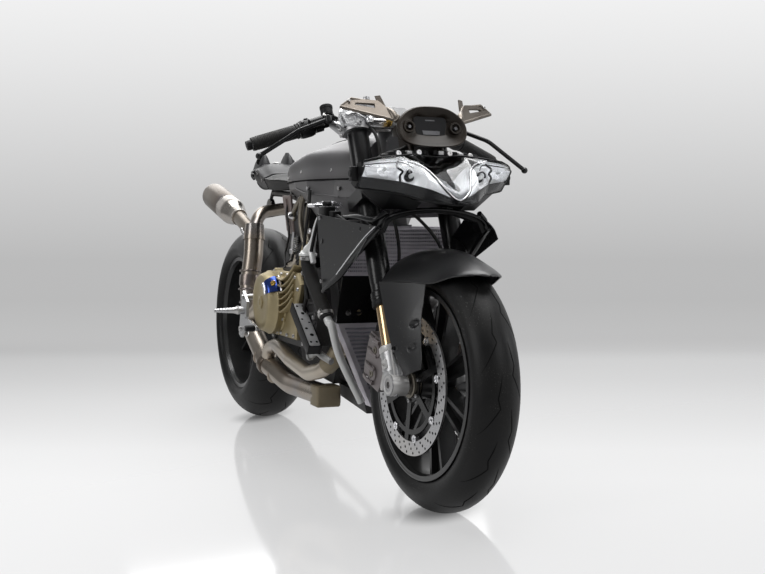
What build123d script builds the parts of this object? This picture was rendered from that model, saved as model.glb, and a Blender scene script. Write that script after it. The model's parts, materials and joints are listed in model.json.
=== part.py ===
from build123d import *
import math
import os

# Stripped sport motorcycle, twin-cylinder, single-sided swingarm, parked on its side stand.
# Millimetres.  The bike is drawn upright, X forward, Y left, Z up from the ground, and the
# whole of it is then leaned over onto the stand.  Stations along X are counted from the
# place of the rear axle at the nominal swingarm length.

# ---------------------------------------------------------------- driving dimensions
RAKE = 24.5            # steering axis from the vertical, degrees
HEAD_X = 1535.0        # where the steering axis meets the ground
PIVOT_X = 505.0        # swingarm pivot
PIVOT_Z = 390.0
SWINGARM_RUN = 505.0   # pivot to rear axle along X
LEAN = 9.0             # parked lean to the left, degrees
STEERED = 3.9          # steering angle at rest, to the left, degrees
RUN = 0.3              # running clearance of a shaft in its hole
SEAT = 0.3             # gap between two pieces that bear on each other

FRONT_R = 300.0        # tyre outer radius
FRONT_W = 116.0        # tyre width
FRONT_CROWN = 60.0     # radius of the tread across the tyre
REAR_R = 326.0
REAR_W = 198.0
REAR_CROWN = 103.0
RIM_R = 223.4          # both rims, over the flanges
RIM_LIP = 6.0          # flange height above the bead seat, and its thickness
FRONT_RIM_W = 104.0
REAR_RIM_W = 166.0
RIM_WELL = 15.0        # depth of the rim from the flange to its inner face
SPOKES = 7

FORK_HALF = 110.0      # leg centre from the middle plane
FORK_OFFSET = 30.0     # legs ahead of the steering axis
AXLE_OFFSET = 33.4     # front axle ahead of the steering axis
OUTER_R = 26.0         # outer tube
STANCHION_R = 21.5
TUBE_LOW = 520.0       # heights along the steering axis from the ground point
TUBE_TOP = 1040.0
FOOT_TOP = 405.0
TOP_CLAMP_LOW = 1004.0
TOP_CLAMP_T = 32.0
LOW_CLAMP_LOW = 772.0
LOW_CLAMP_T = 34.0
STEM_R = 17.0
STEM_BORE = 9.0
HEADSTOCK_R = 32.0

AXLE_R = 12.5
DISC_R = 165.0
DISC_IN = 132.0
DISC_T = 5.0
DISC_FACE = 76.0       # outer face of the front disc from the middle plane
REAR_DISC_R = 122.5
REAR_AXLE_R = 26.0
CHAIN_Y = 152.0
CHAIN_PITCH = 15.875
REAR_TEETH = 39
FRONT_TEETH = 15
SPROCKET_X = 612.0
SPROCKET_Z = 398.0

# ---------------------------------------------------------------- frames
SIN = math.sin(math.radians(RAKE))
COS = math.cos(math.radians(RAKE))
FRONT_UP = (FRONT_R - AXLE_OFFSET * SIN) / COS      # axle height along the steering axis
STEER_PLANE = Plane(origin=(HEAD_X, 0, 0), x_dir=(COS, 0, SIN), z_dir=(-SIN, 0, COS))
STEER = STEER_PLANE.location
REAR_X = PIVOT_X - SWINGARM_RUN
REAR_HUB = Pos(REAR_X, 0, REAR_R)
FRONT_HUB = Pos(AXLE_OFFSET, 0, FRONT_UP)
SIDES = (-1, 1)


# ---------------------------------------------------------------- shape helpers
def vec(p):
    return Vector(*p)


def rod(start, end, radius):
    """Round bar between two points."""
    a = vec(start)
    b = vec(end)
    return Solid.make_cylinder(radius, (b - a).length, Plane(origin=a, z_dir=b - a))


def cone(start, end, r_start, r_end):
    a = vec(start)
    b = vec(end)
    return Solid.make_cone(r_start, r_end, (b - a).length, Plane(origin=a, z_dir=b - a))


def across(x, z, y_low, y_high, radius):
    """Round bar along Y."""
    return rod((x, y_low, z), (x, y_high, z), radius)


def block(x, y, z):
    """Box from three (low, high) pairs."""
    low = (x[0], y[0], z[0])
    size = (x[1] - x[0], y[1] - y[0], z[1] - z[0])
    return Pos(*low) * Box(*size, align=(Align.MIN, Align.MIN, Align.MIN))


def slab(points, y_low, y_high):
    """Outline of (x, z) points extruded along Y."""
    outline = [(x, y_low, z) for x, z in points]
    return extrude(make_face(Polyline(*outline, close=True)), amount=y_high - y_low, dir=(0, 1, 0))


def plate_up(points, z_low, z_high):
    """Outline of (x, y) points extruded along Z."""
    outline = [(x, y, z_low) for x, y in points]
    return extrude(make_face(Polyline(*outline, close=True)), amount=z_high - z_low, dir=(0, 0, 1))


def skin(points, thickness):
    """Flat plate on the plane of the first, second and last points, thickened to both sides."""
    first, second, last = vec(points[0]), vec(points[1]), vec(points[-1])
    normal = (second - first).cross(last - first).normalized()
    plane = Plane(origin=first, z_dir=normal)
    loop = [plane.to_local_coords(vec(p)) for p in points]
    flat = [(p.X, p.Y) for p in loop]
    face = make_face(Polyline(*flat, close=True))
    return plane.location * extrude(face, amount=thickness / 2, both=True)


def hull_along(sections):
    """Straight-sided body through closed loops of points, one loop a section."""
    wires = [Wire(Polyline(*[vec(p) for p in loop], close=True).edges()) for loop in sections]
    body = Solid.make_loft(wires, ruled=True)
    if body.volume < 0:
        body = Solid.make_loft(wires[::-1], ruled=True)
    return body


def pipe(points, radii, radius, bore=0.0):
    """Round tube along straight runs joined by arcs of the given radii."""
    path = FilletPolyline(*[vec(p) for p in points], radius=list(radii))
    start = Plane(origin=path @ 0, z_dir=path % 0)
    section = start * Circle(radius)
    if bore:
        section = section - start * Circle(bore)
    return sweep(section, path=path)


def ring(y_low, y_high, r_in, r_out):
    """Washer about the Y axis."""
    return across(0, 0, y_low, y_high, r_out) - across(0, 0, y_low - 1, y_high + 1, r_in)


def turned(profile):
    """Profile of (y, r) points turned about the Y axis."""
    loop = [(r, y, 0) for y, r in profile]
    return revolve(make_face(Polyline(*loop, close=True)), axis=Axis.Y)


# ---------------------------------------------------------------- wheels
def tyre(radius, width, crown, rim_w):
    """Hollow tyre: round tread, bulged walls and two beads on the rim flanges."""
    half = width / 2
    edge = half - 3.0
    edge_r = radius - crown + math.sqrt(crown**2 - edge**2)
    bead = rim_w / 2 - RIM_LIP - SEAT
    bead_r = RIM_R - RIM_LIP + SEAT
    lip_r = RIM_R + SEAT
    wall = 8.0
    tread = 10.0
    bulge_r = (edge_r + bead_r) / 2 + 4.0
    inner = crown - tread
    in_edge = edge - wall
    in_r = radius - crown + math.sqrt(inner**2 - min(in_edge, inner - 2.0)**2)
    with BuildSketch(Plane.XY) as section:
        with BuildLine():
            ThreePointArc((edge_r, -edge), (radius, 0), (edge_r, edge))
            ThreePointArc((edge_r, edge), (bulge_r, half), (lip_r, bead))
            Polyline((lip_r, bead), (bead_r, bead), (bead_r, bead - wall))
            Polyline((bead_r, bead - wall), (in_r, in_edge))
            ThreePointArc((in_r, in_edge), (radius - tread, 0), (in_r, -in_edge))
            Polyline((in_r, -in_edge), (bead_r, wall - bead))
            Polyline((bead_r, wall - bead), (bead_r, -bead), (lip_r, -bead))
            ThreePointArc((lip_r, -bead), (bulge_r, -half), (edge_r, -edge))
        make_face()
    return revolve(section.sketch, axis=Axis.Y)


def spoke(hub_r, reach, root, tip, depth):
    """One spoke: two raised ribs that spread towards the rim, with a thin web between."""
    rib = 9.0
    web = 8.0
    outline = [(hub_r, -root), (reach, -tip), (reach, tip), (hub_r, root)]
    inset = [(hub_r, rib - root), (reach, rib - tip), (reach, tip - rib), (hub_r, root - rib)]
    body = slab(outline, -depth, depth)
    for side in SIDES:
        near = side * web / 2
        far = side * (depth + 1)
        body = body - slab(inset, min(near, far), max(near, far))
    return body


def rim(rim_w, hub_r, hub_low, hub_high, bore, depth):
    """Cast wheel: dropped barrel with flanges, paired-rib spokes and a bored hub."""
    half = rim_w / 2
    well = RIM_R - RIM_WELL
    lip = RIM_LIP
    seat_r = RIM_R - RIM_LIP
    barrel = turned([(-half, well + 4), (-half, RIM_R), (lip - half, RIM_R), (lip - half, seat_r),
                     (18 - half, seat_r), (26 - half, well + 5), (half - 26, well + 5), (half - 18, seat_r),
                     (half - lip, seat_r), (half - lip, RIM_R), (half, RIM_R), (half, well + 4),
                     (half - 12, well), (12 - half, well)])
    hub = across(0, 0, hub_low, hub_high, hub_r)
    wheel = barrel + hub
    for i in range(SPOKES):
        wheel = wheel + Rot(0, i * 360 / SPOKES, 0) * spoke(hub_r - 6, well + 3, 15, 31, depth)
    return wheel - across(0, 0, hub_low - 1, hub_high + 1, bore)


def brake_disc(r_in, r_out, thickness, rows, count):
    """Flat disc ring drilled in slanting rows of holes."""
    hole = 3.2
    flat = Circle(r_out) - Circle(r_in)
    drilled = Sketch()
    for i in range(count):
        for k in range(rows):
            r = r_in + (r_out - r_in) * (k + 0.7) / (rows + 0.4)
            a = math.radians((i + 0.3 * k) * 360 / count)
            drilled = drilled + Pos(r * math.cos(a), r * math.sin(a)) * Circle(hole)
    return Rot(90, 0, 0) * extrude(flat - drilled, amount=thickness / 2, both=True)


def disc_carrier(r_hub, r_in, thickness, arms):
    """Spider that holds the disc ring: a hub ring, arms and a rim of lugs."""
    carrier = ring(-thickness / 2, thickness / 2, r_hub, r_hub + 14)
    carrier = carrier + ring(-thickness / 2, thickness / 2, r_in - 28, r_in - 16)
    for i in range(arms):
        arm = block((r_hub + 10, r_in), (-thickness / 2, thickness / 2), (-9, 9))
        carrier = carrier + Rot(0, i * 360 / arms, 0) * arm
    return carrier & ring(-thickness, thickness, r_hub, r_in - SEAT)


# ---------------------------------------------------------------- front wheel, in wheel place
HUB_R = 34.0
HUB_HALF = 62.0
FRONT_BORE = AXLE_R + RUN
DISC_Y = DISC_FACE - DISC_T / 2
CARRIER_T = 4.0


def front_rim():
    wheel = rim(FRONT_RIM_W, HUB_R, -HUB_HALF, HUB_HALF, FRONT_BORE, 22)
    for side in SIDES:
        low, high = sorted((side * (HUB_HALF - 8), side * (DISC_FACE + 2)))
        wheel = wheel + ring(low, high, FRONT_BORE, 27)
    return wheel


def front_disc(side):
    return Pos(0, side * DISC_Y, 0) * brake_disc(DISC_IN, DISC_R, DISC_T, 3, 32)


def front_carriers():
    spider = disc_carrier(27 + SEAT, DISC_IN, CARRIER_T, 6)
    pair = [Pos(0, side * DISC_Y, 0) * spider for side in SIDES]
    return Compound(children=pair)


# ---------------------------------------------------------------- rear wheel, in wheel place
REAR_DISC_Y = 66.0
ARM_HUB = (78.0, 136.0)      # swingarm hub, from and to, along Y
SPROCKET_R = CHAIN_PITCH / (2 * math.sin(math.pi / REAR_TEETH))


def rear_rim():
    wheel = rim(REAR_RIM_W, 44, -52, 58, REAR_AXLE_R + RUN, 24)
    return wheel


def rear_axle():
    """Hollow axle through the arm's hub, with a wheel nut on the right and a sprocket nut on the left."""
    shaft = across(0, 0, -62, CHAIN_Y + 18, REAR_AXLE_R)
    nut = Rot(90, 0, 0) * extrude(RegularPolygon(34, 6), amount=14)
    axle = shaft + Pos(0, -52 - SEAT, 0) * nut + Pos(0, CHAIN_Y + 22, 0) * nut
    return axle - across(0, 0, -80, CHAIN_Y + 40, 17)


def rear_disc():
    ring_part = brake_disc(92, REAR_DISC_R, DISC_T, 2, 24)
    hub = ring(-3, 3, REAR_AXLE_R + SEAT, 60)
    return Pos(0, REAR_DISC_Y, 0) * (ring_part + disc_carrier(44, 92, 6, 5) + hub)


def toothed(teeth, thickness, bore):
    """Chain wheel: its teeth stop under the rollers' path, between the chain's side plates."""
    pitch_r = CHAIN_PITCH / (2 * math.sin(math.pi / teeth))
    tip = pitch_r - 5.0
    root = tip - 4.0
    points = []
    for i in range(teeth):
        for share, r in ((0.0, root), (0.3, root), (0.42, tip), (0.72, tip)):
            a = 2 * math.pi * (i + share) / teeth
            points.append((r * math.cos(a), r * math.sin(a)))
    body = slab(points, -thickness / 2, thickness / 2)
    return body - across(0, 0, -thickness, thickness, bore)


def rear_sprocket():
    wheel = toothed(REAR_TEETH, 6, REAR_AXLE_R + RUN)
    for i in range(6):
        hole = Rot(0, 60 * i, 0) * across(62, 0, -10, 10, 14)
        wheel = wheel - hole
    return Pos(0, CHAIN_Y, 0) * wheel


# ---------------------------------------------------------------- steering, in steering place
LEG_SIDE = (("right", -1), ("left", 1))


def leg_bar(side, low, high, radius):
    return rod((FORK_OFFSET, side * FORK_HALF, low), (FORK_OFFSET, side * FORK_HALF, high), radius)


def outer_tube(side):
    tube = leg_bar(side, TUBE_LOW, TUBE_TOP, OUTER_R) - leg_bar(side, TUBE_LOW - 1, TUBE_LOW + 60, STANCHION_R + RUN)
    collar = leg_bar(side, TUBE_LOW - 6, TUBE_LOW + 24, OUTER_R + 3) - leg_bar(side, TUBE_LOW - 8, TUBE_LOW + 30, STANCHION_R + RUN)
    cap = leg_bar(side, TUBE_TOP, TUBE_TOP + 9, 17)
    return tube + collar + cap


def stanchion(side):
    return leg_bar(side, FOOT_TOP - 30, TUBE_LOW + 55, STANCHION_R)


CALIPER_X = -80.0
CALIPER_Z = 412.0
CALIPER_HALF = 33.0      # half width across the disc
FOOT_R = 27.0            # fork foot, round the stanchion
BOSS_R = 25.0            # fork foot, round the axle


def caliper_block(half):
    """Outline of the caliper in its place, half to each side of the disc."""
    outline = [(-52, -62), (34, -62), (40, -30), (40, 30), (34, 62), (-52, 62), (-60, 40), (-60, -40)]
    turn = math.degrees(math.atan2(CALIPER_Z - FRONT_UP, CALIPER_X - AXLE_OFFSET))
    return Pos(CALIPER_X, 0, CALIPER_Z) * Rot(0, -turn, 0) * slab(outline, -half, half)


def fork_foot(side):
    """Cast foot: socket for the stanchion, axle boss reaching in towards the hub, caliper ears behind."""
    y = side * FORK_HALF
    boss_in, boss_out = sorted((side * (DISC_FACE + 16), side * (FORK_HALF + 26)))
    foot = leg_bar(side, 346, FOOT_TOP, FOOT_R)
    foot = foot + cone((FORK_OFFSET, y, 346.5), (AXLE_OFFSET, y, FRONT_UP), FOOT_R - 0.5, 19)
    foot = foot + across(AXLE_OFFSET, FRONT_UP, boss_in, boss_out, BOSS_R)
    for z in (356, 392):
        foot = foot + rod((FORK_OFFSET - 24, y, z), (FORK_OFFSET - 46, y, z + 10), 9)
    foot = foot - leg_bar(side, FOOT_TOP - 30 - RUN, FOOT_TOP + 60, STANCHION_R + RUN)
    foot = foot - Pos(0, side * DISC_Y, 0) * caliper_block(CALIPER_HALF + SEAT)
    return foot - across(AXLE_OFFSET, FRONT_UP, -160, 160, AXLE_R + RUN)


def front_axle():
    axle = across(AXLE_OFFSET, FRONT_UP, -(FORK_HALF + 22), FORK_HALF + 22, AXLE_R)
    return axle - across(AXLE_OFFSET, FRONT_UP, -150, 150, 8)


def front_caliper(side):
    """Radial caliper: two halves over the disc, open towards the axle."""
    y = side * DISC_Y
    body = caliper_block(CALIPER_HALF)
    gap = Pos(AXLE_OFFSET, 0, FRONT_UP) * across(0, 0, -DISC_T / 2 - 3.5, DISC_T / 2 + 3.5, DISC_R + 5.5)
    return Pos(0, y, 0) * (body - gap)


def top_clamp():
    """Upper clamp: a plate with a ring round each leg, and the steering damper across it."""
    low = TOP_CLAMP_LOW
    high = low + TOP_CLAMP_T
    half = [(-20, 60), (-8, 100), (6, FORK_HALF + 30), (54, FORK_HALF + 30), (84, FORK_HALF - 10), (58, 40)]
    outline = half + [(x, -y) for x, y in reversed(half)]
    clamp = plate_up(outline, low, high)
    for _, side in LEG_SIDE:
        clamp = clamp - leg_bar(side, low - 5, high + 5, OUTER_R + RUN)
    return clamp - rod((0, 0, low - 1), (0, 0, high + 1), STEM_R + RUN)


def damper():
    """Steering damper: body, rod and eyes in one piece, carried by the upper clamp's front."""
    z = TOP_CLAMP_LOW - 16
    body = rod((72, -34, z), (72, 66, z), 13)
    body = body + rod((72, -92, z), (72, -34, z), 4.5) + rod((72, -46, z), (72, -34, z), 9)
    for y in (-92, 66):
        body = body + rod((72, y, z - 10), (72, y, TOP_CLAMP_LOW - SEAT), 8)
    return body


def lower_clamp():
    """Lower clamp with the hollow stem that turns in the headstock."""
    low = LOW_CLAMP_LOW
    high = low + LOW_CLAMP_T
    outline = [(-30, -30), (-10, -FORK_HALF - 36), (70, -FORK_HALF - 36), (74, FORK_HALF + 36),
               (70, FORK_HALF + 36), (-10, FORK_HALF + 36), (-30, 30)]
    clamp = plate_up(outline, low, high)
    for _, side in LEG_SIDE:
        clamp = clamp - leg_bar(side, low - 5, high + 5, OUTER_R + RUN)
    stem = rod((0, 0, high - 1), (0, 0, TOP_CLAMP_LOW + TOP_CLAMP_T + 8), STEM_R)
    whole = clamp + stem
    return whole - rod((0, 0, low - 1), (0, 0, TOP_CLAMP_LOW + TOP_CLAMP_T + 9), STEM_BORE)


# bar end and inner end of each grip, and where the switch block ends, in steering place
BAR_END = (-84.0, 352.0, 979.0)
BAR_IN = (-24.0, 148.0, 1031.0)
GRIP_R = 17.0
BAR_R = 11.0


def on_bar(side, share):
    """Point on the handlebar's centre line, from its inner end (0) to its outer end (1)."""
    return tuple((a + (b - a) * share) * (side if i == 1 else 1)
                 for i, (a, b) in enumerate(zip(BAR_IN, BAR_END)))


def clip_on(side):
    """Ring round the leg under the upper clamp, riser arm and the bar itself."""
    low = TOP_CLAMP_LOW - 34
    high = TOP_CLAMP_LOW - SEAT
    ring_part = leg_bar(side, low, high, OUTER_R + 10)
    arm = rod((FORK_OFFSET - 36, side * (FORK_HALF + 14), (low + high) / 2), on_bar(side, 0.02), 13)
    bar = rod(on_bar(side, 0), on_bar(side, 0.99), BAR_R)
    return ring_part + arm + bar - leg_bar(side, low - 40, TUBE_TOP + 40, OUTER_R + RUN)


def grip(side):
    sleeve = rod(on_bar(side, 0.42), on_bar(side, 0.985), GRIP_R)
    weight = rod(on_bar(side, 0.992), on_bar(side, 1.05), 12)
    return sleeve - rod(on_bar(side, 0.3), on_bar(side, 1.02), BAR_R + RUN) + weight


def switch_block(side):
    """Switch housing clamped on the bar beside the grip."""
    body = rod(on_bar(side, 0.24), on_bar(side, 0.41), 21)
    return body - rod(on_bar(side, 0.0), on_bar(side, 0.6), BAR_R + RUN)


# fender arch, columns: angle up from the steering frame's forward axis, half width, edge radius, crown radius
FENDER_FRONT = ((30, 12, 330, 335), (35, 56, 306, 328), (46, 79, 256, 319), (62, 99, 240, 316), (80, 126, 239, 316))
FENDER_REAR = ((76, 72, 288, 315), (92, 76, 284, 316), (106, 72, 286, 318))
FENDER_T = 3.0


def arch_section(angle, half, edge_r, crown_r):
    """Closed section of the fender at one angle about the wheel centre."""
    a = math.radians(angle)
    plane = Plane(origin=(AXLE_OFFSET, 0, FRONT_UP), x_dir=(0, 1, 0), z_dir=(math.sin(a), 0, -math.cos(a)))
    outer = ThreePointArc((half, edge_r), (0, crown_r), (-half, edge_r))
    inner = ThreePointArc((FENDER_T - half, edge_r), (0, crown_r - FENDER_T), (half - FENDER_T, edge_r))
    loop = [outer.edge(), Line((-half, edge_r), (FENDER_T - half, edge_r)).edge(), inner.edge(),
            Line((half - FENDER_T, edge_r), (half, edge_r)).edge()]
    return plane.location * make_face(loop)


def shield(side):
    """Side shield in front of a leg, with its two round recesses."""
    y = (-131, -112, -98, -82, -92, -102, -110, -126)
    spots = ((60, 560), (110, 552), (150, 536), (190, 506), (160, 430), (140, 318), (72, 322), (63, 402))
    points = [(x, -side * v, z) for v, (x, z) in zip(y, spots)]
    plate = skin(points, FENDER_T)
    for x, z in ((141, 426), (123, 376)):
        hole = rod((x, -side * 60, z), (x, -side * 140, z), 9)
        plate = plate - hole
    tab = block((FORK_OFFSET + FOOT_R + SEAT, 84), tuple(sorted((-side * 100, -side * 124))), (384, 398))
    return plate + tab


def front_fender():
    front = loft([arch_section(*row) for row in FENDER_FRONT])
    rear = loft([arch_section(*row) for row in FENDER_REAR])
    whole = front + rear
    for side in SIDES:
        whole = whole + shield(side)
    for _, side in LEG_SIDE:
        whole = whole - leg_bar(side, TUBE_LOW - 8, TUBE_TOP, OUTER_R + 3 + SEAT)
    return whole


LEVER_EYE = (33.0, 186.0, 1002.0)    # lever pivot in steering place, left side
EYE_R = 9.0


def master_cylinder(side):
    """Lever perch: ring on the bar, cylinder along it and a cup for the fluid."""
    ring_part = rod(on_bar(side, 0.13), on_bar(side, 0.22), 18)
    x, y, z = on_bar(side, 0.16)
    body = rod((x + 40, y - side * 22, z + 4), (x + 26, y + side * 38, z - 14), 12)
    link = rod((x, y, z), (x + 34, y, z - 6), 9)
    cup = rod((x + 40, y - side * 6, z + 4), (x + 40, y - side * 6, z + 28), 15)
    ear = rod((x + 34, side * LEVER_EYE[1], z - 6), (LEVER_EYE[0] - EYE_R - 4, side * LEVER_EYE[1], LEVER_EYE[2]), 7)
    return ring_part + body + link + cup + ear - rod(on_bar(side, 0.0), on_bar(side, 0.6), BAR_R + RUN)


# lever points in steering place, right side sign, columns: x, y, z
BRAKE_LEVER = (LEVER_EYE, (0, 250, 985), (-52, 347, 932))
CLUTCH_LEVER = (LEVER_EYE, (62, 250, 960), (58, 348, 884))


def lever(side, route):
    points = [(x, side * y, z) for x, y, z in route]
    blade = pipe(points, (60,), 5.5)
    x, y, z = points[0]
    eye = rod((x, y, z - 8), (x, y, z + 8), EYE_R)
    return blade + eye + Pos(*points[-1]) * Sphere(8.5)


# ---------------------------------------------------------------- engine
CRANK_X = 800.0
CRANK_Z = 400.0
CASE_RIGHT = -150.0
CASE_LEFT = 124.0
FRONT_TILT = 21.0        # front cylinder above the horizontal
REAR_TILT = 111.0
CYL_START = 160.0        # cylinder foot from the crank centre
HEAD_LONG = 84.0
FRONT_REACH = 268.0
REAR_REACH = 330.0
CYL_HALF = 78.0
CYL_Y = 96.0
SUMP_TOP = 332.0
CLUTCH_X = 695.0
CLUTCH_Z = 445.0
CLUTCH_R = 92.0
CLUTCH_OUT = -216.0
PIVOT_R = 13.0
LUG_R = 36.0
LUG_IN = 62.0
LUG_OUT = 108.0

CASE_OUTLINE = ((570, 352), (562, 430), (600, 502), (672, 545), (900, 550), (985, 505), (1004, 425),
                (968, 345), (930, SUMP_TOP), (600, SUMP_TOP))
SUMP_OUTLINE = ((610, SUMP_TOP + 1), (640, 246), (900, 232), (945, SUMP_TOP + 1))


def cylinder_at(tilt, reach):
    """Finned cylinder and head as a block along its own axis from the crank centre."""
    foot = reach - HEAD_LONG
    body = block((CYL_START, foot - 5), (-CYL_Y, CYL_Y), (-CYL_HALF, CYL_HALF))
    head = block((foot, reach), (-CYL_Y - 14, CYL_Y + 14), (-CYL_HALF - 8, CYL_HALF + 8))
    head = chamfer(head.edges().filter_by(Axis.Y), 22)
    neck = block((foot - 8, foot + 2), (-CYL_Y + 6, CYL_Y - 6), (-CYL_HALF + 6, CYL_HALF - 6))
    return Pos(CRANK_X, 0, CRANK_Z) * Rot(0, -tilt, 0) * (body + neck + head)


def crankcase():
    case = slab(CASE_OUTLINE, CASE_RIGHT, CASE_LEFT)
    case = case + slab(SUMP_OUTLINE, -66, 84)
    for side in SIDES:
        low, high = sorted((side * LUG_IN, side * LUG_OUT))
        lug = across(PIVOT_X, PIVOT_Z, low, high, LUG_R)
        arm = slab(((PIVOT_X, PIVOT_Z - LUG_R), (PIVOT_X, PIVOT_Z + LUG_R), (600, 448), (600, 344)), low, high)
        case = case + lug + arm
    return case - across(PIVOT_X, PIVOT_Z, -200, 200, PIVOT_R + RUN)


def front_cylinder():
    return cylinder_at(FRONT_TILT, FRONT_REACH) - crankcase()


def rear_cylinder():
    return cylinder_at(REAR_TILT, REAR_REACH) - crankcase() - cylinder_at(FRONT_TILT, FRONT_REACH)


def clutch_cover():
    """Stepped round cover on the right, its bolted rim on the crankcase wall."""
    inner = across(CLUTCH_X, CLUTCH_Z, CLUTCH_OUT + 34, CASE_RIGHT - SEAT, CLUTCH_R)
    outer = cone((CLUTCH_X, CLUTCH_OUT + 34, CLUTCH_Z), (CLUTCH_X, CLUTCH_OUT, CLUTCH_Z), CLUTCH_R - 3, CLUTCH_R - 16)
    return inner + outer


def right_case():
    """Ribbed side case ahead of the clutch: a wall with long curved ribs in front and above."""
    body = slab(((CLUTCH_X + 30, 352), (CLUTCH_X + 30, 530), (868, 532), (902, 500), (866, 440), (866, 352)),
                CASE_RIGHT - 34, CASE_RIGHT - SEAT)
    for z, end in ((516, 880), (490, 890), (464, 874), (438, 862), (412, 862)):
        body = body + block((CLUTCH_X + 80, end), (CASE_RIGHT - 48, CASE_RIGHT - 30), (z - 4, z + 4))
    return body - across(CLUTCH_X, CLUTCH_Z, -260, -140, CLUTCH_R + SEAT)


def left_cover():
    body = across(CRANK_X, CRANK_Z + 10, CASE_LEFT + SEAT, CASE_LEFT + 44, 88)
    return body + across(CRANK_X, CRANK_Z + 10, CASE_LEFT + 44, CASE_LEFT + 52, 60)


def swingarm_pivot():
    return across(PIVOT_X, PIVOT_Z, -LUG_OUT - 6, LUG_OUT + 6, PIVOT_R)


# ---------------------------------------------------------------- swingarm and drive
# columns: x, y inner, y outer, z low, z high
ARM_SECTIONS = ((440, -30, 132, 338, 440), (375, 40, 136, 340, 436), (320, 106, 137, 330, 426),
                (170, 106, 137, 332, 400), (50, 106, 137, 300, 366))


def arm_loop(x, y_in, y_out, z_low, z_high):
    return ((x, y_in, z_low), (x, y_out, z_low), (x, y_out, z_high), (x, y_in, z_high))


def swingarm():
    """One-sided arm: barrel on the pivot, beam down the left side and the hub carrier."""
    barrel = across(PIVOT_X, PIVOT_Z, -LUG_IN + SEAT, LUG_IN - SEAT, 34)
    yoke = hull_along([arm_loop(PIVOT_X + 8, -58, 58, 362, 420), arm_loop(PIVOT_X - 66, -58, 100, 342, 436)])
    arm = barrel + yoke
    for near, far in zip(ARM_SECTIONS, ARM_SECTIONS[1:]):
        arm = arm + hull_along([arm_loop(*near), arm_loop(*far)])
    hub = across(REAR_X, REAR_R, ARM_HUB[0] + 26, ARM_HUB[1], 66)
    nose = across(REAR_X, REAR_R, ARM_HUB[0], ARM_HUB[0] + 28, 52)
    arm = arm + hub + nose
    arm = arm - across(PIVOT_X, PIVOT_Z, -200, 200, PIVOT_R + RUN)
    for side in SIDES:
        low, high = sorted((side * (LUG_IN - SEAT), side * 160))
        arm = arm - across(PIVOT_X, PIVOT_Z, low, high, LUG_R + 5)
    return arm - across(REAR_X, REAR_R, 60, 200, REAR_AXLE_R + RUN)


def rear_caliper():
    """Caliper hung under the arm's hub, over the small rear disc."""
    outline = [(-34, -28), (34, -28), (34, 24), (20, 34), (-20, 34), (-34, 24)]
    body = slab(outline, REAR_DISC_Y - 19, REAR_DISC_Y + 22)
    gap = across(0, 104, -DISC_T / 2 - 3 + REAR_DISC_Y, DISC_T / 2 + 3 + REAR_DISC_Y, REAR_DISC_R + 5)
    body = body - gap
    body = Rot(0, 40, 0) * Pos(0, 0, -104) * body
    hanger = Rot(0, 40, 0) * block((-14, 14), (REAR_DISC_Y + 12, ARM_HUB[0] + 20), (-90, -40))
    whole = Pos(REAR_X, 0, REAR_R) * (body + hanger)
    return whole - across(REAR_X, REAR_R, ARM_HUB[0] - SEAT, ARM_HUB[1], 52 + SEAT) \
        - across(REAR_X, REAR_R, ARM_HUB[0] + 26 - SEAT, ARM_HUB[1], 66 + SEAT)


FRONT_PITCH_R = CHAIN_PITCH / (2 * math.sin(math.pi / FRONT_TEETH))


def belt(offset, y_low, y_high):
    """Closed band round both chain wheels, its edge at offset from the pitch line."""
    big = Pos(REAR_X, REAR_R) * Circle(SPROCKET_R + offset)
    small = Pos(SPROCKET_X, SPROCKET_Z) * Circle(FRONT_PITCH_R + offset)
    outline = make_hull((big + small).edges())
    flat = extrude(outline, amount=y_high - y_low)
    return Pos(0, y_high, 0) * Rot(90, 0, 0) * flat


def chain():
    """Closed loop: two side plates and, between them, the band of rollers."""
    plate_half = 7.5
    body = Part()
    for low, high in ((-8.5, -5.0), (5.0, 8.5)):
        plate = belt(plate_half, CHAIN_Y + low, CHAIN_Y + high) - belt(-plate_half, CHAIN_Y + low - 1, CHAIN_Y + high + 1)
        body = body + plate
    rollers = belt(4.5, CHAIN_Y - 5.0, CHAIN_Y + 5.0) - belt(-4.3, CHAIN_Y - 6, CHAIN_Y + 6)
    return body + rollers


def front_sprocket():
    wheel = toothed(FRONT_TEETH, 6, 1)
    shaft = across(0, 0, CASE_LEFT + SEAT - CHAIN_Y, 12, 14)
    return Pos(SPROCKET_X, CHAIN_Y, SPROCKET_Z) * (wheel + shaft)


def shock():
    """Shock and spring along the left side, from the rear head's bracket to the rocker."""
    low = (560, 176, 520)
    high = (800, 176, 560)
    damper_body = rod(low, high, 16)
    coil = rod((604, 176, 527.3), (742, 176, 550.3), 32)
    eye_low = across(low[0], low[2], 158, 194, 17)
    eye_high = across(high[0], high[2], 158, 194, 17)
    return damper_body + coil + eye_low + eye_high


def rocker():
    """Rocker on the crankcase's rear top corner with the pull rod down to the arm."""
    plate = slab(((536, 466), (600, 466), (590, 500), (578, 540), (548, 540)), 142, 154)
    post = across(586, 480, CASE_LEFT - 60, 143, 11)
    pin = across(560, 520, 150, 158 - SEAT, 8)
    joint = across(548, 484, 124, 143, 9)
    pull = rod((548, 130, 484), (426, 122, 450), 6)
    foot = across(426, 450, 110, 134, 9)
    return plate + post + pin + joint + pull + foot - crankcase() - swingarm()


def shock_mount():
    """Bracket from the crankcase's top wall out to the shock's front eye."""
    arm = slab(((770, 551), (838, 551), (816, 590), (784, 590)), CYL_Y + SEAT, 140)
    pin = across(800, 560, 130, 158 - SEAT, 9)
    return arm + pin


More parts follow.
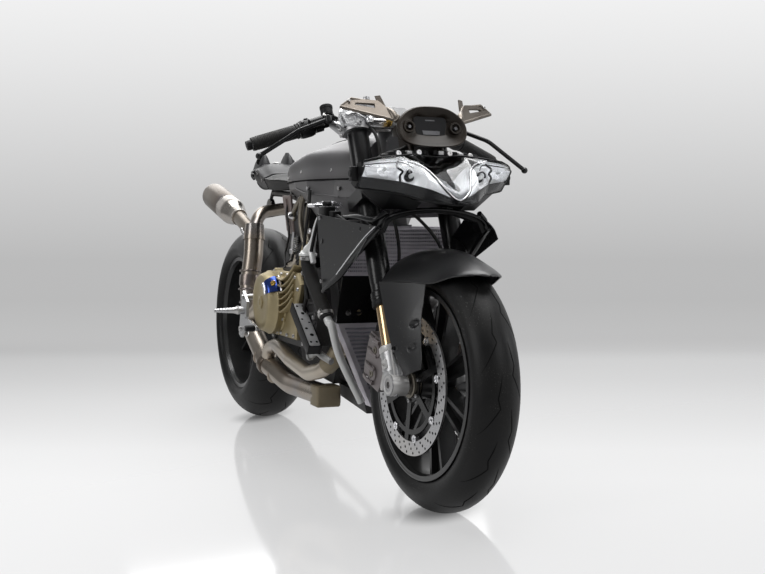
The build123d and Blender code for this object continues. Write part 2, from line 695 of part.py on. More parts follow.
# ---------------------------------------------------------------- body
def six_loop(x, z_top, half_top, z_mid, half_mid, z_low, half_low):
    """Six-sided section across the bike."""
    return ((x, -half_top, z_top), (x, half_top, z_top), (x, half_mid, z_mid),
            (x, half_low, z_low), (x, -half_low, z_low), (x, -half_mid, z_mid))


# columns: x, then height and half width of the top edge, the shoulder and the bottom edge
TANK_LOW = 786.0
TANK_SECTIONS = ((HEAD_X - 425, 886, 30, 856, 62, TANK_LOW, 70), (HEAD_X - 500, 897, 44, 858, 106, TANK_LOW, 118),
                 (900, 894, 56, 856, 148, TANK_LOW, 150), (760, 878, 56, 836, 148, TANK_LOW, 142),
                 (650, 850, 50, 818, 120, TANK_LOW, 122), (584, 822, 44, 806, 98, TANK_LOW, 100))
FRAME_SECTIONS = ((HEAD_X - 425, TANK_LOW - SEAT, 70, 742, 72, 690, 54), (HEAD_X - 500, TANK_LOW - SEAT, 118, 742, 122, 664, 90),
                  (900, TANK_LOW - SEAT, 150, 752, 146, 680, 110), (780, TANK_LOW - SEAT, 143, 768, 140, 746, 120),
                  (600, TANK_LOW - SEAT, 103, 768, 100, 748, 84))
TAIL_SECTIONS = ((312, 828, 64, 812, 94, 776, 78), (215, 858, 56, 838, 84, 778, 60), (130, 870, 52, 836, 76, 786, 48),
                 (58, 862, 46, 838, 66, 806, 42))
SEAT_SECTIONS = ((578, 806, 66, 796, 92, 774, 88), (450, 812, 76, 802, 104, 770, 96), (324, 826, 66, 810, 94, 776, 80))


def steer_bar(low, high, radius):
    """Round bar on the steering axis, in the bike's own frame."""
    return STEER * rod((0, 0, low), (0, 0, high), radius)


HEADSTOCK_LOW = LOW_CLAMP_LOW + LOW_CLAMP_T + 4
HEADSTOCK_HIGH = TOP_CLAMP_LOW - 6


def monocoque():
    """Frame shell behind the headstock, carried round it and bolted to both cylinder heads."""
    shell = hull_along([six_loop(*row) for row in FRAME_SECTIONS[:2]])
    for near, far in zip(FRAME_SECTIONS[1:], FRAME_SECTIONS[2:]):
        shell = shell + hull_along([six_loop(*near), six_loop(*far)])
    neck = steer_bar(HEADSTOCK_LOW, HEADSTOCK_HIGH, HEADSTOCK_R)
    gusset = STEER * block((-110, 0), (-30, 30), (HEADSTOCK_LOW + 14, HEADSTOCK_HIGH - 60))
    shell = shell + neck + gusset
    for side in SIDES:
        low, high = sorted((side * 60, side * 92))
        shell = shell + slab(((1010, 590), (1042, 580), (1060, 672), (1000, 672)), low, high)
        shell = shell + slab(((640, 734), (700, 738), (700, 760), (640, 760)), low, high)
    shell = shell - steer_bar(HEADSTOCK_LOW - 20, HEADSTOCK_HIGH + 20, STEM_R + RUN)
    tank_space = hull_along([six_loop(*row) for row in TANK_SECTIONS[:2]])
    return shell - tank_space - front_cylinder() - rear_cylinder()


def tank():
    body = hull_along([six_loop(*row) for row in TANK_SECTIONS[:2]])
    for near, far in zip(TANK_SECTIONS[1:], TANK_SECTIONS[2:]):
        body = body + hull_along([six_loop(*near), six_loop(*far)])
    cap = rod((905, 0, 880), (905, 0, 902), 46) - rod((905, 0, 898), (905, 0, 910), 34)
    body = body + cap
    return body - steer_bar(HEADSTOCK_LOW - 20, HEADSTOCK_HIGH + 20, HEADSTOCK_R + 8) \
        - STEER * block((-111, 0), (-31, 31), (HEADSTOCK_LOW, HEADSTOCK_HIGH - 59))


def seat_pad():
    body = hull_along([six_loop(*row) for row in SEAT_SECTIONS[:2]])
    return body + hull_along([six_loop(*row) for row in SEAT_SECTIONS[1:]])


def subframe():
    """Two rails from the frame shell back to the tail, tied by cross bars."""
    rails = Part()
    for side in SIDES:
        rails = rails + rod((625, side * 70, 752), (300, side * 52, 765.6), 10)
        rails = rails + rod((620, side * 78, 742), (470, side * 60, 758), 8)
    ties = rod((300, -62, 764), (300, 62, 764), 9) + rod((470, -62, 758), (470, 62, 758), 9)
    return rails + ties - monocoque()


def tail_cowl():
    """Tail body with a raised horn on each side behind the seat."""
    body = hull_along([six_loop(*row) for row in TAIL_SECTIONS[:2]])
    for near, far in zip(TAIL_SECTIONS[1:], TAIL_SECTIONS[2:]):
        body = body + hull_along([six_loop(*near), six_loop(*far)])
    for side in SIDES:
        base = ((176, side * 28, 850), (176, side * 66, 850), (84, side * 60, 850), (84, side * 24, 850))
        crown = ((142, side * 38, 906), (142, side * 50, 906), (112, side * 48, 906), (112, side * 37, 906))
        body = body + hull_along([base, crown])
    holes = Part()
    for x in (84, 116):
        holes = holes + rod((x, 0, 776), (x, 0, 830), 3.3)
    return body - holes


# headlight, columns: y, top x, top z, nose x, nose z, low x, low z (measured from the steering ground point)
LAMP_SECTIONS = ((0, -143, 833, 5, 741, -14, 719), (30, -140, 834, -10, 756, -8, 721), (60, -120, 836, -30, 776, -28, 725),
                 (112, -100, 830, -68, 790, -98, 746), (160, -104, 824, -86, 796, -140, 753),
                 (193, -126, 815, -121, 800, -166, 758))
LAMP_BACK = -196.0
LENS_T = 5.0


def lamp_loop(row, side, front, back):
    """Section of the lamp at one station; back is None for the lens shell."""
    y, top_x, top_z, nose_x, nose_z, low_x, low_z = row
    edge = [(HEAD_X + top_x - front, side * y, top_z), (HEAD_X + nose_x - front, side * y, nose_z),
            (HEAD_X + low_x - front, side * y, low_z)]
    if back is None:
        inner = [(x - LENS_T, v, z) for x, v, z in reversed(edge)]
        return edge + inner
    return edge + [(HEAD_X + back, side * y, low_z + 4), (HEAD_X + back, side * y, top_z - 2)]


def lamp_body(front, back):
    whole = Part()
    for side in SIDES:
        for near, far in zip(LAMP_SECTIONS, LAMP_SECTIONS[1:]):
            whole = whole + hull_along([lamp_loop(near, side, front, back), lamp_loop(far, side, front, back)])
    return whole


def headlight_lens():
    return lamp_body(0, None)


def headlight_housing():
    return lamp_body(LENS_T + SEAT, LAMP_BACK)


# black ducts under the lamp, columns: y, then front top x z, front low x z, back x, low z and top z
DUCT_SECTIONS = ((58, -84, 724.5, -118, 708.1, -190, 708.1), (120, -110, 746.8, -168, 708.8, -192, 708.8),
                 (170, -160, 753.8, -172, 748.8, -184, 748.8))


def duct_loop(row, side):
    y, top_x, top_z, low_x, low_z, back_x, back_z = row
    corners = ((top_x, top_z), (low_x, low_z), (back_x, back_z), (back_x, top_z))
    return [(HEAD_X + x, side * y, z) for x, z in corners]


def lamp_duct(side):
    near, mid, far = (duct_loop(row, side) for row in DUCT_SECTIONS)
    return hull_along([near, mid]) + hull_along([mid, far])


# instrument bracket, columns: y, z of the face's right half; the face leans back as it rises
BRACKET_EDGE = ((0, 955), (46, 948), (80, 926), (87, 898), (76, 868), (46, 858), (0, 856))
BRACKET_MID = 903.0
BRACKET_X = HEAD_X - 162
BRACKET_TILT = 0.25


def bracket_loop(inset, back):
    """Loop of the bracket's face: shrunk by inset towards its centre and moved back."""
    half = []
    for y, z in BRACKET_EDGE:
        height = (z - BRACKET_MID) * (1 - inset)
        half.append((BRACKET_X - height * BRACKET_TILT - back, y * (1 - inset), BRACKET_MID + height))
    other = [(x, -y, z) for x, y, z in reversed(half[1:-1])]
    return half + other


def front_bracket():
    """Cast bracket ahead of the headstock: dished face, strut back to the neck and lamp feet."""
    shell = hull_along([bracket_loop(0, 0), bracket_loop(0.1, 62)])
    dish = hull_along([bracket_loop(0.12, -4), bracket_loop(0.3, 20)])
    window = block((HEAD_X - 240, HEAD_X - 130), (-42, 42), (880, 928))
    shell = shell - dish - window
    for side in SIDES:
        ring_boss = rod((HEAD_X - 200, side * 57, 903), (HEAD_X - 166, side * 57, 903), 12)
        shell = shell + ring_boss
    strut = STEER * block((HEADSTOCK_R + SEAT, 136), (-26, 26), (872, 924))
    cheek = STEER * block((104, 180), (-48, 48), (866, 950))
    shell = shell + strut + cheek
    for side in SIDES:
        shell = shell + rod((HEAD_X - 186, side * 34, 832.3), (HEAD_X - 190, side * 34, 872), 8)
    return shell - window - headlight_housing()


# mirror stay, columns: x behind the steering ground point, y, z
STAY_EDGE = ((-176, 86, 918), (-246, 200, 950), (-246, 172, 971), (-226, 112, 962), (-192, 90, 938))
STAY_SLOT = ((-214, 124, 944), (-236, 168, 954), (-236, 164, 961), (-222, 122, 955))


def mirror_stay(side):
    """Slender plated stay for a mirror on the bracket's upper corner, with a slot along it."""
    edge = [(HEAD_X + x, side * y, z) for x, y, z in STAY_EDGE]
    plate = skin(edge, 6) + rod(edge[0], edge[1], 4)
    slot = skin([(HEAD_X + x, side * y, z) for x, y, z in STAY_SLOT], 14)
    pad = rod((HEAD_X - 188, side * 68, 920), (HEAD_X - 188, side * 92, 927), 9)
    return plate - slot + pad - front_bracket()


def display():
    """Back of the instrument panel, seen through the bracket's window."""
    return block((HEAD_X - 238, HEAD_X - 206), (-41.5, 41.5), (880.5, 927.5))


# ---------------------------------------------------------------- cooling
RAD_FRONT = HEAD_X - 370
RAD_T = 36.0
RAD_HALF = 173.0
RAD_LOW = 542.0
RAD_HIGH = 668.0
COOLER_FRONT = HEAD_X - 414
COOLER_T = 32.0
COOLER_LOW = 200.0
COOLER_HIGH = 418.0
COOLER_HALF_HIGH = 138.0
COOLER_HALF_LOW = 44.0
PLATE_T = 8.0
PLATE_HALF = 140.0


def wall(points, x_low, x_high):
    """Outline of (y, z) points extruded along X."""
    outline = [(x_low, y, z) for y, z in points]
    return extrude(make_face(Polyline(*outline, close=True)), amount=x_high - x_low, dir=(1, 0, 0))


def finned(front, thickness, low, high, fins):
    """Core with level fins proud of its front and a tank at each end; low and high are (z, half width)."""
    tank_w = 14
    z_low, half_low = low
    z_high, half_high = high
    outline = ((-half_low, z_low), (half_low, z_low), (half_high, z_high), (-half_high, z_high))
    core = wall(outline, front - thickness, front - 3)
    step = (z_high - z_low) / (fins + 1)
    for i in range(fins):
        z = z_low + step * (i + 1)
        half = half_low + (half_high - half_low) * (i + 0.8) / (fins + 1) - tank_w
        core = core + block((front - 4, front), (-half, half), (z - 1.6, z + 1.6))
    for side in SIDES:
        tank_side = [(side * half_low, z_low), (side * half_high, z_high),
                     (side * (half_high - tank_w), z_high), (side * (half_low - tank_w), z_low)]
        core = core + wall(tank_side, front - thickness - 4, front + 2)
    return core


def upper_radiator():
    return finned(RAD_FRONT, RAD_T, (RAD_LOW, RAD_HALF), (RAD_HIGH, RAD_HALF), 14)


def lower_cooler():
    return finned(COOLER_FRONT, COOLER_T, (COOLER_LOW, COOLER_HALF_LOW), (COOLER_HIGH, COOLER_HALF_HIGH), 18)


def cooler_plate():
    """Dark plate between the two coolers, with two round holes a side and a stay to the front head."""
    top = RAD_LOW - SEAT
    low = COOLER_HIGH + SEAT
    outline = ((RAD_FRONT - 4, top), (RAD_FRONT - 4 - PLATE_T, top), (COOLER_FRONT - 4 - PLATE_T, low), (COOLER_FRONT - 4, low))
    plate = slab(outline, -PLATE_HALF, PLATE_HALF)
    for y in (-112, -82, 82, 112):
        plate = plate - rod((COOLER_FRONT - 60, y, 446), (COOLER_FRONT + 60, y, 446), 8)
    stay = block((1040, COOLER_FRONT + 12), (-30, 30), (470, 486))
    return plate + stay - front_cylinder()


def side_panel(side):
    """Flat three-cornered panel outside the radiator, with a folded front edge."""
    top_back = (HEAD_X - 385, side * 206, 696)
    bottom = (HEAD_X - 409, side * 181, 501)
    front = (HEAD_X - 131, side * 141, 666)
    plate = skin([top_back, bottom, front], 3)
    lip = rod(bottom, front, 5)
    tab = rod((RAD_FRONT - 12, side * (RAD_HALF + SEAT), 630), (RAD_FRONT - 12, side * 197, 630), 8)
    return plate + lip + tab


# radiator shroud arch, columns: y, z
SHROUD_ARCH = ((136.4, 662), (122, 690), (60, 707), (0, 711))


def shroud():
    """Black arch over the front wheel between the claws of the side panels."""
    outer = [(y, z) for y, z in SHROUD_ARCH]
    outer = outer + [(-y, z) for y, z in reversed(outer[:-1])]
    inner = [(y * 0.93, z - 9) for y, z in reversed(outer)]
    return wall(outer + inner, HEAD_X - 172, HEAD_X - 136)


# coolant hose on the right, then the light pipes above and below it
HOSE_ROUTE = ((1000, -178, 588), (1000, -178, 562), (1030, -176, 524), (1064, -171, 488), (1112, -163, 432))
HOSE_R = 18.5
NECK_X = 1088.0          # coolant neck
NECK_Y = -152.0
NECK_R = 20.0
NECK_TOP = 716.0
RAIL_R = 10.0


def coolant_hose():
    return pipe(HOSE_ROUTE, (30, 90, 110), HOSE_R)


def lower_pipe():
    """Light alloy tube from the hose's end down the slanted edge of the lower cooler."""
    end = vec(HOSE_ROUTE[-1])
    ahead = (end - vec(HOSE_ROUTE[-2])).normalized()
    route = (tuple(end + ahead * SEAT), tuple(end + ahead * 20), (COOLER_FRONT - 10, -66, 210))
    return pipe(route, (14,), RAIL_R)


def upper_pipe():
    tube = pipe(((1000, -178, 588 + SEAT), (1000, -178, 636), (1074, -163, 690)), (30,), 16)
    return tube - rod((NECK_X, NECK_Y, 640), (NECK_X, NECK_Y, 740), NECK_R + SEAT)


# ---------------------------------------------------------------- exhaust
MAIN_R = 30.0
HEADER_R = 21.5
MAIN_ROUTE = ((905, -96, 203), (690, -122, 207), (560, -152, 252), (428, -164, 350), (400, -162, 480),
              (393, -149, 570), (382, -143, 642))
HEADER_ROUTE = ((1020, -60, 396), (1030, -104, 330), (985, -128, 282), (905, -140, 264), (775, -150, 288),
                (652, -150, 316), (588, -152, 300), (566, -152, 262))
REAR_HEADER_ROUTE = ((646, -64, 590), (598, -74, 556), (548, -104, 500), (500, -138, 444), (456, -158, 398), (424, -163, 376))
CROSS_ROUTE = ((378, -143, 652), (352, -116, 702), (290, -20, 716), (282, 92, 712), (270, 148, 696), (262, 158, 686))
SILENCER_FRONT = (262, 158, 686)
SILENCER_BACK = (-24, 169, 762)
SILENCER_R = 43.0
SILENCER_BORE = 24.0


def corner_radii(points, bend):
    """The bend radius at each corner, limited by the runs beside it."""
    radii = []
    for a, b, c in zip(points, points[1:], points[2:]):
        before = vec(b) - vec(a)
        after = vec(c) - vec(b)
        turn = math.radians(before.get_angle(after))
        room = 0.45 * min(before.length, after.length) / math.tan(turn / 2)
        radii.append(min(bend, room))
    return radii


def run(points, radius, bend):
    return pipe(points, corner_radii(points, bend), radius)


def main_pipe():
    """Collector pipe from under the engine, up the right side to the fork of the two silencers."""
    box = hull_along([[(880, y, z) for y, z in ((-126, 174), (-66, 174), (-66, 230), (-126, 230))],
                      [(936, y, z) for y, z in ((-118, 184), (-58, 184), (-58, 226), (-118, 226))]])
    return run(MAIN_ROUTE, MAIN_R, 140) + box


def front_header():
    flange = rod((1018, -58, 400), (1022, -68, 386), 34)
    return run(HEADER_ROUTE, HEADER_R, 60) + flange - front_cylinder() - run(MAIN_ROUTE, MAIN_R + SEAT, 140) - crankcase()


def rear_header():
    return run(REAR_HEADER_ROUTE, HEADER_R, 70) - rear_cylinder() - run(MAIN_ROUTE, MAIN_R + SEAT, 140)


def cross_pipe():
    """Link pipe over the rear wheel to the left silencer, with the short inlet of the right one."""
    inlet = rod((380, -144, 634), (262, -158, 686), 22)
    ferrule = cone((386, -145, 616), (376, -141, 664), 34, 29)
    whole = run(CROSS_ROUTE, 20, 90) + inlet + ferrule
    return whole - run(MAIN_ROUTE, MAIN_R + SEAT, 140) - silencer(-1) - silencer(1)


def silencer_axis(side):
    front = vec(SILENCER_FRONT)
    back = vec(SILENCER_BACK)
    return Vector(front.X, side * front.Y, front.Z), Vector(back.X, side * back.Y, back.Z)


def silencer(side):
    """Round silencer: inlet cone, can, tapered end cap and open outlet."""
    front, back = silencer_axis(side)
    line = (back - front).normalized()
    long = (back - front).length
    at = [tuple(front + line * share) for share in (0, 58, long - 44, long)]
    body = cone(at[0], at[1], 24, SILENCER_R) + rod(at[1], at[2], SILENCER_R) + cone(at[2], at[3], SILENCER_R, SILENCER_R - 12)
    bore = rod(tuple(back - line * 90), tuple(back + line * 2), SILENCER_BORE)
    strap = rod(tuple(front + line * (long - 150)), tuple(front + line * (long - 130)), SILENCER_R + 2.5)
    mid = front + line * (long - 140)
    hanger = rod((mid.X, side * (abs(mid.Y) - 34), mid.Z + 20), (mid.X, side * 50, 800), 6)
    return body - bore + strap + (hanger - tail_cowl())


# ---------------------------------------------------------------- rider's controls
def rearset(side):
    """Plate with the footpeg, hung on two bosses from the crankcase's rear lug."""
    plate = slab(((560, 470), (604, 440), (600, 396), (546, 330), (522, 338), (536, 400)),
                 min(side * 222, side * 230), max(side * 222, side * 230))
    lug = Part()
    for x, z in ((570, 452), (545, 356)):
        lug = lug + across(x, z, min(side * 100, side * 224), max(side * 100, side * 224), 9)
    peg_root = across(572, 413, min(side * 228, side * 248), max(side * 228, side * 248), 12)
    return plate + lug + peg_root - crankcase() - swingarm() - run(MAIN_ROUTE, MAIN_R + 2, 140) - chain()


def footpeg(side):
    low, high = sorted((side * (248 + SEAT), side * 318))
    peg = across(572, 413, low, high, 10)
    for i in range(4):
        y = side * (264 + 14 * i)
        low, high = sorted((y, y + side * 5))
        peg = peg + across(572, 413, low, high, 12.5)
    return peg


def pedal(side):
    """Foot lever: arm forward from the peg's root to a toe piece."""
    low, high = sorted((side * (230 + SEAT), side * 238))
    arm = slab(((560, 386), (580, 392), (705, 378), (708, 366), (600, 372), (572, 376)), low, high)
    toe = across(704, 371, min(side * 234, side * 262), max(side * 234, side * 262), 7)
    return arm + toe


# ---------------------------------------------------------------- small fittings
def regulator():
    """Flat box with a holed plate on the engine's front right corner."""
    along = (vec((945, -150, 336)) - vec((800, -150, 440))).normalized()
    plane = Plane(origin=(958, -168, 392), x_dir=along, z_dir=(0, -1, 0))
    body = plane.location * Box(176, 26, 34)
    return body


def reservoir():
    """Coolant bottle neck with its light cap, standing on the right of the frame shell."""
    body = rod((NECK_X, NECK_Y, 634), (NECK_X, NECK_Y, NECK_TOP), NECK_R)
    body = body + rod((NECK_X, NECK_Y, 648), (RAD_FRONT - RAD_T - 4 - SEAT, NECK_Y, 648), 12)
    cap = rod((NECK_X, NECK_Y, NECK_TOP + SEAT), (NECK_X, NECK_Y, NECK_TOP + 22), 29)
    return body, cap


def belly():
    """Black nose piece under the sump."""
    return hull_along([[(890, y, z) for y, z in ((-40, 196), (40, 196), (46, 232 - SEAT), (-46, 232 - SEAT))],
                       [(1060, y, z) for y, z in ((-30, 172), (30, 172), (44, 222), (-44, 222))]])


# ---------------------------------------------------------------- side stand
STAND_PIN = (690.0, 139.0, 262.0)
STAND_TILT = (-0.20, 1.0, 0.25)      # direction of the pin: tilted, so that the leg folds in as it swings back
STAND_FOOT_X = 742.0
STAND_FOOT_Y = 272.0     # on the ground, from the middle of the leaned bike
STAND_PIN_R = 8.0
EYE_HALF = 11.0          # half thickness of the leg's eye along the pin
PAD_T = 8.0


def pin_bar(low, high, radius):
    """Round bar on the stand's pin line, from low to high outward of the eye's middle."""
    outward = vec(STAND_TILT).normalized()
    return rod(tuple(vec(STAND_PIN) + outward * low), tuple(vec(STAND_PIN) + outward * high), radius)


def stand_bracket():
    """Lug under the crankcase with the boss, the stand's pin and its retaining washer."""
    lug = slab(((656, SUMP_TOP - SEAT), (730, SUMP_TOP - SEAT), (716, 262), (664, 262)), 92, 120)
    boss = pin_bar(-36, -EYE_HALF - SEAT, 24)
    return lug + boss + pin_bar(-30, EYE_HALF + 7, STAND_PIN_R) + pin_bar(EYE_HALF + SEAT, EYE_HALF + 7, 13)


# ---------------------------------------------------------------- lean and steer
def tyre_low(place, radius, crown):
    """Height of the lowest point of a tyre whose wheel place is given."""
    plane = Plane(place)
    flat = math.sqrt(1 - plane.y_dir.Z**2)
    return plane.origin.Z - (radius - crown) * flat - crown


TURN = Rot(0, 0, STEERED)
LEANED = Rot(-LEAN, 0, 0)


def rest_place():
    """Placement of the upright bike that sets both tyres on the ground, leaned and pitched."""
    place = LEANED
    for _ in range(3):
        front = place * STEER * TURN * FRONT_HUB
        rear = place * REAR_HUB
        rise = tyre_low(front, FRONT_R, FRONT_CROWN) - tyre_low(rear, REAR_R, REAR_CROWN)
        pitch = math.degrees(math.atan2(rise, front.position.X - rear.position.X))
        place = Rot(0, pitch, 0) * place
    return Pos(0, 0, -tyre_low(place * REAR_HUB, REAR_R, REAR_CROWN)) * place


PLACE = rest_place()


def side_stand():
    """Stand leg deployed: eye on the pin, leg out to the left, a flat pad on the ground and a foot tang."""
    foot = PLACE.inverse() * Pos(STAND_FOOT_X, STAND_FOOT_Y, 0)
    pad = foot * Pos(0, 0, PAD_T / 2) * Box(70, 44, PAD_T)
    ankle = (foot * Pos(0, 0, PAD_T * 0.7)).position
    leg = rod(STAND_PIN, tuple(ankle), 11)
    tang = rod(tuple((foot * Pos(6, 4, 6)).position), tuple((foot * Pos(30, 26, 30)).position), 5)
    below = foot * Pos(0, 0, -50) * Box(300, 300, 100)
    body = pin_bar(-EYE_HALF, EYE_HALF, 19) + leg + pad + tang - below
    return body - pin_bar(EYE_HALF, EYE_HALF + 60, 16) - pin_bar(-60, 60, STAND_PIN_R + RUN)


# ---------------------------------------------------------------- the nodes
def pair(maker):
    return [maker(side) for side in SIDES]


CHASSIS = {
    "crankcase": [crankcase()],
    "cylinders": [front_cylinder(), rear_cylinder()],
    "engine_covers": [clutch_cover(), right_case(), left_cover()],
    "swingarm": [swingarm(), swingarm_pivot()],
    "rear_caliper": [rear_caliper()],
    "drive_chain": [chain()],
    "front_sprocket": [front_sprocket()],
    "shock": [shock()],
    "shock_links": [rocker(), shock_mount()],
    "monocoque": [monocoque()],
    "tank": [tank()],
    "seat": [seat_pad()],
    "subframe": [subframe()],
    "tail_cowl": [tail_cowl()],
    "headlight_lens": [headlight_lens()],
    "headlight_housing": [headlight_housing()],
    "front_shroud": [shroud(), *pair(lamp_duct)],
    "front_bracket": [front_bracket()],
    "mirror_stays": pair(mirror_stay),
    "display_back": [display()],
    "radiators": [upper_radiator(), lower_cooler()],
    "cooler_plate": [cooler_plate()],
    "side_panels": pair(side_panel),
    "coolant_hose": [coolant_hose(), reservoir()[0]],
    "coolant_pipes": [upper_pipe(), lower_pipe(), reservoir()[1]],
    "exhaust_pipes": [main_pipe(), cross_pipe()],
    "headers": [front_header(), rear_header()],
    "silencers": pair(silencer),
    "rearsets": pair(rearset),
    "foot_controls": [*pair(footpeg), *pair(pedal)],
    "regulator": [regulator()],
    "under_brackets": [belly(), stand_bracket()],
}
STEERING = {
    "fork_tubes": pair(outer_tube),
    "stanchions": pair(stanchion),
    "fork_feet": pair(fork_foot),
    "front_axle": [front_axle()],
    "front_calipers": pair(front_caliper),
    "top_clamp": [top_clamp(), damper()],
    "lower_clamp": [lower_clamp()],
    "clip_ons": pair(clip_on),
    "grips": pair(grip),
    "bar_controls": [*pair(switch_block), *pair(master_cylinder)],
    "levers": [lever(-1, BRAKE_LEVER), lever(1, CLUTCH_LEVER)],
    "front_fender": [front_fender()],
}
FRONT_WHEEL = {
    "front_tyre": [tyre(FRONT_R, FRONT_W, FRONT_CROWN, FRONT_RIM_W)],
    "front_rim": [front_rim()],
    "front_discs": pair(front_disc),
    "front_carriers": [front_carriers()],
}
REAR_WHEEL = {
    "rear_tyre": [tyre(REAR_R, REAR_W, REAR_CROWN, REAR_RIM_W)],
    "rear_rim": [rear_rim()],
    "rear_axle": [rear_axle()],
    "rear_disc": [rear_disc()],
    "rear_sprocket": [rear_sprocket()],
}
SIDE_STAND = {"side_stand": [side_stand()]}

# each body with the placement of its pieces in the upright bike
BODIES = {
    "chassis": (Pos(0, 0, 0), CHASSIS),
    "steering": (STEER * TURN, STEERING),
    "front_wheel": (STEER * TURN * FRONT_HUB, FRONT_WHEEL),
    "rear_wheel": (REAR_HUB, REAR_WHEEL),
    "side_stand": (Pos(0, 0, 0), SIDE_STAND),
}


def placed_nodes():
    """Every node's solids on the ground, leaned over, before the last shift to the middle."""
    nodes = {}
    for where, group in BODIES.values():
        for name, pieces in group.items():
            solids = [solid for piece in pieces for solid in piece.solids()]
            nodes[name] = [PLACE * where * solid for solid in solids]
    return nodes


def shift_of(nodes):
    """Move that brings the model's box over the origin."""
    whole = Compound(children=[solid for solids in nodes.values() for solid in solids]).bounding_box()
    return Pos(-(whole.min.X + whole.max.X) / 2, -(whole.min.Y + whole.max.Y) / 2, 0)


if __name__ == "__main__":
    os.makedirs("parts", exist_ok=True)
    NODES = placed_nodes()
    SHIFT = shift_of(NODES)
    for node_name, node_solids in NODES.items():
        moved = [SHIFT * solid for solid in node_solids]
        export_step(Compound(children=moved), f"parts/{node_name}.step")
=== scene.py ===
"""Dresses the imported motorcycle: stage, camera, finishes and the fine pieces that ride on its bodies."""
import json
import logging
import math
from dataclasses import dataclass
from enum import Enum
from typing import Iterable, Sequence

import bpy
import numpy as np
from mathutils import Matrix, Vector


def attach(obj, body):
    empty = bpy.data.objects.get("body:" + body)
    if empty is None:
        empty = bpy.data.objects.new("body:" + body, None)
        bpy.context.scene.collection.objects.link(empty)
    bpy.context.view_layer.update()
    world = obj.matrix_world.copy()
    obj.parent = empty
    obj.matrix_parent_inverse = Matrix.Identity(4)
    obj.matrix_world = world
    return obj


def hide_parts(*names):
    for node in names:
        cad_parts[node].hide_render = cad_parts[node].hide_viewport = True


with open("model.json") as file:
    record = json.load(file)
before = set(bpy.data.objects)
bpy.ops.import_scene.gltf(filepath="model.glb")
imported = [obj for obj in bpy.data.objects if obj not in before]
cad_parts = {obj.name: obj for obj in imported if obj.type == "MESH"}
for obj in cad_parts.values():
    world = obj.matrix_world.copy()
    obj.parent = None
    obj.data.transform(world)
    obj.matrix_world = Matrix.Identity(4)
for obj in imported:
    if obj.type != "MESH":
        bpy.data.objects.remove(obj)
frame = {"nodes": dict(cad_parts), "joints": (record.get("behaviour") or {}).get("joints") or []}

LOG = logging.getLogger("motorcycle")
Array = np.ndarray
Mesh = tuple[Array, list]
Axes = tuple[Array, Array, Array]
Rows = tuple[tuple[float, ...], ...]
Point = Sequence[float]
Profile = Sequence[tuple[float, float]]
Socket = bpy.types.NodeSocket
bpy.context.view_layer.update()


class Body(str, Enum):
    """The rigid bodies that pieces ride on."""

    CHASSIS = "chassis"
    STEERING = "steering"
    FRONT_WHEEL = "front_wheel"
    REAR_WHEEL = "rear_wheel"


# ------------------------------------------------------------------ places
RAKE = math.radians(24.5)
HEAD_X = 1535.0
STEERED = math.radians(3.9)
AXLE_OFFSET = 33.4
FRONT_UP = (300.0 - AXLE_OFFSET * math.sin(RAKE)) / math.cos(RAKE)
REAR_R = 326.0


def unit(v: Point) -> Array:
    """The vector v at length one."""
    v = np.asarray(v, float)
    return v / np.linalg.norm(v)


@dataclass(frozen=True)
class Place:
    """A right-handed frame: maps local millimetres to row metres as R p / 1000 + t."""

    turn: Array
    origin: Array

    def __call__(self, points: Array) -> Array:
        """Map an (n, 3) array of local points.

        Args:
            points: local points in millimetres.

        Returns:
            The points in the row frame, in metres.
        """
        return np.asarray(points, float) @ self.turn.T / 1000.0 + self.origin

    def inner(self, turn: Array, origin: Point) -> "Place":
        """A frame fixed in this one, turned by turn and moved to origin (millimetres)."""
        return Place(self.turn @ turn, self(np.asarray(origin, float)[None])[0])


def bike_place() -> Place:
    """The upright bike's frame, found from the rear hub and the two joint axes.

    Returns:
        Origin under the rear hub, X forward, Y to the rider's left, Z up the bike's middle plane.
    """
    joints = {j["name"]: j for j in frame["joints"]} if isinstance(frame["joints"], list) else frame["joints"]
    left = unit(joints["rear_wheel_spin"]["axis"])
    stem = unit(joints["steering"]["axis"])
    local = np.array([[-math.sin(RAKE), 0, math.cos(RAKE)], [0, 1, 0]])
    local = np.vstack([local, np.cross(local[0], local[1])])
    world = np.vstack([stem, left, np.cross(stem, left)])
    turn = world.T @ local
    hub = np.asarray(joints["rear_wheel_spin"]["pos_m"], float)
    return Place(turn, hub - turn @ np.array([0, 0, REAR_R / 1000]))


def turn_y(angle: float) -> Array:
    """Rotation about Y by angle, radians."""
    c, s = math.cos(angle), math.sin(angle)
    return np.array([[c, 0, s], [0, 1, 0], [-s, 0, c]])


def turn_z(angle: float) -> Array:
    """Rotation about Z by angle, radians."""
    c, s = math.cos(angle), math.sin(angle)
    return np.array([[c, -s, 0], [s, c, 0], [0, 0, 1]])


BIKE = bike_place()
STRAIGHT = BIKE.inner(turn_y(-RAKE), (HEAD_X, 0, 0))
FORK = STRAIGHT.inner(turn_z(STEERED), (0, 0, 0))
FRONT_HUB = FORK.inner(np.eye(3), (AXLE_OFFSET, 0, FRONT_UP))
REAR_HUB = BIKE.inner(np.eye(3), (0, 0, REAR_R))


@dataclass(frozen=True)
class Carrier:
    """A place to build in and the body that carries what is built there."""

    place: Place
    body: Body


CHASSIS = Carrier(BIKE, Body.CHASSIS)
STEERING = Carrier(FORK, Body.STEERING)
FRONT_WHEEL = Carrier(FRONT_HUB, Body.FRONT_WHEEL)
REAR_WHEEL = Carrier(REAR_HUB, Body.REAR_WHEEL)


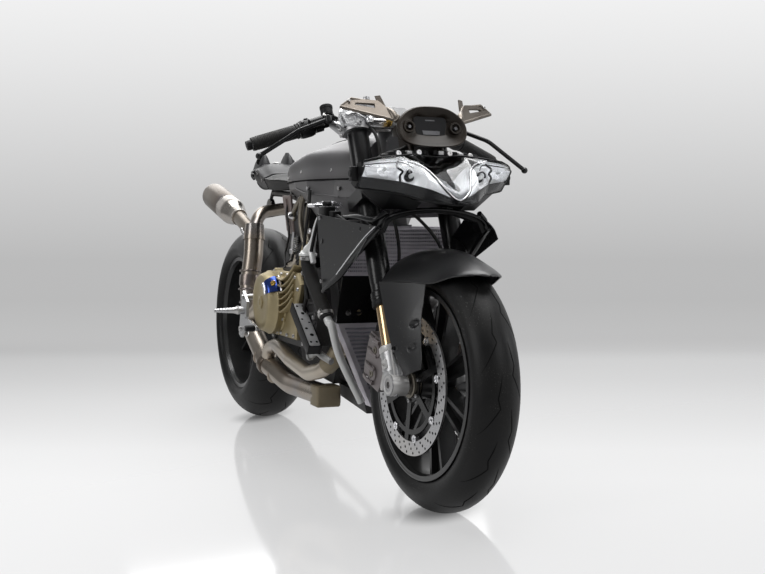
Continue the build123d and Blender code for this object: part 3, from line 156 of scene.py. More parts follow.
# ------------------------------------------------------------------ surfaces
def axes_of(direction: Point, hint: Point = (0, 0, 1)) -> Axes:
    """Two unit vectors across a direction and the direction itself.

    Args:
        direction: the third axis.
        hint: a vector that the second axis leans towards.

    Returns:
        u, v and w, right-handed, with w along direction.
    """
    w = unit(direction)
    h = np.asarray(hint, float)
    if abs(np.dot(unit(h), w)) > 0.95:
        h = np.array([1.0, 0, 0])
    u = unit(np.cross(h, w))
    return u, np.cross(w, u), w


def upright(side: float = 1.0) -> Axes:
    """Axes of a plate that stands along the bike: ahead, up, and out to the right, or to the left for side -1."""
    return np.array([1.0, 0, 0]), np.array([0, 0, 1.0]), np.array([0, -1.0 * side, 0])


def grid_faces(rows: int, cols: int, wrap: bool = True, flip: bool = False) -> list:
    """Quads of a rows x cols grid of points, joined round the columns if wrap."""
    i = np.arange(rows - 1)[:, None]
    j = np.arange(cols if wrap else cols - 1)[None]
    a = i * cols + j
    b = i * cols + (j + 1) % cols
    quads = np.stack([a, b, b + cols, a + cols], -1).reshape(-1, 4)
    return (quads[:, ::-1] if flip else quads).tolist()


def grid(points: Array, wrap: bool = True, caps: bool = True) -> Mesh:
    """A surface from a (rows, cols, 3) grid: rings of points joined in order, ends closed by flat caps.

    Args:
        points: rings going round each section, counter-clockwise seen from the last ring.
        wrap: whether each ring closes on itself.
        caps: whether the first and last rings are filled.

    Returns:
        The mesh.
    """
    rows, cols = points.shape[:2]
    faces = grid_faces(rows, cols, wrap)
    if caps and wrap:
        faces += [list(range(cols))[::-1], list(range((rows - 1) * cols, rows * cols))]
    return points.reshape(-1, 3), faces


def turned_rings(axis_at: Point, direction: Point, r: Array, a: Array, segments: int,
                 start: float = 0.0) -> Array:
    """Rings of a turned profile: p(s, t) = at + w a(s) + r(s) (u cos t + v sin t)."""
    u, v, w = axes_of(direction)
    t = start + np.linspace(0, 2 * np.pi, segments, endpoint=False)
    round_dir = np.cos(t)[:, None] * u + np.sin(t)[:, None] * v
    return np.asarray(axis_at, float) + a[:, None, None] * w + r[:, None, None] * round_dir[None]


def turned(axis_at: Point, direction: Point, profile: Profile, segments: int = 24,
           start: float = 0.0) -> Mesh:
    """A surface of revolution.

    Args:
        axis_at: a point on the axis, millimetres.
        direction: the axis.
        profile: (r, a) pairs from one end to the other; a zero r makes a pointed end.
        segments: points round the axis.
        start: angle of the first point, radians.

    Returns:
        The mesh, its ends closed.
    """
    r, a = np.asarray(profile, float).T
    if r[0] < 1e-9 or r[-1] < 1e-9:
        r = np.maximum(r, 1e-3)
    return grid(turned_rings(axis_at, direction, r, a, segments, start))


def ring_turned(axis_at: Point, direction: Point, profile: Profile, segments: int = 48) -> Mesh:
    """A closed ring: a closed (r, a) profile turned about an axis, with no caps."""
    points = turned_rings(axis_at, direction, *np.asarray(profile, float).T, segments)
    n, m = points.shape[:2]
    faces = grid_faces(n, m) + [[(n - 1) * m + j, (n - 1) * m + (j + 1) % m, (j + 1) % m, j] for j in range(m)]
    return points.reshape(-1, 3), faces


def catmull(points: Sequence[Array], f: Array) -> Array:
    """Catmull-Rom between the second and third of four points, at share f."""
    a, b, c, d = points
    return 0.5 * (2 * b + (c - a) * f + (2 * a - 5 * b + 4 * c - d) * f**2 + (3 * b - a - 3 * c + d) * f**3)


def smooth_path(points: Sequence[Point], count: int) -> Array:
    """A Catmull-Rom curve through points, resampled to count even steps of its parameter."""
    p = np.asarray(points, float)
    p = np.vstack([2 * p[0] - p[1], p, 2 * p[-1] - p[-2]])
    s = np.linspace(0, len(p) - 3 - 1e-9, count)
    i = s.astype(int)
    return catmull([p[i + k] for k in range(4)], (s - i)[:, None])


def path_frames(path: Array) -> Axes:
    """Side, up and forward vectors at each point of a path, turned as little as possible between points."""
    t = np.gradient(path, axis=0)
    t /= np.linalg.norm(t, axis=1)[:, None]
    side = np.empty_like(t)
    side[0] = axes_of(t[0])[0]
    for k in range(1, len(t)):
        s = side[k - 1] - t[k] * np.dot(side[k - 1], t[k])
        side[k] = s / np.linalg.norm(s)
    return side, np.cross(t, side), t


def tube(points: Sequence[Point], radius: float | Point, segments: int = 16,
         count: int = 0, squash: float = 1.0) -> Mesh:
    """A round bar along a smooth path: p(s, t) = c(s) + r(s) (side cos t + squash up sin t).

    Args:
        points: the path's points, millimetres.
        radius: one radius or one for each sampled point.
        segments: points round the bar.
        count: samples along the path; 0 takes the points as they are.
        squash: height of the section as a share of its width.

    Returns:
        The mesh with flat ends.
    """
    path = smooth_path(points, count) if count else np.asarray(points, float)
    side, up, _ = path_frames(path)
    r = np.broadcast_to(np.asarray(radius, float), (len(path),)) if np.ndim(radius) == 0 else \
        np.interp(np.linspace(0, 1, len(path)), np.linspace(0, 1, len(radius)), radius)
    t = np.linspace(0, 2 * np.pi, segments, endpoint=False)
    ring = np.cos(t)[None, :, None] * side[:, None] + squash * np.sin(t)[None, :, None] * up[:, None]
    return grid(path[:, None] + r[:, None, None] * ring)


def profile_slab(outline: Sequence[Point], low: float, high: float, frame_: Axes,
                 at: Point = (0, 0, 0), edge: float = 1.0) -> Mesh:
    """A flat plate with a chamfered rim: the outline at low, grown to full size, and back at high.

    Args:
        outline: (a, b) points, counter-clockwise.
        low: first level along w.
        high: last level along w.
        frame_: the u, v and w axes that a, b and the levels follow.
        at: the point where a, b and level are zero.
        edge: chamfer width.

    Returns:
        The closed mesh.
    """
    p = np.asarray(outline, float)
    u, v, w = frame_
    nxt, prv = np.roll(p, -1, 0), np.roll(p, 1, 0)
    d1, d2 = p - prv, nxt - p
    d1 /= np.linalg.norm(d1, axis=1)[:, None]
    d2 /= np.linalg.norm(d2, axis=1)[:, None]
    n = np.stack([d1[:, 1] + d2[:, 1], -(d1[:, 0] + d2[:, 0])], 1)
    n /= np.maximum(np.linalg.norm(n, axis=1)[:, None], 1e-9)
    shrunk = p - n * edge
    rows = [(shrunk, low), (p, low + edge), (p, high - edge), (shrunk, high)]
    pts = np.stack([np.asarray(at, float) + q[:, :1] * u + q[:, 1:] * v + level * w for q, level in rows])
    return grid(pts)


def rounded_box(low: Point, high: Point, edge: float = 2.0, soft: int = 2) -> Mesh:
    """A block between two opposite corners with rounded edges along Z: a rounded outline with chamfered ends."""
    (x0, x1), (y0, y1), (z0, z1) = (sorted(pair) for pair in zip(low, high))
    edge = min(edge, (x1 - x0) / 2.2, (y1 - y0) / 2.2, (z1 - z0) / 2.2)
    t = np.linspace(0, np.pi / 2, soft + 1)
    corners = [(x1 - edge, y1 - edge, 0), (x0 + edge, y1 - edge, 1), (x0 + edge, y0 + edge, 2),
               (x1 - edge, y0 + edge, 3)]
    out = [(cx + edge * math.cos(a + k * np.pi / 2), cy + edge * math.sin(a + k * np.pi / 2))
           for cx, cy, k in corners for a in t]
    return profile_slab(out, z0, z1, (np.array([1., 0, 0]), np.array([0, 1., 0]), np.array([0, 0, 1.])),
                        edge=edge * 0.45)


def moved(mesh: Mesh, turn: Array, by: Point = (0, 0, 0)) -> Mesh:
    """The mesh turned by a 3 x 3 matrix and moved."""
    return mesh[0] @ np.asarray(turn, float).T + np.asarray(by, float), mesh[1]


def nose(*points: Point) -> list[tuple[float, ...]]:
    """Points given as (distance behind HEAD_X, y, z)."""
    return [(HEAD_X - back, y, z) for back, y, z in points]


def joined(meshes: Iterable[Mesh]) -> Mesh:
    """One mesh from many that don't share points."""
    points, faces, base = [], [], 0
    for p, f in meshes:
        points.append(p)
        faces += [[i + base for i in q] for q in f]
        base += len(p)
    return np.vstack(points), faces


def outward(mesh: Mesh) -> Mesh:
    """The closed mesh with its faces turned so that its volume is positive."""
    points, faces = mesh
    about = points - points.mean(0)
    total = 0.0
    for size in {len(face) for face in faces}:
        p = about[[face for face in faces if len(face) == size]]
        total += float(np.einsum("ki,kji->", p[:, 0], np.cross(p[:, 1:-1], p[:, 2:])))
    return (points, [f[::-1] for f in faces]) if total < 0 else mesh


def bolt(at: Point, out: Point, radius: float = 5.0, height: float = 4.0, sides: int = 12) -> Mesh:
    """A socket-head screw: a chamfered round head with a six-sided hollow."""
    r, h = radius, height
    return turned(at, out,
                  ((r, -1.5), (r, h * 0.8), (r * 0.88, h), (r * 0.52, h), (r * 0.45, h * 0.4), (0, h * 0.4)), sides)


def side_bolts(points: Iterable[Point], radius: float, height: float, lean: float = 0.0) -> list[Mesh]:
    """Screws that face out of both sides at (x, y, z), y given for the left side, their heads raised by lean."""
    return [bolt((x, side * y, z), (0, side, lean), radius, height) for side in (-1, 1) for x, y, z in points]


def nut(at: Point, out: Point, radius: float = 9.0, height: float = 6.0) -> Mesh:
    """A hexagon nut with a washer under it and the stud's end."""
    r, h = radius, height
    hexa = turned(at, out, ((r * 0.94, 1.2), (r, 1.8), (r, h - 1), (r * 0.9, h), (r * 0.55, h), (r * 0.55, h + 1.5),
                            (0, h + 1.8)), 6)
    washer = turned(at, out, ((r * 1.15, -1), (r * 1.15, 1), (r * 1.05, 1.4), (0, 1.4)), 20)
    return joined([hexa, washer])


# ------------------------------------------------------------------ finishes
class Nodes:
    """Short calls that add and link shader nodes in one tree."""

    def __init__(self, tree: bpy.types.NodeTree) -> None:
        """Work in tree."""
        self.tree = tree

    def feed(self, node: bpy.types.Node, inputs: dict) -> None:
        """Set a node's inputs, by name or number: a socket is linked, anything else is a value."""
        for key, value in inputs.items():
            if isinstance(value, Socket):
                self.tree.links.new(value, node.inputs[key])
            else:
                node.inputs[key].default_value = value

    def add(self, kind: str, inputs: dict | None = None, **settings: object) -> bpy.types.Node:
        """A node of a kind.

        Args:
            kind: node type.
            inputs: what feed takes.
            settings: the node's properties.

        Returns:
            The node.
        """
        node = self.tree.nodes.new(kind)
        for key, value in settings.items():
            setattr(node, key, value)
        self.feed(node, inputs or {})
        return node

    def math(self, operation: str, a: object, b: object = 0.0, clamp: bool = False) -> Socket:
        """The result of a math node."""
        return self.add("ShaderNodeMath", {0: a, 1: b}, operation=operation, use_clamp=clamp).outputs[0]

    def vector(self, operation: str, a: object, b: object) -> bpy.types.Node:
        """A vector math node."""
        return self.add("ShaderNodeVectorMath", {0: a, 1: b}, operation=operation)

    def ramp(self, factor: object, low: float, high: float, out_low: float = 0.0, out_high: float = 1.0) -> Socket:
        """A smooth step of factor between low and high."""
        inputs = {"Value": factor, "From Min": low, "From Max": high, "To Min": out_low, "To Max": out_high}
        return self.add("ShaderNodeMapRange", inputs, interpolation_type="SMOOTHSTEP").outputs["Result"]

    def mix(self, factor: object, a: object, b: object) -> Socket:
        """A colour mix."""
        return self.add("ShaderNodeMix", {0: factor, 6: a, 7: b}, data_type="RGBA").outputs[2]

    def stops(self, factor: Socket, stops: Sequence[tuple[float, Point]]) -> Socket:
        """A colour ramp through (position, colour) stops."""
        ramp = self.add("ShaderNodeValToRGB", {"Fac": factor})
        elements = ramp.color_ramp.elements
        while len(elements) < len(stops):
            elements.new(0.5)
        for element, (position, shade) in zip(elements, stops):
            element.position = position
            element.color = (*shade, 1)
        return ramp.outputs["Color"]

    def where(self) -> Socket:
        """Object coordinates."""
        return self.add("ShaderNodeTexCoord").outputs["Object"]

    def noise(self, where: Socket, scale: object, detail: float, **more: float) -> Socket:
        """Noise over a place, with a scale and a detail."""
        return self.add("ShaderNodeTexNoise", {"Vector": where, "Scale": scale, "Detail": detail, **more}).outputs[0]


def new_group(name: str, inputs: Sequence[tuple], outputs: Sequence[tuple]) -> tuple[Nodes, dict, bpy.types.Node]:
    """A shader node group with named sockets.

    Args:
        name: the group's name.
        inputs: (name, socket type, default) rows.
        outputs: (name, socket type) rows.

    Returns:
        The group's nodes, its input sockets by name and its output node.
    """
    tree = bpy.data.node_groups.new(name, "ShaderNodeTree")
    for label, kind, default in inputs:
        socket = tree.interface.new_socket(name=label, in_out="INPUT", socket_type=kind)
        socket.default_value = default
    for label, kind in outputs:
        tree.interface.new_socket(name=label, in_out="OUTPUT", socket_type=kind)
    n = Nodes(tree)
    return n, n.add("NodeGroupInput").outputs, n.add("NodeGroupOutput")


def new_material(name: str) -> tuple[bpy.types.Material, Nodes, bpy.types.Node]:
    """A node material, its nodes and its shader."""
    mat = bpy.data.materials.new(name)
    mat.use_nodes = True
    return mat, Nodes(mat.node_tree), mat.node_tree.nodes["Principled BSDF"]


def surface_group() -> bpy.types.NodeTree:
    """Mottled colour, roughness and fine height over Object coordinates: two scales of noise and fine specks."""
    n, given, out = new_group(
        "surface_variation",
        [("Colour", "NodeSocketColor", (0.5, 0.5, 0.5, 1)), ("Second Colour", "NodeSocketColor", (0.4, 0.4, 0.4, 1)),
         ("Patch Scale", "NodeSocketFloat", 6.0), ("Grain Scale", "NodeSocketFloat", 600.0),
         ("Rough Low", "NodeSocketFloat", 0.3), ("Rough High", "NodeSocketFloat", 0.5)],
        [("Colour", "NodeSocketColor"), ("Roughness", "NodeSocketFloat"), ("Height", "NodeSocketFloat")])
    where = n.where()
    patch = n.noise(where, given["Patch Scale"], 6.0)
    grain = n.noise(where, given["Grain Scale"], 2.0)
    colour = n.mix(n.ramp(patch, 0.35, 0.65), given["Colour"], given["Second Colour"])
    both_scales = n.math("ADD", n.math("MULTIPLY", patch, 0.7), n.math("MULTIPLY", grain, 0.3))
    spread = n.add("ShaderNodeMapRange", {"Value": both_scales, "From Min": 0.35, "From Max": 0.65,
                                          "To Min": given["Rough Low"], "To Max": given["Rough High"]})
    n.feed(out, {"Colour": colour, "Roughness": spread.outputs["Result"], "Height": grain})
    return n.tree


def brushed_group() -> bpy.types.NodeTree:
    """Fine streaks drawn out along one Object axis, as colour factor and height."""
    n, given, out = new_group(
        "brushed_streaks",
        [("Stretch", "NodeSocketVector", (30.0, 900.0, 900.0)), ("Turn", "NodeSocketVector", (0.0, 0.0, 0.0))],
        [("Mask", "NodeSocketFloat"), ("Height", "NodeSocketFloat")])
    mapping = n.add("ShaderNodeMapping", {"Vector": n.where(), "Rotation": given["Turn"], "Scale": given["Stretch"]})
    streak = n.noise(mapping.outputs[0], 1.0, 3.0)
    n.feed(out, {"Mask": n.ramp(streak, 0.3, 0.7), "Height": streak})
    return n.tree


def scuff_group() -> bpy.types.NodeTree:
    """Sparse pale scuffs and dust: stretched noise cut high, times a broad patch mask."""
    n, given, out = new_group("scuffs", [("Amount", "NodeSocketFloat", 0.3)], [("Mask", "NodeSocketFloat")])
    where = n.where()
    lines = n.add("ShaderNodeMapping", {"Vector": where, "Rotation": (0.4, 0.9, 0.2), "Scale": (40.0, 700.0, 300.0)})
    scratch = n.noise(lines.outputs[0], 1.0, 1.0)
    cover = n.noise(where, 9.0, 4.0)
    mask = n.math("MULTIPLY", n.ramp(scratch, 0.66, 0.74), n.ramp(cover, 0.5, 0.62))
    n.feed(out, {"Mask": n.math("MULTIPLY", mask, given["Amount"])})
    return n.tree


class Groups:
    """The shared effects, each built once."""

    def __init__(self) -> None:
        """Build every group."""
        self.surface = surface_group()
        self.brushed = brushed_group()
        self.scuff = scuff_group()


@dataclass(frozen=True)
class Finish:
    """A painted, moulded or cast surface with mottling, fine grain and light scuffs."""

    name: str
    colour: tuple[float, float, float]
    second: tuple[float, float, float]
    rough: tuple[float, float] = (0.35, 0.5)
    metallic: float = 0.0
    patch: float = 6.0
    grain: float = 500.0
    bump: float = 0.05
    bump_depth: float = 0.0004
    coat: float = 0.0
    scuff: float = 0.15
    scuff_colour: tuple[float, float, float] = (0.45, 0.44, 0.42)
    shine: float = 0.5
    # Emission Strength: a painted glow on a surface that is no lamp
    painted_glow: float = 0.0

    def material(self, groups: Groups) -> bpy.types.Material:
        """Build the node material.

        Args:
            groups: the shared effects.

        Returns:
            The material.
        """
        mat, n, bsdf = new_material(self.name)
        var = n.add("ShaderNodeGroup", node_tree=groups.surface,
                    inputs={"Colour": (*self.colour, 1), "Second Colour": (*self.second, 1), "Patch Scale": self.patch,
                            "Grain Scale": self.grain, "Rough Low": self.rough[0], "Rough High": self.rough[1]})
        colour = var.outputs["Colour"]
        if self.scuff > 0:
            marks = n.add("ShaderNodeGroup", node_tree=groups.scuff, inputs={"Amount": self.scuff})
            colour = n.mix(marks.outputs["Mask"], colour, (*self.scuff_colour, 1))
        n.feed(bsdf, {"Base Color": self.tinted(n, colour), "Roughness": var.outputs["Roughness"],
                      "Metallic": self.metallic, "Coat Weight": self.coat, "Coat Roughness": 0.08,
                      "Specular IOR Level": self.shine, "Emission Strength": self.painted_glow})
        bump = n.add("ShaderNodeBump", {"Strength": self.bump, "Distance": self.bump_depth,
                                        "Height": self.relief(n, groups, var.outputs["Height"])})
        n.feed(bsdf, {"Normal": bump.outputs["Normal"]})
        return mat

    def tinted(self, n: Nodes, colour: Socket) -> Socket:
        """The colour after this finish's own tint; a plain finish has none."""
        return colour

    def relief(self, n: Nodes, groups: Groups, grain: Socket) -> Socket:
        """The height that the bump follows; a plain finish follows its grain."""
        return grain


@dataclass(frozen=True)
class BrushedMetal(Finish):
    """Bare metal with streaks along one axis."""

    stretch: tuple[float, float, float] = (30.0, 900.0, 900.0)

    def relief(self, n: Nodes, groups: Groups, grain: Socket) -> Socket:
        """Streaks instead of grain."""
        return n.add("ShaderNodeGroup", node_tree=groups.brushed, inputs={"Stretch": self.stretch}).outputs["Height"]


HEAT_STOPS = ((0.30, (0.34, 0.32, 0.30)), (0.45, (0.36, 0.31, 0.25)), (0.56, (0.30, 0.235, 0.18)),
              (0.66, (0.24, 0.225, 0.24)), (0.76, (0.30, 0.30, 0.31)))


@dataclass(frozen=True)
class HeatedMetal(Finish):
    """Titanium coloured by heat: straw, brown and blue bands that follow broad noise."""

    tint: float = 0.7

    def tinted(self, n: Nodes, colour: Socket) -> Socket:
        """Mix heat colours in by a ramp over noise in Object coordinates."""
        heat = n.stops(n.noise(n.where(), 5.5, 3.0, Distortion=0.4), HEAT_STOPS)
        return n.mix(self.tint, colour, heat)


@dataclass(frozen=True)
class ClearPlastic:
    """Clear moulded lens."""

    name: str
    colour: tuple[float, float, float] = (0.96, 0.97, 0.98)

    def material(self, groups: Groups) -> bpy.types.Material:
        """Build a glassy material with slight unevenness in its roughness."""
        mat, n, bsdf = new_material(self.name)
        var = n.add("ShaderNodeGroup", node_tree=groups.surface,
                    inputs={"Colour": (*self.colour, 1), "Second Colour": (0.9, 0.92, 0.94, 1), "Patch Scale": 8.0,
                            "Rough Low": 0.01, "Rough High": 0.05})
        n.feed(bsdf, {"Transmission Weight": 1.0, "IOR": 1.2, "Base Color": var.outputs["Colour"],
                      "Roughness": var.outputs["Roughness"]})
        return mat


class Skin(Enum):
    """Every finish on the motorcycle."""

    BODY = Finish("matte_body_grey", (0.105, 0.103, 0.106), (0.130, 0.126, 0.128), (0.42, 0.52), 0.0, 5.0,
                  900.0, 0.04, scuff=0.05)
    CARBON_TAIL = Finish("matte_tail_black", (0.009, 0.009, 0.0105), (0.014, 0.014, 0.0155), (0.42, 0.52), 0.0, 7.0,
                         900.0, 0.04, scuff=0.05, shine=0.3)
    BRONZE = Finish("bronze_bracket", (0.016, 0.0125, 0.0095), (0.024, 0.018, 0.013), (0.30, 0.42), 0.2, 9.0, 700.0,
                    0.10, scuff=0.2, shine=0.25)
    CAST = Finish("cast_dark_grey", (0.028, 0.027, 0.028), (0.042, 0.040, 0.040), (0.5, 0.65), 0.3, 14.0, 420.0,
                  0.30, scuff=0.25)
    CASE = Finish("cast_bronze_gold", (0.34, 0.28, 0.155), (0.42, 0.35, 0.21), (0.4, 0.55), 0.55, 12.0, 500.0,
                  0.18, scuff=0.2)
    SATIN_BLACK = Finish("satin_black_paint", (0.004, 0.004, 0.0045), (0.006, 0.006, 0.0065), (0.24, 0.34), 0.0, 10.0,
                         800.0, 0.03, coat=0.15, shine=0.25)
    WHEEL = Finish("wheel_black", (0.022, 0.022, 0.023), (0.030, 0.030, 0.030), (0.3, 0.4), 0.0, 9.0, 800.0,
                   0.03, coat=0.2)
    PLASTIC = Finish("moulded_black", (0.004, 0.004, 0.0045), (0.007, 0.007, 0.0075), (0.42, 0.55), 0.0, 12.0, 900.0,
                     0.15, shine=0.2)
    FENDER = Finish("matte_fender_black", (0.011, 0.011, 0.012), (0.016, 0.016, 0.017), (0.34, 0.42), 0.0, 6.0, 900.0,
                    0.05, coat=0.1, shine=0.45)
    RUBBER = Finish("hose_rubber", (0.012, 0.012, 0.012), (0.020, 0.019, 0.018), (0.5, 0.7), 0.0, 15.0, 400.0,
                    0.2, shine=0.25)
    TYRE = Finish("tyre_rubber", (0.0055, 0.0055, 0.006), (0.0095, 0.0093, 0.0093), (0.38, 0.52), 0.0, 9.0, 260.0, 0.35,
                  scuff=0.1, shine=0.22)
    FOAM = Finish("seat_foam", (0.016, 0.016, 0.017), (0.024, 0.024, 0.025), (0.75, 0.9), 0.0, 20.0, 300.0, 0.5, 0.0008)
    STEEL = BrushedMetal("brushed_steel", (0.42, 0.42, 0.43), (0.50, 0.49, 0.48), (0.25, 0.38), 1.0, 9.0, bump=0.12)
    ALLOY = Finish("satin_alloy", (0.42, 0.42, 0.43), (0.48, 0.48, 0.48), (0.34, 0.46), 0.9, 8.0, 600.0, 0.08)
    BRIGHT = Finish("bright_alloy", (0.80, 0.80, 0.82), (0.72, 0.72, 0.74), (0.20, 0.32), 0.9, 8.0,
                    600.0, 0.03, scuff=0.05)
    GREY_PIPE = Finish("pale_alloy_pipe", (0.80, 0.80, 0.79), (0.86, 0.86, 0.85), (0.35, 0.5), 0.15, 10.0, 500.0, 0.08)
    FINS = Finish("cooler_fins", (0.60, 0.57, 0.62), (0.70, 0.67, 0.72), (0.4, 0.55), 0.6, 20.0, 700.0, 0.2)
    TITANIUM = HeatedMetal("titanium_pipe", (0.25, 0.23, 0.205), (0.30, 0.275, 0.25), (0.26, 0.38), 1.0, 7.0, 500.0,
                           0.08, tint=0.4)
    HEADER = HeatedMetal("header_pipe", (0.50, 0.455, 0.385), (0.57, 0.52, 0.44), (0.28, 0.40), 0.8, 7.0, 500.0,
                         0.08, tint=0.35)
    CONE = HeatedMetal("titanium_cone", (0.42, 0.40, 0.375), (0.48, 0.455, 0.43), (0.22, 0.34), 1.0, 7.0, 500.0,
                       0.08, tint=0.2)
    SILENCER = HeatedMetal("titanium_can", (0.055, 0.050, 0.047), (0.075, 0.069, 0.065), (0.30, 0.42), 1.0, 7.0, 500.0,
                           0.08, tint=0.35)
    GOLD_TUBE = Finish("gold_fork_tube", (0.52, 0.36, 0.19), (0.58, 0.42, 0.24), (0.10, 0.18), 1.0, 8.0, 600.0,
                       0.02, scuff=0.05)
    CALIPER = Finish("caliper_grey", (0.20, 0.18, 0.18), (0.26, 0.23, 0.23), (0.35, 0.5), 0.6, 12.0, 600.0, 0.12)
    GOLD = Finish("gold_anodised", (0.62, 0.40, 0.10), (0.66, 0.44, 0.14), (0.18, 0.28), 1.0, 10.0, 600.0, 0.04)
    BLUE = Finish("blue_anodised", (0.03, 0.06, 0.25), (0.05, 0.09, 0.30), (0.2, 0.3), 0.9, 10.0, 600.0, 0.05)
    # near-black for painted shade in tread grooves, bores, ports, holes and hollows, and for the tank's dark seam
    CUT = Finish("painted_hollow_shade_and_seam", (0.004, 0.004, 0.004), (0.007, 0.007, 0.007), (0.8, 0.9), 0.0, 9.0, 300.0, 0.1,
                 scuff=0.0, shine=0.1)
    CASE_DARK = Finish("dark_cast_cover", (0.075, 0.075, 0.080), (0.10, 0.10, 0.105), (0.26, 0.38), 0.6,
                       14.0, 600.0, 0.15)
    GLOSS_BLACK = Finish("gloss_black_trim", (0.006, 0.006, 0.007), (0.009, 0.009, 0.010), (0.16, 0.26), 0.0, 10.0,
                         800.0, 0.03, coat=0.1, scuff=0.05, shine=0.25)
    FOLDS = Finish("cooler_folds", (0.24, 0.235, 0.27), (0.30, 0.29, 0.33), (0.4, 0.55), 0.5, 20.0, 700.0, 0.2)
    CASE_GREY = Finish("grey_anodised_box", (0.34, 0.34, 0.345), (0.40, 0.40, 0.405), (0.35, 0.5), 0.6,
                       14.0, 600.0, 0.1)
    HOSE_BROWN = Finish("grey_brown_hose", (0.15, 0.115, 0.105), (0.20, 0.16, 0.15), (0.4, 0.55), 0.1,
                        16.0, 500.0, 0.15)
    WELD = HeatedMetal("weld_bead", (0.30, 0.27, 0.24), (0.36, 0.32, 0.28), (0.3, 0.45), 1.0, 12.0,
                       300.0, 0.25, tint=0.6)
    SLEEVE = HeatedMetal("blued_sleeve", (0.13, 0.12, 0.13), (0.18, 0.16, 0.16), (0.25, 0.38), 1.0, 14.0, 500.0,
                         0.1, tint=0.35)
    RING = Finish("hub_ring", (0.17, 0.15, 0.12), (0.22, 0.20, 0.165), (0.3, 0.45), 0.7, 14.0, 600.0, 0.1)
    FOOT = Finish("cast_silver_foot", (0.56, 0.55, 0.54), (0.64, 0.63, 0.62), (0.34, 0.48), 0.45, 12.0, 500.0, 0.15)
    WHITE = Finish("pale_cap", (0.40, 0.40, 0.39), (0.48, 0.48, 0.47), (0.3, 0.45), 0.1, 12.0, 600.0, 0.05)
    FROST = Finish("frosted_trim", (0.22, 0.225, 0.235), (0.28, 0.285, 0.295), (0.35, 0.5), 0.2, 12.0, 600.0, 0.05)
    STAY = Finish("pale_bronze_stay", (0.115, 0.098, 0.083), (0.16, 0.14, 0.12), (0.3, 0.42), 0.8, 14.0, 600.0, 0.08)
    OLIVE = Finish("olive_sleeve", (0.24, 0.20, 0.13), (0.30, 0.25, 0.17), (0.45, 0.6), 0.3, 16.0, 600.0, 0.15)
    # glows a little though no lamp is lit: painted light on the reflector and the bulb rings
    CHROME = Finish("chrome_reflector", (0.95, 0.95, 0.96), (0.90, 0.90, 0.92), (0.20, 0.32), 0.3, 20.0, 600.0, 0.05,
                    scuff=0.0, painted_glow=0.15)
    POLISHED = Finish("polished_grey", (0.72, 0.72, 0.73), (0.80, 0.80, 0.81), (0.20, 0.30), 0.85, 9.0, 600.0,
                      0.05, scuff=0.1)
    DISPLAY = Finish("display_glass", (0.006, 0.006, 0.007), (0.010, 0.010, 0.011), (0.30, 0.40), 0.0, 12.0, 500.0,
                     0.03, coat=0.0, scuff=0.1, shine=0.15)
    LAMP = Finish("bulb_glass", (0.72, 0.74, 0.76), (0.80, 0.80, 0.78), (0.08, 0.15), 0.0, 16.0, 500.0, 0.03,
                  coat=0.8, scuff=0.0)
    RED_LENS = Finish("rear_lens", (0.28, 0.012, 0.012), (0.34, 0.02, 0.018), (0.10, 0.18), 0.0, 12.0, 500.0,
                      0.05, coat=0.8)
    GLASS = ClearPlastic("clear_lens")

    @property
    def material(self) -> bpy.types.Material:
        """The built material of this finish."""
        return bpy.data.materials[self.value.name]


CAD_SKINS: dict[Skin, tuple[str, ...]] = {
    Skin.BODY: ("monocoque", "tank"),
    Skin.CARBON_TAIL: ("tail_cowl",),
    Skin.BRONZE: ("front_bracket",),
    Skin.STAY: ("mirror_stays",),
    Skin.CAST: ("crankcase", "cylinders", "swingarm", "under_brackets", "side_stand", "subframe"),
    Skin.CASE: ("engine_covers",),
    Skin.SATIN_BLACK: ("cooler_plate", "fork_tubes", "lower_clamp", "bar_controls", "levers", "front_carriers"),
    Skin.WHEEL: ("front_rim", "rear_rim"),
    Skin.PLASTIC: ("front_shroud", "regulator", "display_back", "headlight_housing"),
    Skin.FENDER: ("front_fender", "side_panels"),
    Skin.RUBBER: ("coolant_hose", "grips"),
    Skin.TYRE: ("front_tyre", "rear_tyre"),
    Skin.FOAM: ("seat",),
    Skin.STEEL: ("front_discs", "rear_disc", "drive_chain", "front_sprocket", "rear_axle", "front_axle", "shock"),
    Skin.ALLOY: ("top_clamp", "clip_ons", "fork_feet", "rearsets", "foot_controls", "shock_links", "rear_sprocket"),
    Skin.GREY_PIPE: ("coolant_pipes",),
    Skin.FINS: ("radiators",),
    Skin.TITANIUM: ("exhaust_pipes",),
    Skin.HEADER: ("headers",),
    Skin.SILENCER: ("silencers",),
    Skin.GOLD_TUBE: ("stanchions",),
    Skin.CALIPER: ("front_calipers", "rear_caliper"),
    Skin.GLASS: ("headlight_lens",),
}


def build_finishes() -> None:
    """Build every finish and put the right one on each CAD node's slots."""
    groups = Groups()
    for skin in Skin:
        skin.value.material(groups)
    for skin, names in CAD_SKINS.items():
        for name in names:
            node = frame["nodes"][name]
            if not node.material_slots:
                node.data.materials.append(skin.material)
            for material_slot in node.material_slots:
                material_slot.material = skin.material


def placed(name: str, data: bpy.types.ID) -> bpy.types.Object:
    """A new object of data in the scene."""
    obj = bpy.data.objects.new(name, data)
    bpy.context.scene.collection.objects.link(obj)
    return obj


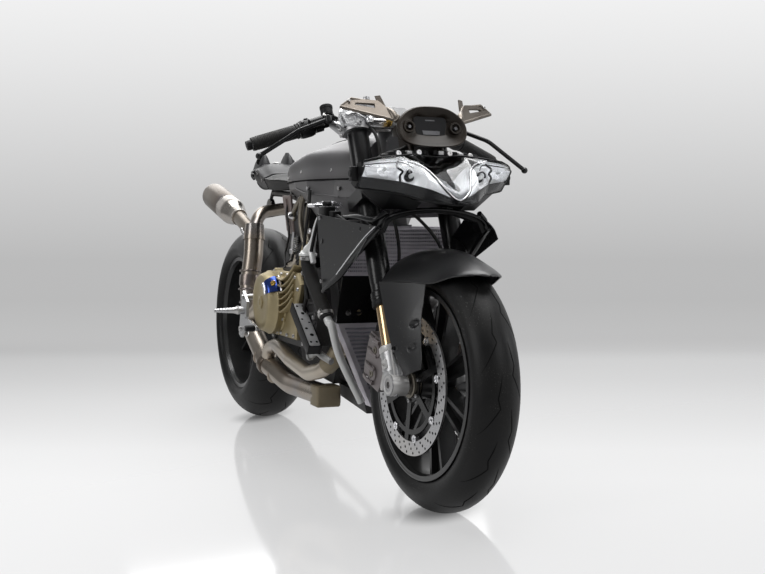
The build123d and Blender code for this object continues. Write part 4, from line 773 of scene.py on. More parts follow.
def emit(name: str, meshes: Iterable[Mesh], skin: Skin, angle: float = 32.0,
         on: Carrier = CHASSIS) -> bpy.types.Object:
    """Make one object from closed meshes, their faces turned outwards, and put it on a body.

    Args:
        name: the object's name.
        meshes: closed parts in local millimetres.
        skin: its finish.
        angle: edges sharper than this stay sharp, degrees.
        on: the place that the parts are in and the body that carries them.

    Returns:
        The object, its origin at the row's origin.
    """
    place, body = on.place, on.body
    points, faces = joined(outward(mesh) for mesh in meshes)
    data = bpy.data.meshes.new(name)
    data.from_pydata(place(points).tolist(), [], faces)
    data.validate()
    data.polygons.foreach_set("use_smooth", np.ones(len(data.polygons), bool))
    data.set_sharp_from_angle(angle=math.radians(angle))
    data.materials.append(skin.material)
    data.update()
    obj = placed(name, data)
    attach(obj, body.value)
    LOG.info("%s: %d faces on %s", name, len(faces), body.value)
    return obj


# ------------------------------------------------------------------ stage
# Picture-row tones of painted light and shade: the floor's glow brightens towards the camera, the backdrop's glow
# darkens from its top to a mid-grey band at its foot.
FLOOR_PAINTED_LIGHT: Rows = ((345, 0.16), (350, 0.165), (360, 0.23), (380, 0.285), (400, 0.36), (420, 0.42), (450, 0.52),
                    (480, 0.56), (640, 0.59))
WALL_PAINTED_LIGHT: Rows = ((0, 0.875), (10, 0.863), (60, 0.799), (120, 0.708), (200, 0.584), (260, 0.497), (300, 0.491),
                   (330, 0.521), (350, 0.527))
# The rows above are picture rows; a colour ramp takes them as shares of this many rows.
RAMP_ROWS = 640.0
LAMPS = (("lamp_top", (500, 300, 3600), (600, 0, 300), 3.6, 2.6, 210),
         ("lamp_right", (1300, -3800, 1900), (600, 0, 400), 1.4, 2.4, 44),
         ("lamp_front", (4800, 900, 2500), (1000, 0, 500), 2.0, 1.6, 28),
         ("lamp_left", (2600, 3600, 2000), (900, 0, 500), 1.6, 2.2, 30),
         ("lamp_back", (-3000, 600, 2600), (300, 0, 500), 2.4, 1.8, 32))


@dataclass
class Studio:
    """Pale floor and backdrop with painted light and shade that follow picture rows, five soft lamps and the camera."""

    eye: tuple[float, float, float] = (3921.35, -1178.93, 680.74)
    yaw: float = 157.44
    pitch: float = -3.21
    roll: float = 0.76
    focal_px: float = 1175.5
    image: tuple[int, int] = (765, 574)
    edge_row: float = 345.0
    wall_away: float = 14.0
    wall_half: float = 16.0
    wall_high: float = 14.0
    floor_deep: float = 36.0

    def axes(self) -> Axes:
        """Right, up and forward of the camera, in the row frame."""
        y, p, r = (math.radians(a) for a in (self.yaw, self.pitch, self.roll))
        forward = np.array([math.cos(p) * math.cos(y), math.cos(p) * math.sin(y), math.sin(p)])
        right = unit(np.cross(forward, (0, 0, 1)))
        up = np.cross(right, forward)
        right, up = math.cos(r) * right + math.sin(r) * up, -math.sin(r) * right + math.cos(r) * up
        return BIKE.turn @ right, BIKE.turn @ up, BIKE.turn @ forward

    def camera(self) -> None:
        """Make the camera with the lens that gives focal_px across the image."""
        right, up, forward = self.axes()
        data = bpy.data.cameras.new("camera")
        data.sensor_width = 36.0
        data.lens = self.focal_px * 36.0 / self.image[0]
        data.clip_end = 200
        obj = placed("camera", data)
        turn = Matrix([[*row] for row in np.stack([right, up, -forward], 1)]).to_4x4()
        obj.matrix_world = Matrix.Translation(Vector(BIKE(np.array([self.eye]))[0])) @ turn
        bpy.context.scene.camera = obj

    def backdrop(self) -> None:
        """Floor up to a far line and a wall that rises from it, well behind any place to look from."""
        eye = BIKE(np.array([self.eye]))[0] * (1, 1, 0)
        ahead = unit(self.axes()[2] * (1, 1, 0))
        along = np.array([-ahead[1], ahead[0], 0.0])
        middle = eye + ahead * self.wall_away
        left, right_end = middle - along * self.wall_half, middle + along * self.wall_half
        floor = np.array([left, right_end, right_end - ahead * self.floor_deep, left - ahead * self.floor_deep])
        rise = (0, 0, self.wall_high)
        wall = np.array([left, right_end, right_end + rise, left + rise])
        for name, corners, mat in (("floor", floor, self.floor_material()), ("backdrop", wall, self.wall_material())):
            data = bpy.data.meshes.new(name)
            data.from_pydata(corners.tolist(), [], [[0, 1, 2, 3]])
            data.materials.append(mat)
            obj = placed(name, data)

    def level(self, n: Nodes) -> Socket:
        """Picture row over RAMP_ROWS, as a fixed projection of Object coordinates."""
        _, up, forward = self.axes()
        eye = BIKE(np.array([self.eye]))[0]
        from_eye = n.vector("SUBTRACT", n.where(), tuple(eye)).outputs["Vector"]
        rise, ahead = (n.vector("DOT_PRODUCT", from_eye, tuple(axis)).outputs["Value"] for axis in (up, forward))
        down = n.math("MULTIPLY", n.math("DIVIDE", rise, ahead), self.focal_px / RAMP_ROWS)
        return n.math("SUBTRACT", self.image[1] / 2 / RAMP_ROWS, down, True)

    def sweep(self, n: Nodes, stops: Rows) -> Socket:
        """A grey that follows (row, tone) stops: painted light and shade by picture row."""
        return n.stops(self.level(n), [(row / RAMP_ROWS, (tone, tone, tone * 1.003)) for row, tone in stops])

    def seen(self, n: Nodes) -> Socket:
        """One for rays from the camera, reflections and transmission."""
        ray = n.add("ShaderNodeLightPath").outputs
        return n.math("MAXIMUM", ray["Is Camera Ray"],
                      n.math("MAXIMUM", ray["Is Glossy Ray"], ray["Is Transmission Ray"]))

    def floor_material(self) -> bpy.types.Material:
        """Pale floor with faint mottling and a soft sheen; its painted light glows to the camera, mid grey at the
        backdrop and brighter towards the camera, with painted contact shadow close to the tyres.
        """
        mat, n, bsdf = new_material("studio_floor")
        where = n.where()
        noise = n.noise(where, 1.2, 2.0)
        # painted light: the floor's glow follows picture row
        lift = self.sweep(n, FLOOR_PAINTED_LIGHT)
        contact_shade: Socket | None = None
        # painted contact shadow: the floor's glow falls to a fifth within a few centimetres of each tyre's contact
        for contact in ((HEAD_X - 100, 0, 0), (0, 0, 0)):
            spot = BIKE(np.array([contact], float))[0] * (1, 1, 0)
            contact_shade_falloff = n.ramp(n.vector("DISTANCE", where, tuple(spot)).outputs["Value"], 0.02, 0.13, 0.2, 1.0)
            contact_shade = contact_shade_falloff if contact_shade is None else n.math("MULTIPLY", contact_shade, contact_shade_falloff)
        n.feed(bsdf,
               {"Base Color": n.mix(noise, (0.12, 0.12, 0.12, 1), (0.116, 0.116, 0.118, 1)), "Emission Color": lift,
                "Emission Strength": n.math("MULTIPLY", self.seen(n), contact_shade), "Roughness": 0.09,
                "Specular IOR Level": 0.35})
        beyond = n.ramp(self.level(n), (self.edge_row - 8) / RAMP_ROWS, (self.edge_row + 12) / RAMP_ROWS, 0.0, 1.0)
        whole = n.add("ShaderNodeMixShader", {0: beyond, 1: self.painted_glow(n), 2: bsdf.outputs[0]})
        n.feed(mat.node_tree.nodes["Material Output"], {"Surface": whole.outputs[0]})
        return mat

    def painted_glow(self, n: Nodes) -> Socket:
        """Painted light and shade: the wall's grey sweep where it is seen, and plain grey for the light that falls on
        it.
        """
        lit = n.add("ShaderNodeEmission", {"Color": self.sweep(n, WALL_PAINTED_LIGHT), "Strength": 1.0})
        grey = n.add("ShaderNodeBsdfDiffuse", {"Color": (0.6, 0.6, 0.6, 1)})
        return n.add("ShaderNodeMixShader", {0: self.seen(n), 1: grey.outputs[0], 2: lit.outputs[0]}).outputs[0]

    def wall_material(self) -> bpy.types.Material:
        """Backdrop that glows to the camera with painted light and shade: mid grey at its foot, light grey above."""
        mat, n, _ = new_material("studio_backdrop")
        n.tree.nodes.clear()
        n.feed(n.add("ShaderNodeOutputMaterial"), {"Surface": self.painted_glow(n)})
        return mat

    def lamps(self) -> None:
        """A broad lamp overhead, one at each front quarter and one behind, all soft, with a pale world."""
        for name, at, target, wide, high, watts in LAMPS:
            lamp = bpy.data.lights.new(name, "AREA")
            lamp.shape = "RECTANGLE"
            lamp.size, lamp.size_y = wide, high
            lamp.energy = watts
            obj = placed(name, lamp)
            here, there = BIKE(np.array([at, target], float))
            obj.location = here
            obj.rotation_euler = Vector(there - here).to_track_quat("-Z", "Y").to_euler()
        world = bpy.data.worlds.new("studio")
        bpy.context.scene.world = world
        world.use_nodes = True
        shade = world.node_tree.nodes["Background"]
        shade.inputs["Color"].default_value = (0.86, 0.87, 0.88, 1)
        shade.inputs["Strength"].default_value = 0.26

    def build(self) -> None:
        """Set the scene up."""
        bpy.context.scene.view_settings.view_transform = "Standard"
        self.camera()
        self.backdrop()
        self.lamps()


# ------------------------------------------------------------------ shared shapes
def closed_curve(points: Array, count: int) -> Array:
    """Closed Catmull-Rom curves through control points on axis -2, sampled at count even steps."""
    n = points.shape[-2]
    s = np.linspace(0, n, count, endpoint=False)
    i = s.astype(int)
    return catmull([points[..., (i + k) % n, :] for k in (-1, 0, 1, 2)], (s - i)[:, None])


def lofted(sections: Sequence[Sequence[Point]], around: int, along: int) -> Mesh:
    """A smooth body through closed sections: Catmull-Rom round each section and from one to the next.

    Args:
        sections: rings of control points, the same number in each.
        around: points round each ring of the result.
        along: rings of the result.

    Returns:
        The mesh with flat ends.
    """
    rings = closed_curve(np.asarray(sections, float), around)
    path = np.stack([smooth_path(rings[:, k], along) for k in range(around)], 1)
    return grid(path)


def grid_normals(surface: Array) -> Array:
    """Unit normals of a (rows, cols, 3) grid, by rows x cols."""
    normal = np.cross(np.gradient(surface, axis=0), np.gradient(surface, axis=1))
    return normal / np.maximum(np.linalg.norm(normal, axis=2, keepdims=True), 1e-9)


def sheet(surface: Array, thickness: float) -> Mesh:
    """A thin closed shell: a (rows, cols, 3) surface and its offset along the surface normals, joined at the rim.

    Args:
        surface: grid of points.
        thickness: distance to the second side, against the normal of rows x cols.

    Returns:
        The closed mesh.
    """
    rows, cols = surface.shape[:2]
    normal = grid_normals(surface)
    points = np.concatenate([surface.reshape(-1, 3), (surface - normal * thickness).reshape(-1, 3)])
    n = rows * cols
    rim = list(range(cols)) + [r * cols + cols - 1 for r in range(1, rows)] \
        + [(rows - 1) * cols + c for c in range(cols - 2, -1, -1)] + [r * cols for r in range(rows - 2, 0, -1)]
    faces = grid_faces(rows, cols, False, True)
    faces += [[i + n for i in f[::-1]] for f in faces]
    faces += [[a, b, b + n, a + n] for a, b in zip(rim, rim[1:] + rim[:1])]
    return (points, faces)


def strip(path: Array, side: Array, normal: Array, width: Point, lift: float = 0.3,
          depth: float = 1.2) -> Mesh:
    """A thin inlay that follows a surface: a closed four-sided bar whose top stands lift above the path.

    Args:
        path: (n, 3) points on the surface.
        side: (n, 3) unit vectors across the path.
        normal: (n, 3) unit surface normals.
        width: half width at each point.
        lift: height of the top over the surface.
        depth: how far the bar goes below.

    Returns:
        The mesh.
    """
    w = np.asarray(width, float)[:, None]
    rows = np.stack([path + side * w + normal * lift, path - side * w + normal * lift,
                     path - side * w - normal * depth, path + side * w - normal * depth], 1)
    return grid(rows)


def ring_of(mesh: Mesh, centre: Point, axis: int, count: int, start: float = 0.0) -> list[Mesh]:
    """Copies of a mesh turned round an axis through a centre: axis 1 is Y and axis 2 is Z."""
    turn = turn_y if axis == 1 else turn_z
    c = np.asarray(centre, float)
    return [((mesh[0] - c) @ turn(start + 2 * math.pi * k / count).T + c, mesh[1]) for k in range(count)]


# ------------------------------------------------------------------ wheels
@dataclass
class Tyre:
    """Zig-zag tread cuts drawn as dark inlays of painted groove shade, wall beads and parting lines of one tyre, in the
    place of its hub.
    """

    name: str
    radius: float
    half: float
    crown: float
    pitch: int
    carrier: Carrier
    stroke: Rows = (
        (14.2, 0.20, 0.2), (9.5, 0.27, 2.2), (4.4, 0.36, 2.3), (0.3, 0.26, 2.2), (-5.0, 0.52, 2.2), (-12.6, 0.86, 0.3))

    def on_tread(self, angle: Array, y: Array) -> tuple[Array, Array]:
        """Points and normals of the tread: radius - crown + sqrt(crown^2 - y^2) about the hub."""
        deep = np.sqrt(np.maximum(self.crown**2 - y**2, 1))
        r = self.radius - self.crown + deep
        radial = np.stack([np.cos(angle), np.zeros_like(angle), np.sin(angle)], 1)
        points = radial * r[:, None] + np.stack([0 * y, y, 0 * y], 1)
        normal = radial * (deep / self.crown)[:, None] + np.stack([0 * y, y / self.crown, 0 * y], 1)
        return points, normal

    def cut(self, start: float, side: int, scale: float = 1.0) -> Mesh:
        """One tread cut from the crown to the shoulder, tapered at both ends: a dark inlay standing a little proud of
        the tread, painted groove shade.
        """
        rows = np.array(self.stroke)
        s = np.linspace(0, 1, 26)
        at = np.linspace(0, 1, len(rows))
        angle = np.radians(np.interp(s, at, rows[:, 0]) * scale) + start
        y = side * np.interp(s, at, rows[:, 1]) * self.half
        width = np.interp(s, at, rows[:, 2])
        points, normal = self.on_tread(angle, y)
        along = np.gradient(points, axis=0)
        along /= np.linalg.norm(along, axis=1)[:, None]
        return strip(points, np.cross(normal, along), normal, width * 0.55, 0.25)

    def build(self) -> None:
        """Cuts on both sides, half a pitch apart, and fine raised lines on the walls."""
        step = 2 * math.pi / self.pitch
        cuts = []
        for k in range(self.pitch):
            cuts += [self.cut(k * step, -1), self.cut((k + 0.5) * step, 1)]
        # dark inlays: painted shade of the tread grooves
        emit(f"{self.name}_tread_cuts", cuts, Skin.CUT, 60, on=self.carrier)
        lines = []
        for side in (-1, 1):
            for r, y in ((246.0, self.half * 0.985), (232.0, self.half * 0.90)):
                seat = side * y
                lines.append(ring_turned((0, 0, 0), (0, 1, 0),
                                         [(r - 1.1, seat - side * 2), (r, seat + side * 0.9),
                                          (r + 1.1, seat - side * 2)][::side], 96))
        emit(f"{self.name}_wall_lines", lines, Skin.TYRE, on=self.carrier)


def rim_edges(inner: float, outer: float, back: float) -> list[Mesh]:
    """Edge rings on both sides of a rim, from the half widths of their inner face, lip and back."""
    return [ring_turned((0, 0, 0), (0, 1, 0), [(219.6, side * inner), (223.9, side * inner), (224.2, side * outer),
                                               (219.6, side * back)][::-side], 120) for side in (-1, 1)]


def valve(y: float) -> Mesh:
    """A tyre valve that stands on the rim's inside at y."""
    return turned((178, y, 110), (-0.85, 0, -0.5), ((4.5, -14), (4.5, 4), (3, 8), (3, 26), (0, 27)), 12)


@dataclass
class FrontWheelDetail:
    """Disc buttons, carrier screws, rim edges, hub rings and valve of the front wheel."""

    bobbin_r: float = 126.0
    count: int = 8

    def bobbin(self, side: int) -> Mesh:
        """Float button on the disc's inner edge: a bright washer with a hollow pin."""
        y = side * (DISC_Y + 2)
        return turned((self.bobbin_r, y, 0), (0, side, 0),
                      ((9.5, -7), (9.5, 2.2), (8.6, 3), (6.2, 3), (5.4, 1.6), (3.6, 1.6), (3.2, -1), (0, -1)), 20)

    def build(self) -> None:
        """Dress the front wheel."""
        buttons: list[Mesh] = []
        for side in (-1, 1):
            buttons += ring_of(self.bobbin(side), (0, 0, 0), 1, self.count, 0.2)
        emit("disc_buttons", buttons, Skin.BRIGHT, on=FRONT_WHEEL)
        screws: list[Mesh] = []
        for side in (-1, 1):
            screws += ring_of(bolt((38, side * 76, 0), (0, side, 0), 5, 4), (0, 0, 0), 1, 6)
        emit("carrier_screws", screws, Skin.STEEL, on=FRONT_WHEEL)
        emit("front_rim_edges", rim_edges(50.6, 52.6, 52.8), Skin.WHEEL, on=FRONT_WHEEL)
        hub = [turned((0, side * 64, 0), (0, side, 0), ((31, 0), (31, 18), (29, 20), (22, 20), (20, 17), (0, 17)), 40)
               for side in (-1, 1)]
        emit("front_hub_rings", hub, Skin.RING, on=FRONT_WHEEL)
        emit("front_valve", [valve(14)], Skin.RUBBER, on=FRONT_WHEEL)


# ------------------------------------------------------------------ fork
FORK_X = 30.0
FORK_Y = 110.0
DISC_Y = 73.5
AXLE = (AXLE_OFFSET, 314.2)
CALIPER = np.array([-80.0, 0, 412.0])
CALIPER_OUT = unit((CALIPER[0] - AXLE[0], 0, CALIPER[2] - AXLE[1]))
CALIPER_ALONG = np.array([-CALIPER_OUT[2], 0, CALIPER_OUT[0]])


@dataclass
class Fork:
    """Caps, seal heads, clamps, steering damper, feet and calipers of the fork."""

    def leg(self, side: int, profile: Profile, segments: int = 40) -> Mesh:
        """A shape turned about one leg; the profile's second number is the height on the leg."""
        return turned((FORK_X, side * FORK_Y, 0), (0, 0, 1), profile, segments)

    def caps(self) -> None:
        """Fork caps: round ring, hexagon and adjuster."""
        rings, hexes = [], []
        for side in (-1, 1):
            rings.append(self.leg(side, ((25.8, 1030), (26.2, 1042), (25.2, 1044.5), (20, 1045), (0, 1045))))
            hexes.append(turned((FORK_X, side * FORK_Y, 0), (0, 0, 1),
                                ((15.5, 1044), (16.2, 1045), (16.2, 1051), (15.0, 1052.5), (11, 1052.5), (10.5, 1050),
                                 (0, 1050)), 6))
            hexes.append(self.leg(side,
                                  ((8.5, 1049), (8.5, 1054), (7.4, 1055), (2.6, 1055), (2.0, 1053), (0, 1053)), 20))
        emit("fork_cap_rings", rings, Skin.SATIN_BLACK, on=STEERING)
        emit("fork_cap_hexes", hexes, Skin.ALLOY, on=STEERING)

    def bands(self) -> None:
        """Seal heads, wiper lips and the machined steps of the outer tubes."""
        dark, grey, tube_ = [], [], []
        for side in (-1, 1):
            dark.append(self.leg(side, ((24, 508), (28.8, 509), (29.6, 512), (29.6, 522), (28.4, 524), (28.4, 526.5),
                                        (29.6, 528), (29.6, 543), (28.2, 545), (26.4, 546))))
            grey.append(self.leg(side, ((29.2, 529.5), (29.9, 530.2), (29.9, 541), (29.2, 541.8))))
            tube_.append(self.leg(side, ((25.9, 560), (27.0, 566), (27.0, 768), (26.2, 772))))
            tube_.append(self.leg(side, ((26.1, 806), (27.2, 812), (27.2, 962), (26.2, 969))))
        emit("fork_seal_heads", dark, Skin.PLASTIC, on=STEERING)
        emit("fork_seal_bands", grey, Skin.SATIN_BLACK, on=STEERING)
        emit("fork_tube_steps", tube_, Skin.SATIN_BLACK, on=STEERING)

    def clamps(self) -> None:
        """Pinch screws of both clamps, the stem nut and raised edges of the upper clamp."""
        screws: list[Mesh] = []
        for side in (-1, 1):
            for z in (1012, 1028):
                screws.append(bolt((-6, side * (FORK_Y + 33), z), (-0.5, side, 0), 4.6, 4))
            for z in (779, 798):
                screws.append(bolt((72, side * 96, z), (1, 0, 0), 5.2, 5))
            for z in (978, 994):
                screws.append(bolt((-2, side * (FORK_Y + 30), z), (-0.6, side, 0), 4.4, 4))
        emit("clamp_screws", screws, Skin.STEEL, on=STEERING)
        self.clamp_face()
        stem = [turned((0, 0, 1036), (0, 0, 1),
                       ((24, -0.5), (24, 5), (22, 6.5), (17.5, 6.5), (17.5, 9.5), (10, 9.5), (9.6, 2), (0, 2)), 6, 0.3),
                turned((0, 0, 1036), (0, 0, 1), ((27, -0.5), (27, 1.6), (26, 2.2), (0, 2.2)), 40)]
        emit("stem_nut", stem, Skin.ALLOY, on=STEERING)
        pads = [rounded_box((34, -22, 1035.5), (58, 22, 1039), 6, 4),
                turned((90, -105, 1002), (0.2, 0, 1), ((8, 28), (8, 35), (5.5, 35.4), (5.2, 29), (0, 29)), 24)]
        emit("clamp_pads", pads, Skin.ALLOY, on=STEERING)

    def clamp_face(self) -> None:
        """Deep polished front wall of the upper clamp, with its bores and pocket as dark insets of painted shade, and
        its screws, on each side.
        """
        edge_line = [(-158, 1000), (-154, 1019), (-146, 1029), (-127, 1035.5), (-88, 1035.5), (-56, 1032), (-40, 1020),
                     (-29, 994), (-24, 982), (-48, 980), (-78, 979), (-106, 983), (-126, 977), (-150, 981)]
        walls, dark, screws = [], [], []
        for side in (-1, 1):
            u, v, w = np.array([0, -side, 0.]), np.array([0, 0, 1.]), np.array([1.0, 0, 0])
            walls.append(profile_slab(edge_line, 40, 63, (u, v, w), edge=5))
            walls.append(profile_slab([(-132, 1003), (-112, 1003), (-108, 1030), (-130, 1030)], 60, 68,
                                      (u, v, w), edge=3))
            walls.append(tube([(64, side * 150, 1001), (66, side * 128, 1008), (65, side * 104, 998),
                               (64, side * 60, 990)], (5, 6, 5, 3), 12, 24))
            # dark pocket plate and bore discs: painted shade in the recesses
            dark.append(profile_slab([(-74, 990), (-41, 993), (-39, 1007), (-72, 1007)], 62.2, 64, (u, v, w), edge=0.6))
            for y, z, r in ((91, 1019, 7.5), (90, 993, 6), (145, 1004, 4), (120, 1011, 3.4), (131, 1006, 3.4)):
                step, top = (3.4, 3.6) if abs(y - 91) > 2 else (1.8, 2.0)
                dark.append(turned((62, side * y, z), (1, 0, 0), ((r, 0), (r, step), (r * 0.8, top), (0, top)), 24))
            walls.append(turned((62, side * 91, 1019), (1, 0, 0),
                                ((10.5, -2), (10.5, 2), (9, 3.4), (7.6, 3.4), (7.6, -2)), 28))
            screws.append(bolt((65, side * 118, 981), (1, 0, 0), 6, 5))
        emit("clamp_wall", walls, Skin.POLISHED, 35, on=STEERING)
        emit("clamp_bores", dark, Skin.CUT, on=STEERING)
        emit("clamp_wall_screws", screws, Skin.STEEL, on=STEERING)

    def damper(self) -> None:
        """Steering damper: bright rod with its ball, gold ring and pale cylinder in a dark clamp."""
        z, x = 988.0, 72.0
        emit("damper_rod", [turned((x, -96, z), (0, 1, 0), ((5, 0), (5, 58)), 20),
                            turned((x, -92, z), (0, 1, 0), ((0, -11), (6, -9.5), (9.2, -5.5), (10.6, 0), (9.2, 5.5),
                                                            (6, 9.5), (0, 11)), 28)], Skin.BRIGHT, 50, on=STEERING)
        emit("damper_ring",
             [turned((x, -48, z), (0, 1, 0), ((10, 0), (12.6, 1), (13.4, 3), (13.4, 10), (12.6, 12), (10, 13)), 36)],
             Skin.GOLD, on=STEERING)
        emit("damper_barrel", [turned((x, -35, z), (0, 1, 0),
                                      ((11, 0), (13.8, 1.5), (14.4, 4), (14.4, 84), (13.8, 88), (12.0, 90), (12.0, 96),
                                       (10.5, 98), (0, 98)), 40)], Skin.WHITE, on=STEERING)
        emit("damper_clamp", [turned((x, 8, z), (0, 1, 0), ((14, -6), (16.4, -5), (16.4, 5), (14, 6)), 36),
                              bolt((x + 15, 8, z - 4), (1, 0, -0.3), 3.6, 3)], Skin.SATIN_BLACK, on=STEERING)

    def feet(self) -> None:
        """Collars, axle bosses, webs, small pads and screws of the fork feet."""
        cast, dark, screws = [], [], []
        for side in (-1, 1):
            y = side * FORK_Y
            cast.append(self.leg(side,
                                 ((22, 409), (27.2, 408.5), (29.2, 406), (29.2, 396), (27.8, 393.5), (26.8, 393))))
            cast.append(turned((AXLE[0], 0, AXLE[1]), (0, side, 0),
                               ((23, 91.4), (25.2, 92), (25.8, 94), (25.8, 129), (24.6, 133.4), (21.5, 136),
                                (17.2, 136.4), (15.6, 135.4), (15.6, 128), (0, 128)), 56))
            dark.append(turned((AXLE[0], 0, AXLE[1]), (0, side, 0),
                               ((12.6, 128), (12.6, 134.6), (11.8, 135.4), (8.4, 135.4), (8.2, 124), (0, 124)), 36))
            pad = [(-9, -11), (9, -11), (10, -9), (10, 9), (8, 11), (-8, 11), (-10, 9), (-10, -9)]
            cast.append(profile_slab(pad, -4, 5, upright(side), (FORK_X + 4, y + side * 25.2, 364), 1.4))
            for dy in (-13, 13):
                cast.append(tube([(FORK_X + 24.5, y + dy, 392), (FORK_X + 24, y + dy, 362),
                                  (FORK_X + 20, y + dy * 0.9, 338), (FORK_X + 16, y + dy * 0.8, 328)],
                                 (2.4, 3.4, 3.0, 1.6), 10, 20))
            cast.append(tube([(FORK_X - 20, y + side * 12, 350), (FORK_X - 34, y + side * 15, 332),
                              (FORK_X - 46, y + side * 15, 322)], (9, 7.5, 6), 14, 16))
            screws.append(bolt((FORK_X + 4, y + side * 29.8, 364), (0, side, 0), 4.4, 2.6))
            screws.append(bolt((FORK_X - 46.5, y + side * 15, 321.5), (-1, 0, -0.75), 4.4, 4))
            screws.append(bolt((AXLE[0] + 4, y + side * 10, 290.2), (0.1, 0, -1), 4.6, 4))
            for k in (-1, 1):
                p = CALIPER + CALIPER_ALONG * (50 * k) + CALIPER_OUT * 6
                screws.append(bolt((p[0], side * (DISC_Y + 33), p[2]), (0, side, 0), 6.5, 6))
        emit("foot_castings", cast, Skin.FOOT, on=STEERING)
        emit("axle_ends", dark, Skin.STEEL, on=STEERING)
        emit("foot_screws", screws, Skin.STEEL, on=STEERING)

    def calipers(self) -> None:
        """Piston rings, plugs, ribs and pads of each caliper."""
        shells, caps, pads = [], [], []
        for side in (-1, 1):
            base = CALIPER + np.array([0, side * DISC_Y, 0])
            for k in (-1, 1):
                p = base + CALIPER_ALONG * (30 * k) - CALIPER_OUT * 12 + np.array([0, side * 32, 0])
                shells.append(turned(p, (0, side, 0),
                                     ((19, -2), (19, 3.5), (17, 6), (12, 6.4), (11, 4.6), (0, 4.6)), 32))
                caps.append(turned(p, (0, side, 0), ((9.6, 3), (9.6, 6.5), (8.4, 7.4), (4, 7.4), (3.4, 5), (0, 5)), 6))
            for s in (-52, -18, 18, 52):
                p = base + CALIPER_ALONG * s + CALIPER_OUT * 2
                shells.append(tube([p + np.array([0, side * 36, 0]) - CALIPER_OUT * 26,
                                    p + np.array([0, side * 38.5, 0]),
                                    p + np.array([0, side * 30, 0]) + CALIPER_OUT * 34,
                                    p + np.array([0, side * 4, 0]) + CALIPER_OUT * 38], (4.6, 5.2, 5.2, 4.6), 12, 18))
            pads.append(moved(rounded_box((-15, -9, -30), (16, 9, 30), 3),
                              np.stack([CALIPER_OUT, [0, 1, 0], CALIPER_ALONG], 1), base))
        emit("caliper_ribs", shells, Skin.CALIPER, on=STEERING)
        emit("caliper_plugs", caps, Skin.RING, on=STEERING)
        emit("brake_pads", pads, Skin.STEEL, on=STEERING)

    def build(self) -> None:
        """Dress the fork."""
        self.caps()
        self.bands()
        self.clamps()
        self.damper()
        self.feet()
        self.calipers()


@dataclass
class Fender:
    """Front fender: domed arch with a creased edge, a rear arch between the legs and a dimpled shield each side."""

    centre: tuple[float, float] = AXLE
    thickness: float = 2.6
    # columns: angle up from forward, half width, edge radius, crown radius
    front: Rows = ((27.5, 3, 334, 335), (29.5, 30, 326, 334), (34, 56, 306, 329), (46, 79, 256, 320),
                   (62, 99, 241, 316), (84, 126, 240, 316))
    rear: Rows = ((76, 74, 288, 315), (92, 76, 284, 316), (106, 72, 286, 318))
    back_edge: Rows = ((60, 131, 560), (60, 129.5, 480), (63, 126, 402), (72, 110, 322))
    front_edge: Rows = ((190, 82, 506), (176, 87, 468), (160, 92, 430), (140, 102, 318))
    dimples: Rows = ((141, 426), (123, 376))

    def arch(self, rows: Sequence[Point], along: int, across: int) -> Array:
        """Arch points: r = edge + (crown - edge)(1 - |t|^2.3) at y = half t, over interpolated rows."""
        table = smooth_path(np.asarray(rows, float), along)
        t = np.linspace(-1, 1, across)
        a = np.radians(table[:, 0])[:, None]
        half, edge, crown = (table[:, k][:, None] for k in (1, 2, 3))
        r = edge + (crown - edge) * (1 - np.abs(t)[None] ** 2.3)
        y = half * np.sign(t)[None] * np.abs(t)[None] ** 0.92
        return np.stack([self.centre[0] + r * np.cos(a), y + 0 * r, self.centre[1] + r * np.sin(a)], -1)

    def shield(self, side: int) -> Array:
        """Shield points: ruled between its two edges, bulged a little, pushed in at each oval dimple."""
        back = smooth_path(self.back_edge, 96)
        ahead = smooth_path(self.front_edge, 96)
        u = np.linspace(0, 1, 64)[None, :, None]
        p = back[:, None] * (1 - u) + ahead[:, None] * u
        p[..., 1] += (np.sin(np.pi * u[..., 0]) * 4.0)
        depth = np.zeros(p.shape[:2])
        for x, z in self.dimples:
            far = np.hypot((p[..., 0] - x) / 13.5, (p[..., 2] - z) / 9.0)
            depth = np.maximum(depth, np.clip(1 - far**3, 0, 1))
        p[..., 1] -= depth * 8.5
        p[..., 1] *= side
        return p

    def crease(self, side: int) -> Mesh:
        """A fine rounded bead along the arch's edge."""
        table = smooth_path(np.asarray(self.front, float)[1:], 50)
        a = np.radians(table[:, 0])
        path = np.stack([self.centre[0] + table[:, 2] * np.cos(a), side * table[:, 1],
                         self.centre[1] + table[:, 2] * np.sin(a)], 1)
        return tube(path, (0.8, 2.4, 2.8, 2.8, 2.4), 10)

    def build(self) -> None:
        """Make the fender in place of its plain node."""
        meshes = [sheet(self.arch(self.front, 64, 61), self.thickness),
                  sheet(self.arch(self.rear, 24, 41), self.thickness)]
        for side in (-1, 1):
            meshes.append(sheet(self.shield(side), self.thickness))
            tab = rounded_box((54, side * 100, 383), (80, side * 124, 398), 3)
            meshes += [tab, self.crease(side)]
        fender = emit("fender", meshes, Skin.FENDER, 40, on=STEERING)
        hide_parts("front_fender")
        screws = [bolt((72, side * 125.5, 391), (0.2, side, 0), 5, 3) for side in (-1, 1)]
        emit("fender_screws", screws, Skin.SATIN_BLACK, on=STEERING)


